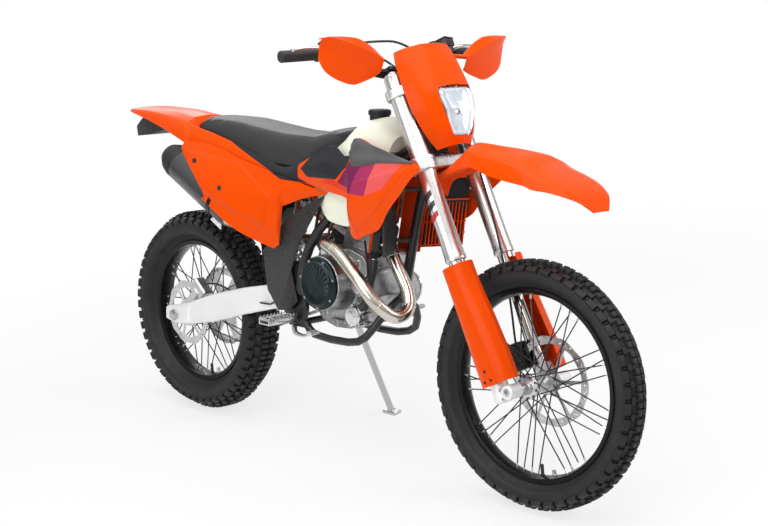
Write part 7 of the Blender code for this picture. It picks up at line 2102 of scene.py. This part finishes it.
for side in (-1, 1):
    rows = side_panel_rows(side)
    for x, z in ((0.154, 0.876), (0.298, 0.802)):
        at = Vector((x, outermost(rows, x, z), z))
        turned([(0.0048, -0.002), (0.0048, 0.0012), (0.0060, 0.0018), (0.0092, 0.0012),
                (0.0098, 0.0), (0.0098, -0.002)], at, LEFT * side, 28, True, grommets)
        # The inner disc fills the grommet's hole, proud of the panel: painted shade where the open
        # hole shows dark.
        turned([(0, -0.0015), (0.0055, -0.0015), (0.0055, 0.0009), (0, 0.0009)], at, LEFT * side,
               20, bm=grommets)
fixed("panel_grommets", grommets, grip_rubber)
RIM_FITTINGS = ((-1.45, 0.034, 0.0050, smooth_black, "valve_cap"),
                (-1.28, 0.018, 0.0062, zinc_steel, "rim_lock"))
for label, axle, rim, body, stance in (("front", FRONT_AXLE, FRONT_RIM, "front_wheel", STEERED),
                                       ("rear", REAR_AXLE, REAR_RIM, "rear_wheel", STANCE)):
    for a, tall, radius, finish, what in RIM_FITTINGS:
        out = Vector((math.cos(a), 0, math.sin(a)))
        foot = axle + out * (rim[0] - RIM_DEEP + 0.002)
        bm = rounded_bar(foot, foot - out * tall, radius, 0.25, 20)
        rounded_bar(foot, foot - out * 0.006, radius * 1.35, 0.2, 6, bm)
        piece(label + "_" + what, bm, finish, body, (), stance)
tail_red = grained(("red_tail_lens", (0.45, 0.010, 0.008), 0.15),
                   (0.01, 0.03, 0.15), (0.004,), 0.00006)
fixed("tail_lens", brick((-0.3262, 0, 0.944), (0.0030, 0.026, 0.0085), 0.0018), tail_red)
print("pieces so far", len(PIECES))

# %% [markdown]
# The open engine. Its castings carry many small things that catch the light: covers with their
# own screws, water hoses with bands, a plug lead, the throttle body, the brake pedal, and pegs
# with teeth that hold a boot.

# %% Cylinder head, covers, hoses, pedal and pegs
CYLINDER = Matrix.Translation((0.815, 0, 0.662)) @ Matrix.Rotation(math.radians(16), 4, "Y")
head_extra = bmesh.new()
brick((0.002, 0, 0.176), (0.048, 0.044, 0.013), 0.006, segments=3, bm=head_extra)
brick((0.002, 0, 0.190), (0.030, 0.030, 0.006), 0.004, segments=2, bm=head_extra)
for rise in (0.018, 0.034, 0.050, 0.066, 0.082):
    turned([(0.050, rise - 0.0022), (0.0655, rise - 0.0016), (0.0655, rise + 0.0016),
            (0.050, rise + 0.0022)], (0, 0, 0), (0, 0, 1), 48, True, head_extra)
for side in (1, -1):
    for lead in (-0.042, 0.042):
        rounded_bar((lead, side * 0.046, 0.090), (lead, side * 0.046, 0.168), 0.0085, 0.2, 16,
                    head_extra)
    rounded_bar((0.0, side * 0.050, 0.120), (0.0, side * 0.064, 0.120), 0.017, 0.2, 24, head_extra)
    rounded_bar((0.0, side * 0.050, 0.152), (0.0, side * 0.060, 0.152), 0.011, 0.2, 24, head_extra)
head_extra.transform(CYLINDER)
cast("cast_cylinder_head", "cylinder_head", 0.0021, 2, engine_alloy, "motorcycle",
     head_extra)
head_screws = [(CYLINDER @ Vector((lead, side * 0.036, 0.1895)),
                CYLINDER.to_3x3() @ Vector((0, 0, 1)))
               for lead in (-0.036, 0.040) for side in (1, -1)]
for side in (1, -1):
    for a in (0.5, 2.6, 4.7):
        at = Vector((math.cos(a) * 0.012, side * 0.0645, 0.120 + math.sin(a) * 0.012))
        head_screws.append((CYLINDER @ at, LEFT * side))
covers = bmesh.new()
ROUND_COVERS = ((0.872, 0.468, 0.029, 0.124, 5), (0.880, 0.556, 0.020, 0.112, 3),
                (0.742, 0.640, 0.025, 0.106, 3))      # (ahead, up, radius, out, screws)
for x, z, r, reach, holds in ROUND_COVERS:
    middle = Vector((x, -reach, z))
    turned([(0, -0.004), (r, -0.004), (r + 0.001, 0.000), (r * 0.93, 0.0045), (r * 0.62, 0.0055),
            (r * 0.55, 0.0090), (r * 0.30, 0.0100), (0, 0.0090)], middle, RIGHT, 40, bm=covers)
    for a in angles(holds, 0.4):
        at = middle + Vector((math.cos(a) * r * 1.10, 0.004, math.sin(a) * r * 1.10))
        rounded_bar(at - RIGHT * 0.016, at + RIGHT * 0.004, 0.0060, 0.2, 16, covers)
        head_screws.append((at + RIGHT * 0.0042, RIGHT))
ignition = Vector((0.840, 0.150, 0.520))
turned([(0, -0.004), (0.052, -0.004), (0.0535, 0.0), (0.050, 0.0026), (0.040, 0.0030),
        (0.036, 0.0058), (0.014, 0.0066), (0, 0.0066)], ignition, LEFT, 56, bm=covers)
for a in angles(5, 0.2):
    head_screws.append((ignition + Vector((math.cos(a) * 0.046, 0.0032, math.sin(a) * 0.046)),
                        LEFT))
fixed("screwed_covers", covers, machined_alloy, sharp=40)
screws("head_and_cover_screws", head_screws, 0.0040, 0.0032, zinc_steel, "motorcycle")
WATER_HOSES = (
    (((0.884, -0.106, 0.486), (0.915, -0.118, 0.510), (0.942, -0.122, 0.560),
      (0.952, -0.112, 0.625), (0.950, -0.102, 0.676)), 0.0115),
    (((0.862, -0.040, 0.800), (0.892, -0.060, 0.838), (0.925, -0.078, 0.858),
      (0.968, -0.092, 0.862)), 0.0105),
    (((0.862, 0.040, 0.800), (0.892, 0.060, 0.838), (0.925, 0.078, 0.858),
      (0.968, 0.092, 0.862)), 0.0105),
    (((0.830, 0.000, 0.800), (0.790, 0.006, 0.812), (0.730, 0.004, 0.812),
      (0.650, 0.000, 0.806)), 0.0250))
LEADS = (
    (((0.846, -0.064, 0.784), (0.858, -0.085, 0.812), (0.842, -0.088, 0.850),
      (0.800, -0.070, 0.880)), 0.0038),
    (((0.742, -0.100, 0.664), (0.740, -0.098, 0.700), (0.760, -0.086, 0.745),
      (0.800, -0.070, 0.780)), 0.0042),
    (((0.890, -0.090, 0.580), (0.915, -0.100, 0.600), (0.905, -0.096, 0.650),
      (0.870, -0.070, 0.690)), 0.0036),
    (((0.700, -0.088, 0.630), (0.682, -0.100, 0.690), (0.690, -0.092, 0.760),
      (0.720, -0.060, 0.810)), 0.0048),
    (((0.098, -0.086, 0.452), (0.160, -0.084, 0.462), (0.260, -0.092, 0.452),
      (0.360, -0.102, 0.440), (0.470, -0.112, 0.444), (0.535, -0.116, 0.480)), 0.0030))
coolant, bands_round = bmesh.new(), bmesh.new()
for path, wide in WATER_HOSES:
    path = [Vector(p) for p in path]
    tube(path, wide, 20, 8, coolant)
    for a, b in ((path[0], path[1]), (path[-1], path[-2])):
        spot, run = a + (b - a) * 0.45, (b - a).normalized()
        turned([(wide - 0.001, -0.0042), (wide + 0.0012, -0.0040), (wide + 0.0012, 0.0040),
                (wide - 0.001, 0.0042)], spot, run, 28, True, bands_round)
for path, wide in LEADS:
    tube(path, wide, 12, 8, coolant)
fixed("water_hoses_and_leads", coolant, hose_rubber)
fixed("hose_bands", bands_round, zinc_steel)
PEG_X, PEG_Z, PEG_HALF = 0.600, 0.427, 0.0225
pegs = bmesh.new()
for side in (-1, 1):
    for dx in (-PEG_HALF, PEG_HALF):
        brick((PEG_X + dx, side * 0.186, PEG_Z), (0.0022, 0.0545, 0.0105), 0.0008, bm=pegs)
    for k in range(5):
        brick((PEG_X, side * (0.134 + 0.026 * k), PEG_Z), (PEG_HALF, 0.0022, 0.0100), 0.0008,
              bm=pegs)
    for k in range(8):
        for dx in (-PEG_HALF, PEG_HALF):
            brick((PEG_X + dx, side * (0.138 + 0.0137 * k), 0.4395), (0.0020, 0.0036, 0.0040), 0,
                  taper=0.25, bm=pegs)
pedal = [Vector(p) for p in ((0.606, -0.124, 0.398), (0.640, -0.146, 0.384),
                             (0.690, -0.162, 0.386), (0.738, -0.168, 0.400))]
tube(pedal, [0.0095, 0.0075, 0.0065, 0.0060], 16, 6, pegs, 0.7)
brick(pedal[-1] + Vector((0.006, 0, 0.004)), (0.013, 0.017, 0.0035), 0.0012, bm=pegs)
for k in range(5):
    brick(pedal[-1] + Vector((0.006, -0.0140 + 0.007 * k, 0.0090)), (0.0120, 0.0012, 0.0026), 0,
          taper=0.5, bm=pegs)
SHIFT_TOE = Vector((0.869, 0.162, 0.457))
rounded_bar(SHIFT_TOE - LEFT * 0.008, SHIFT_TOE + LEFT * 0.012, 0.0075, 0.15, 20, pegs)
fixed("toothed_pegs_and_pedal", pegs, machined_alloy)
print("engine dressed, pieces", len(PIECES))

# %% A last import
import json
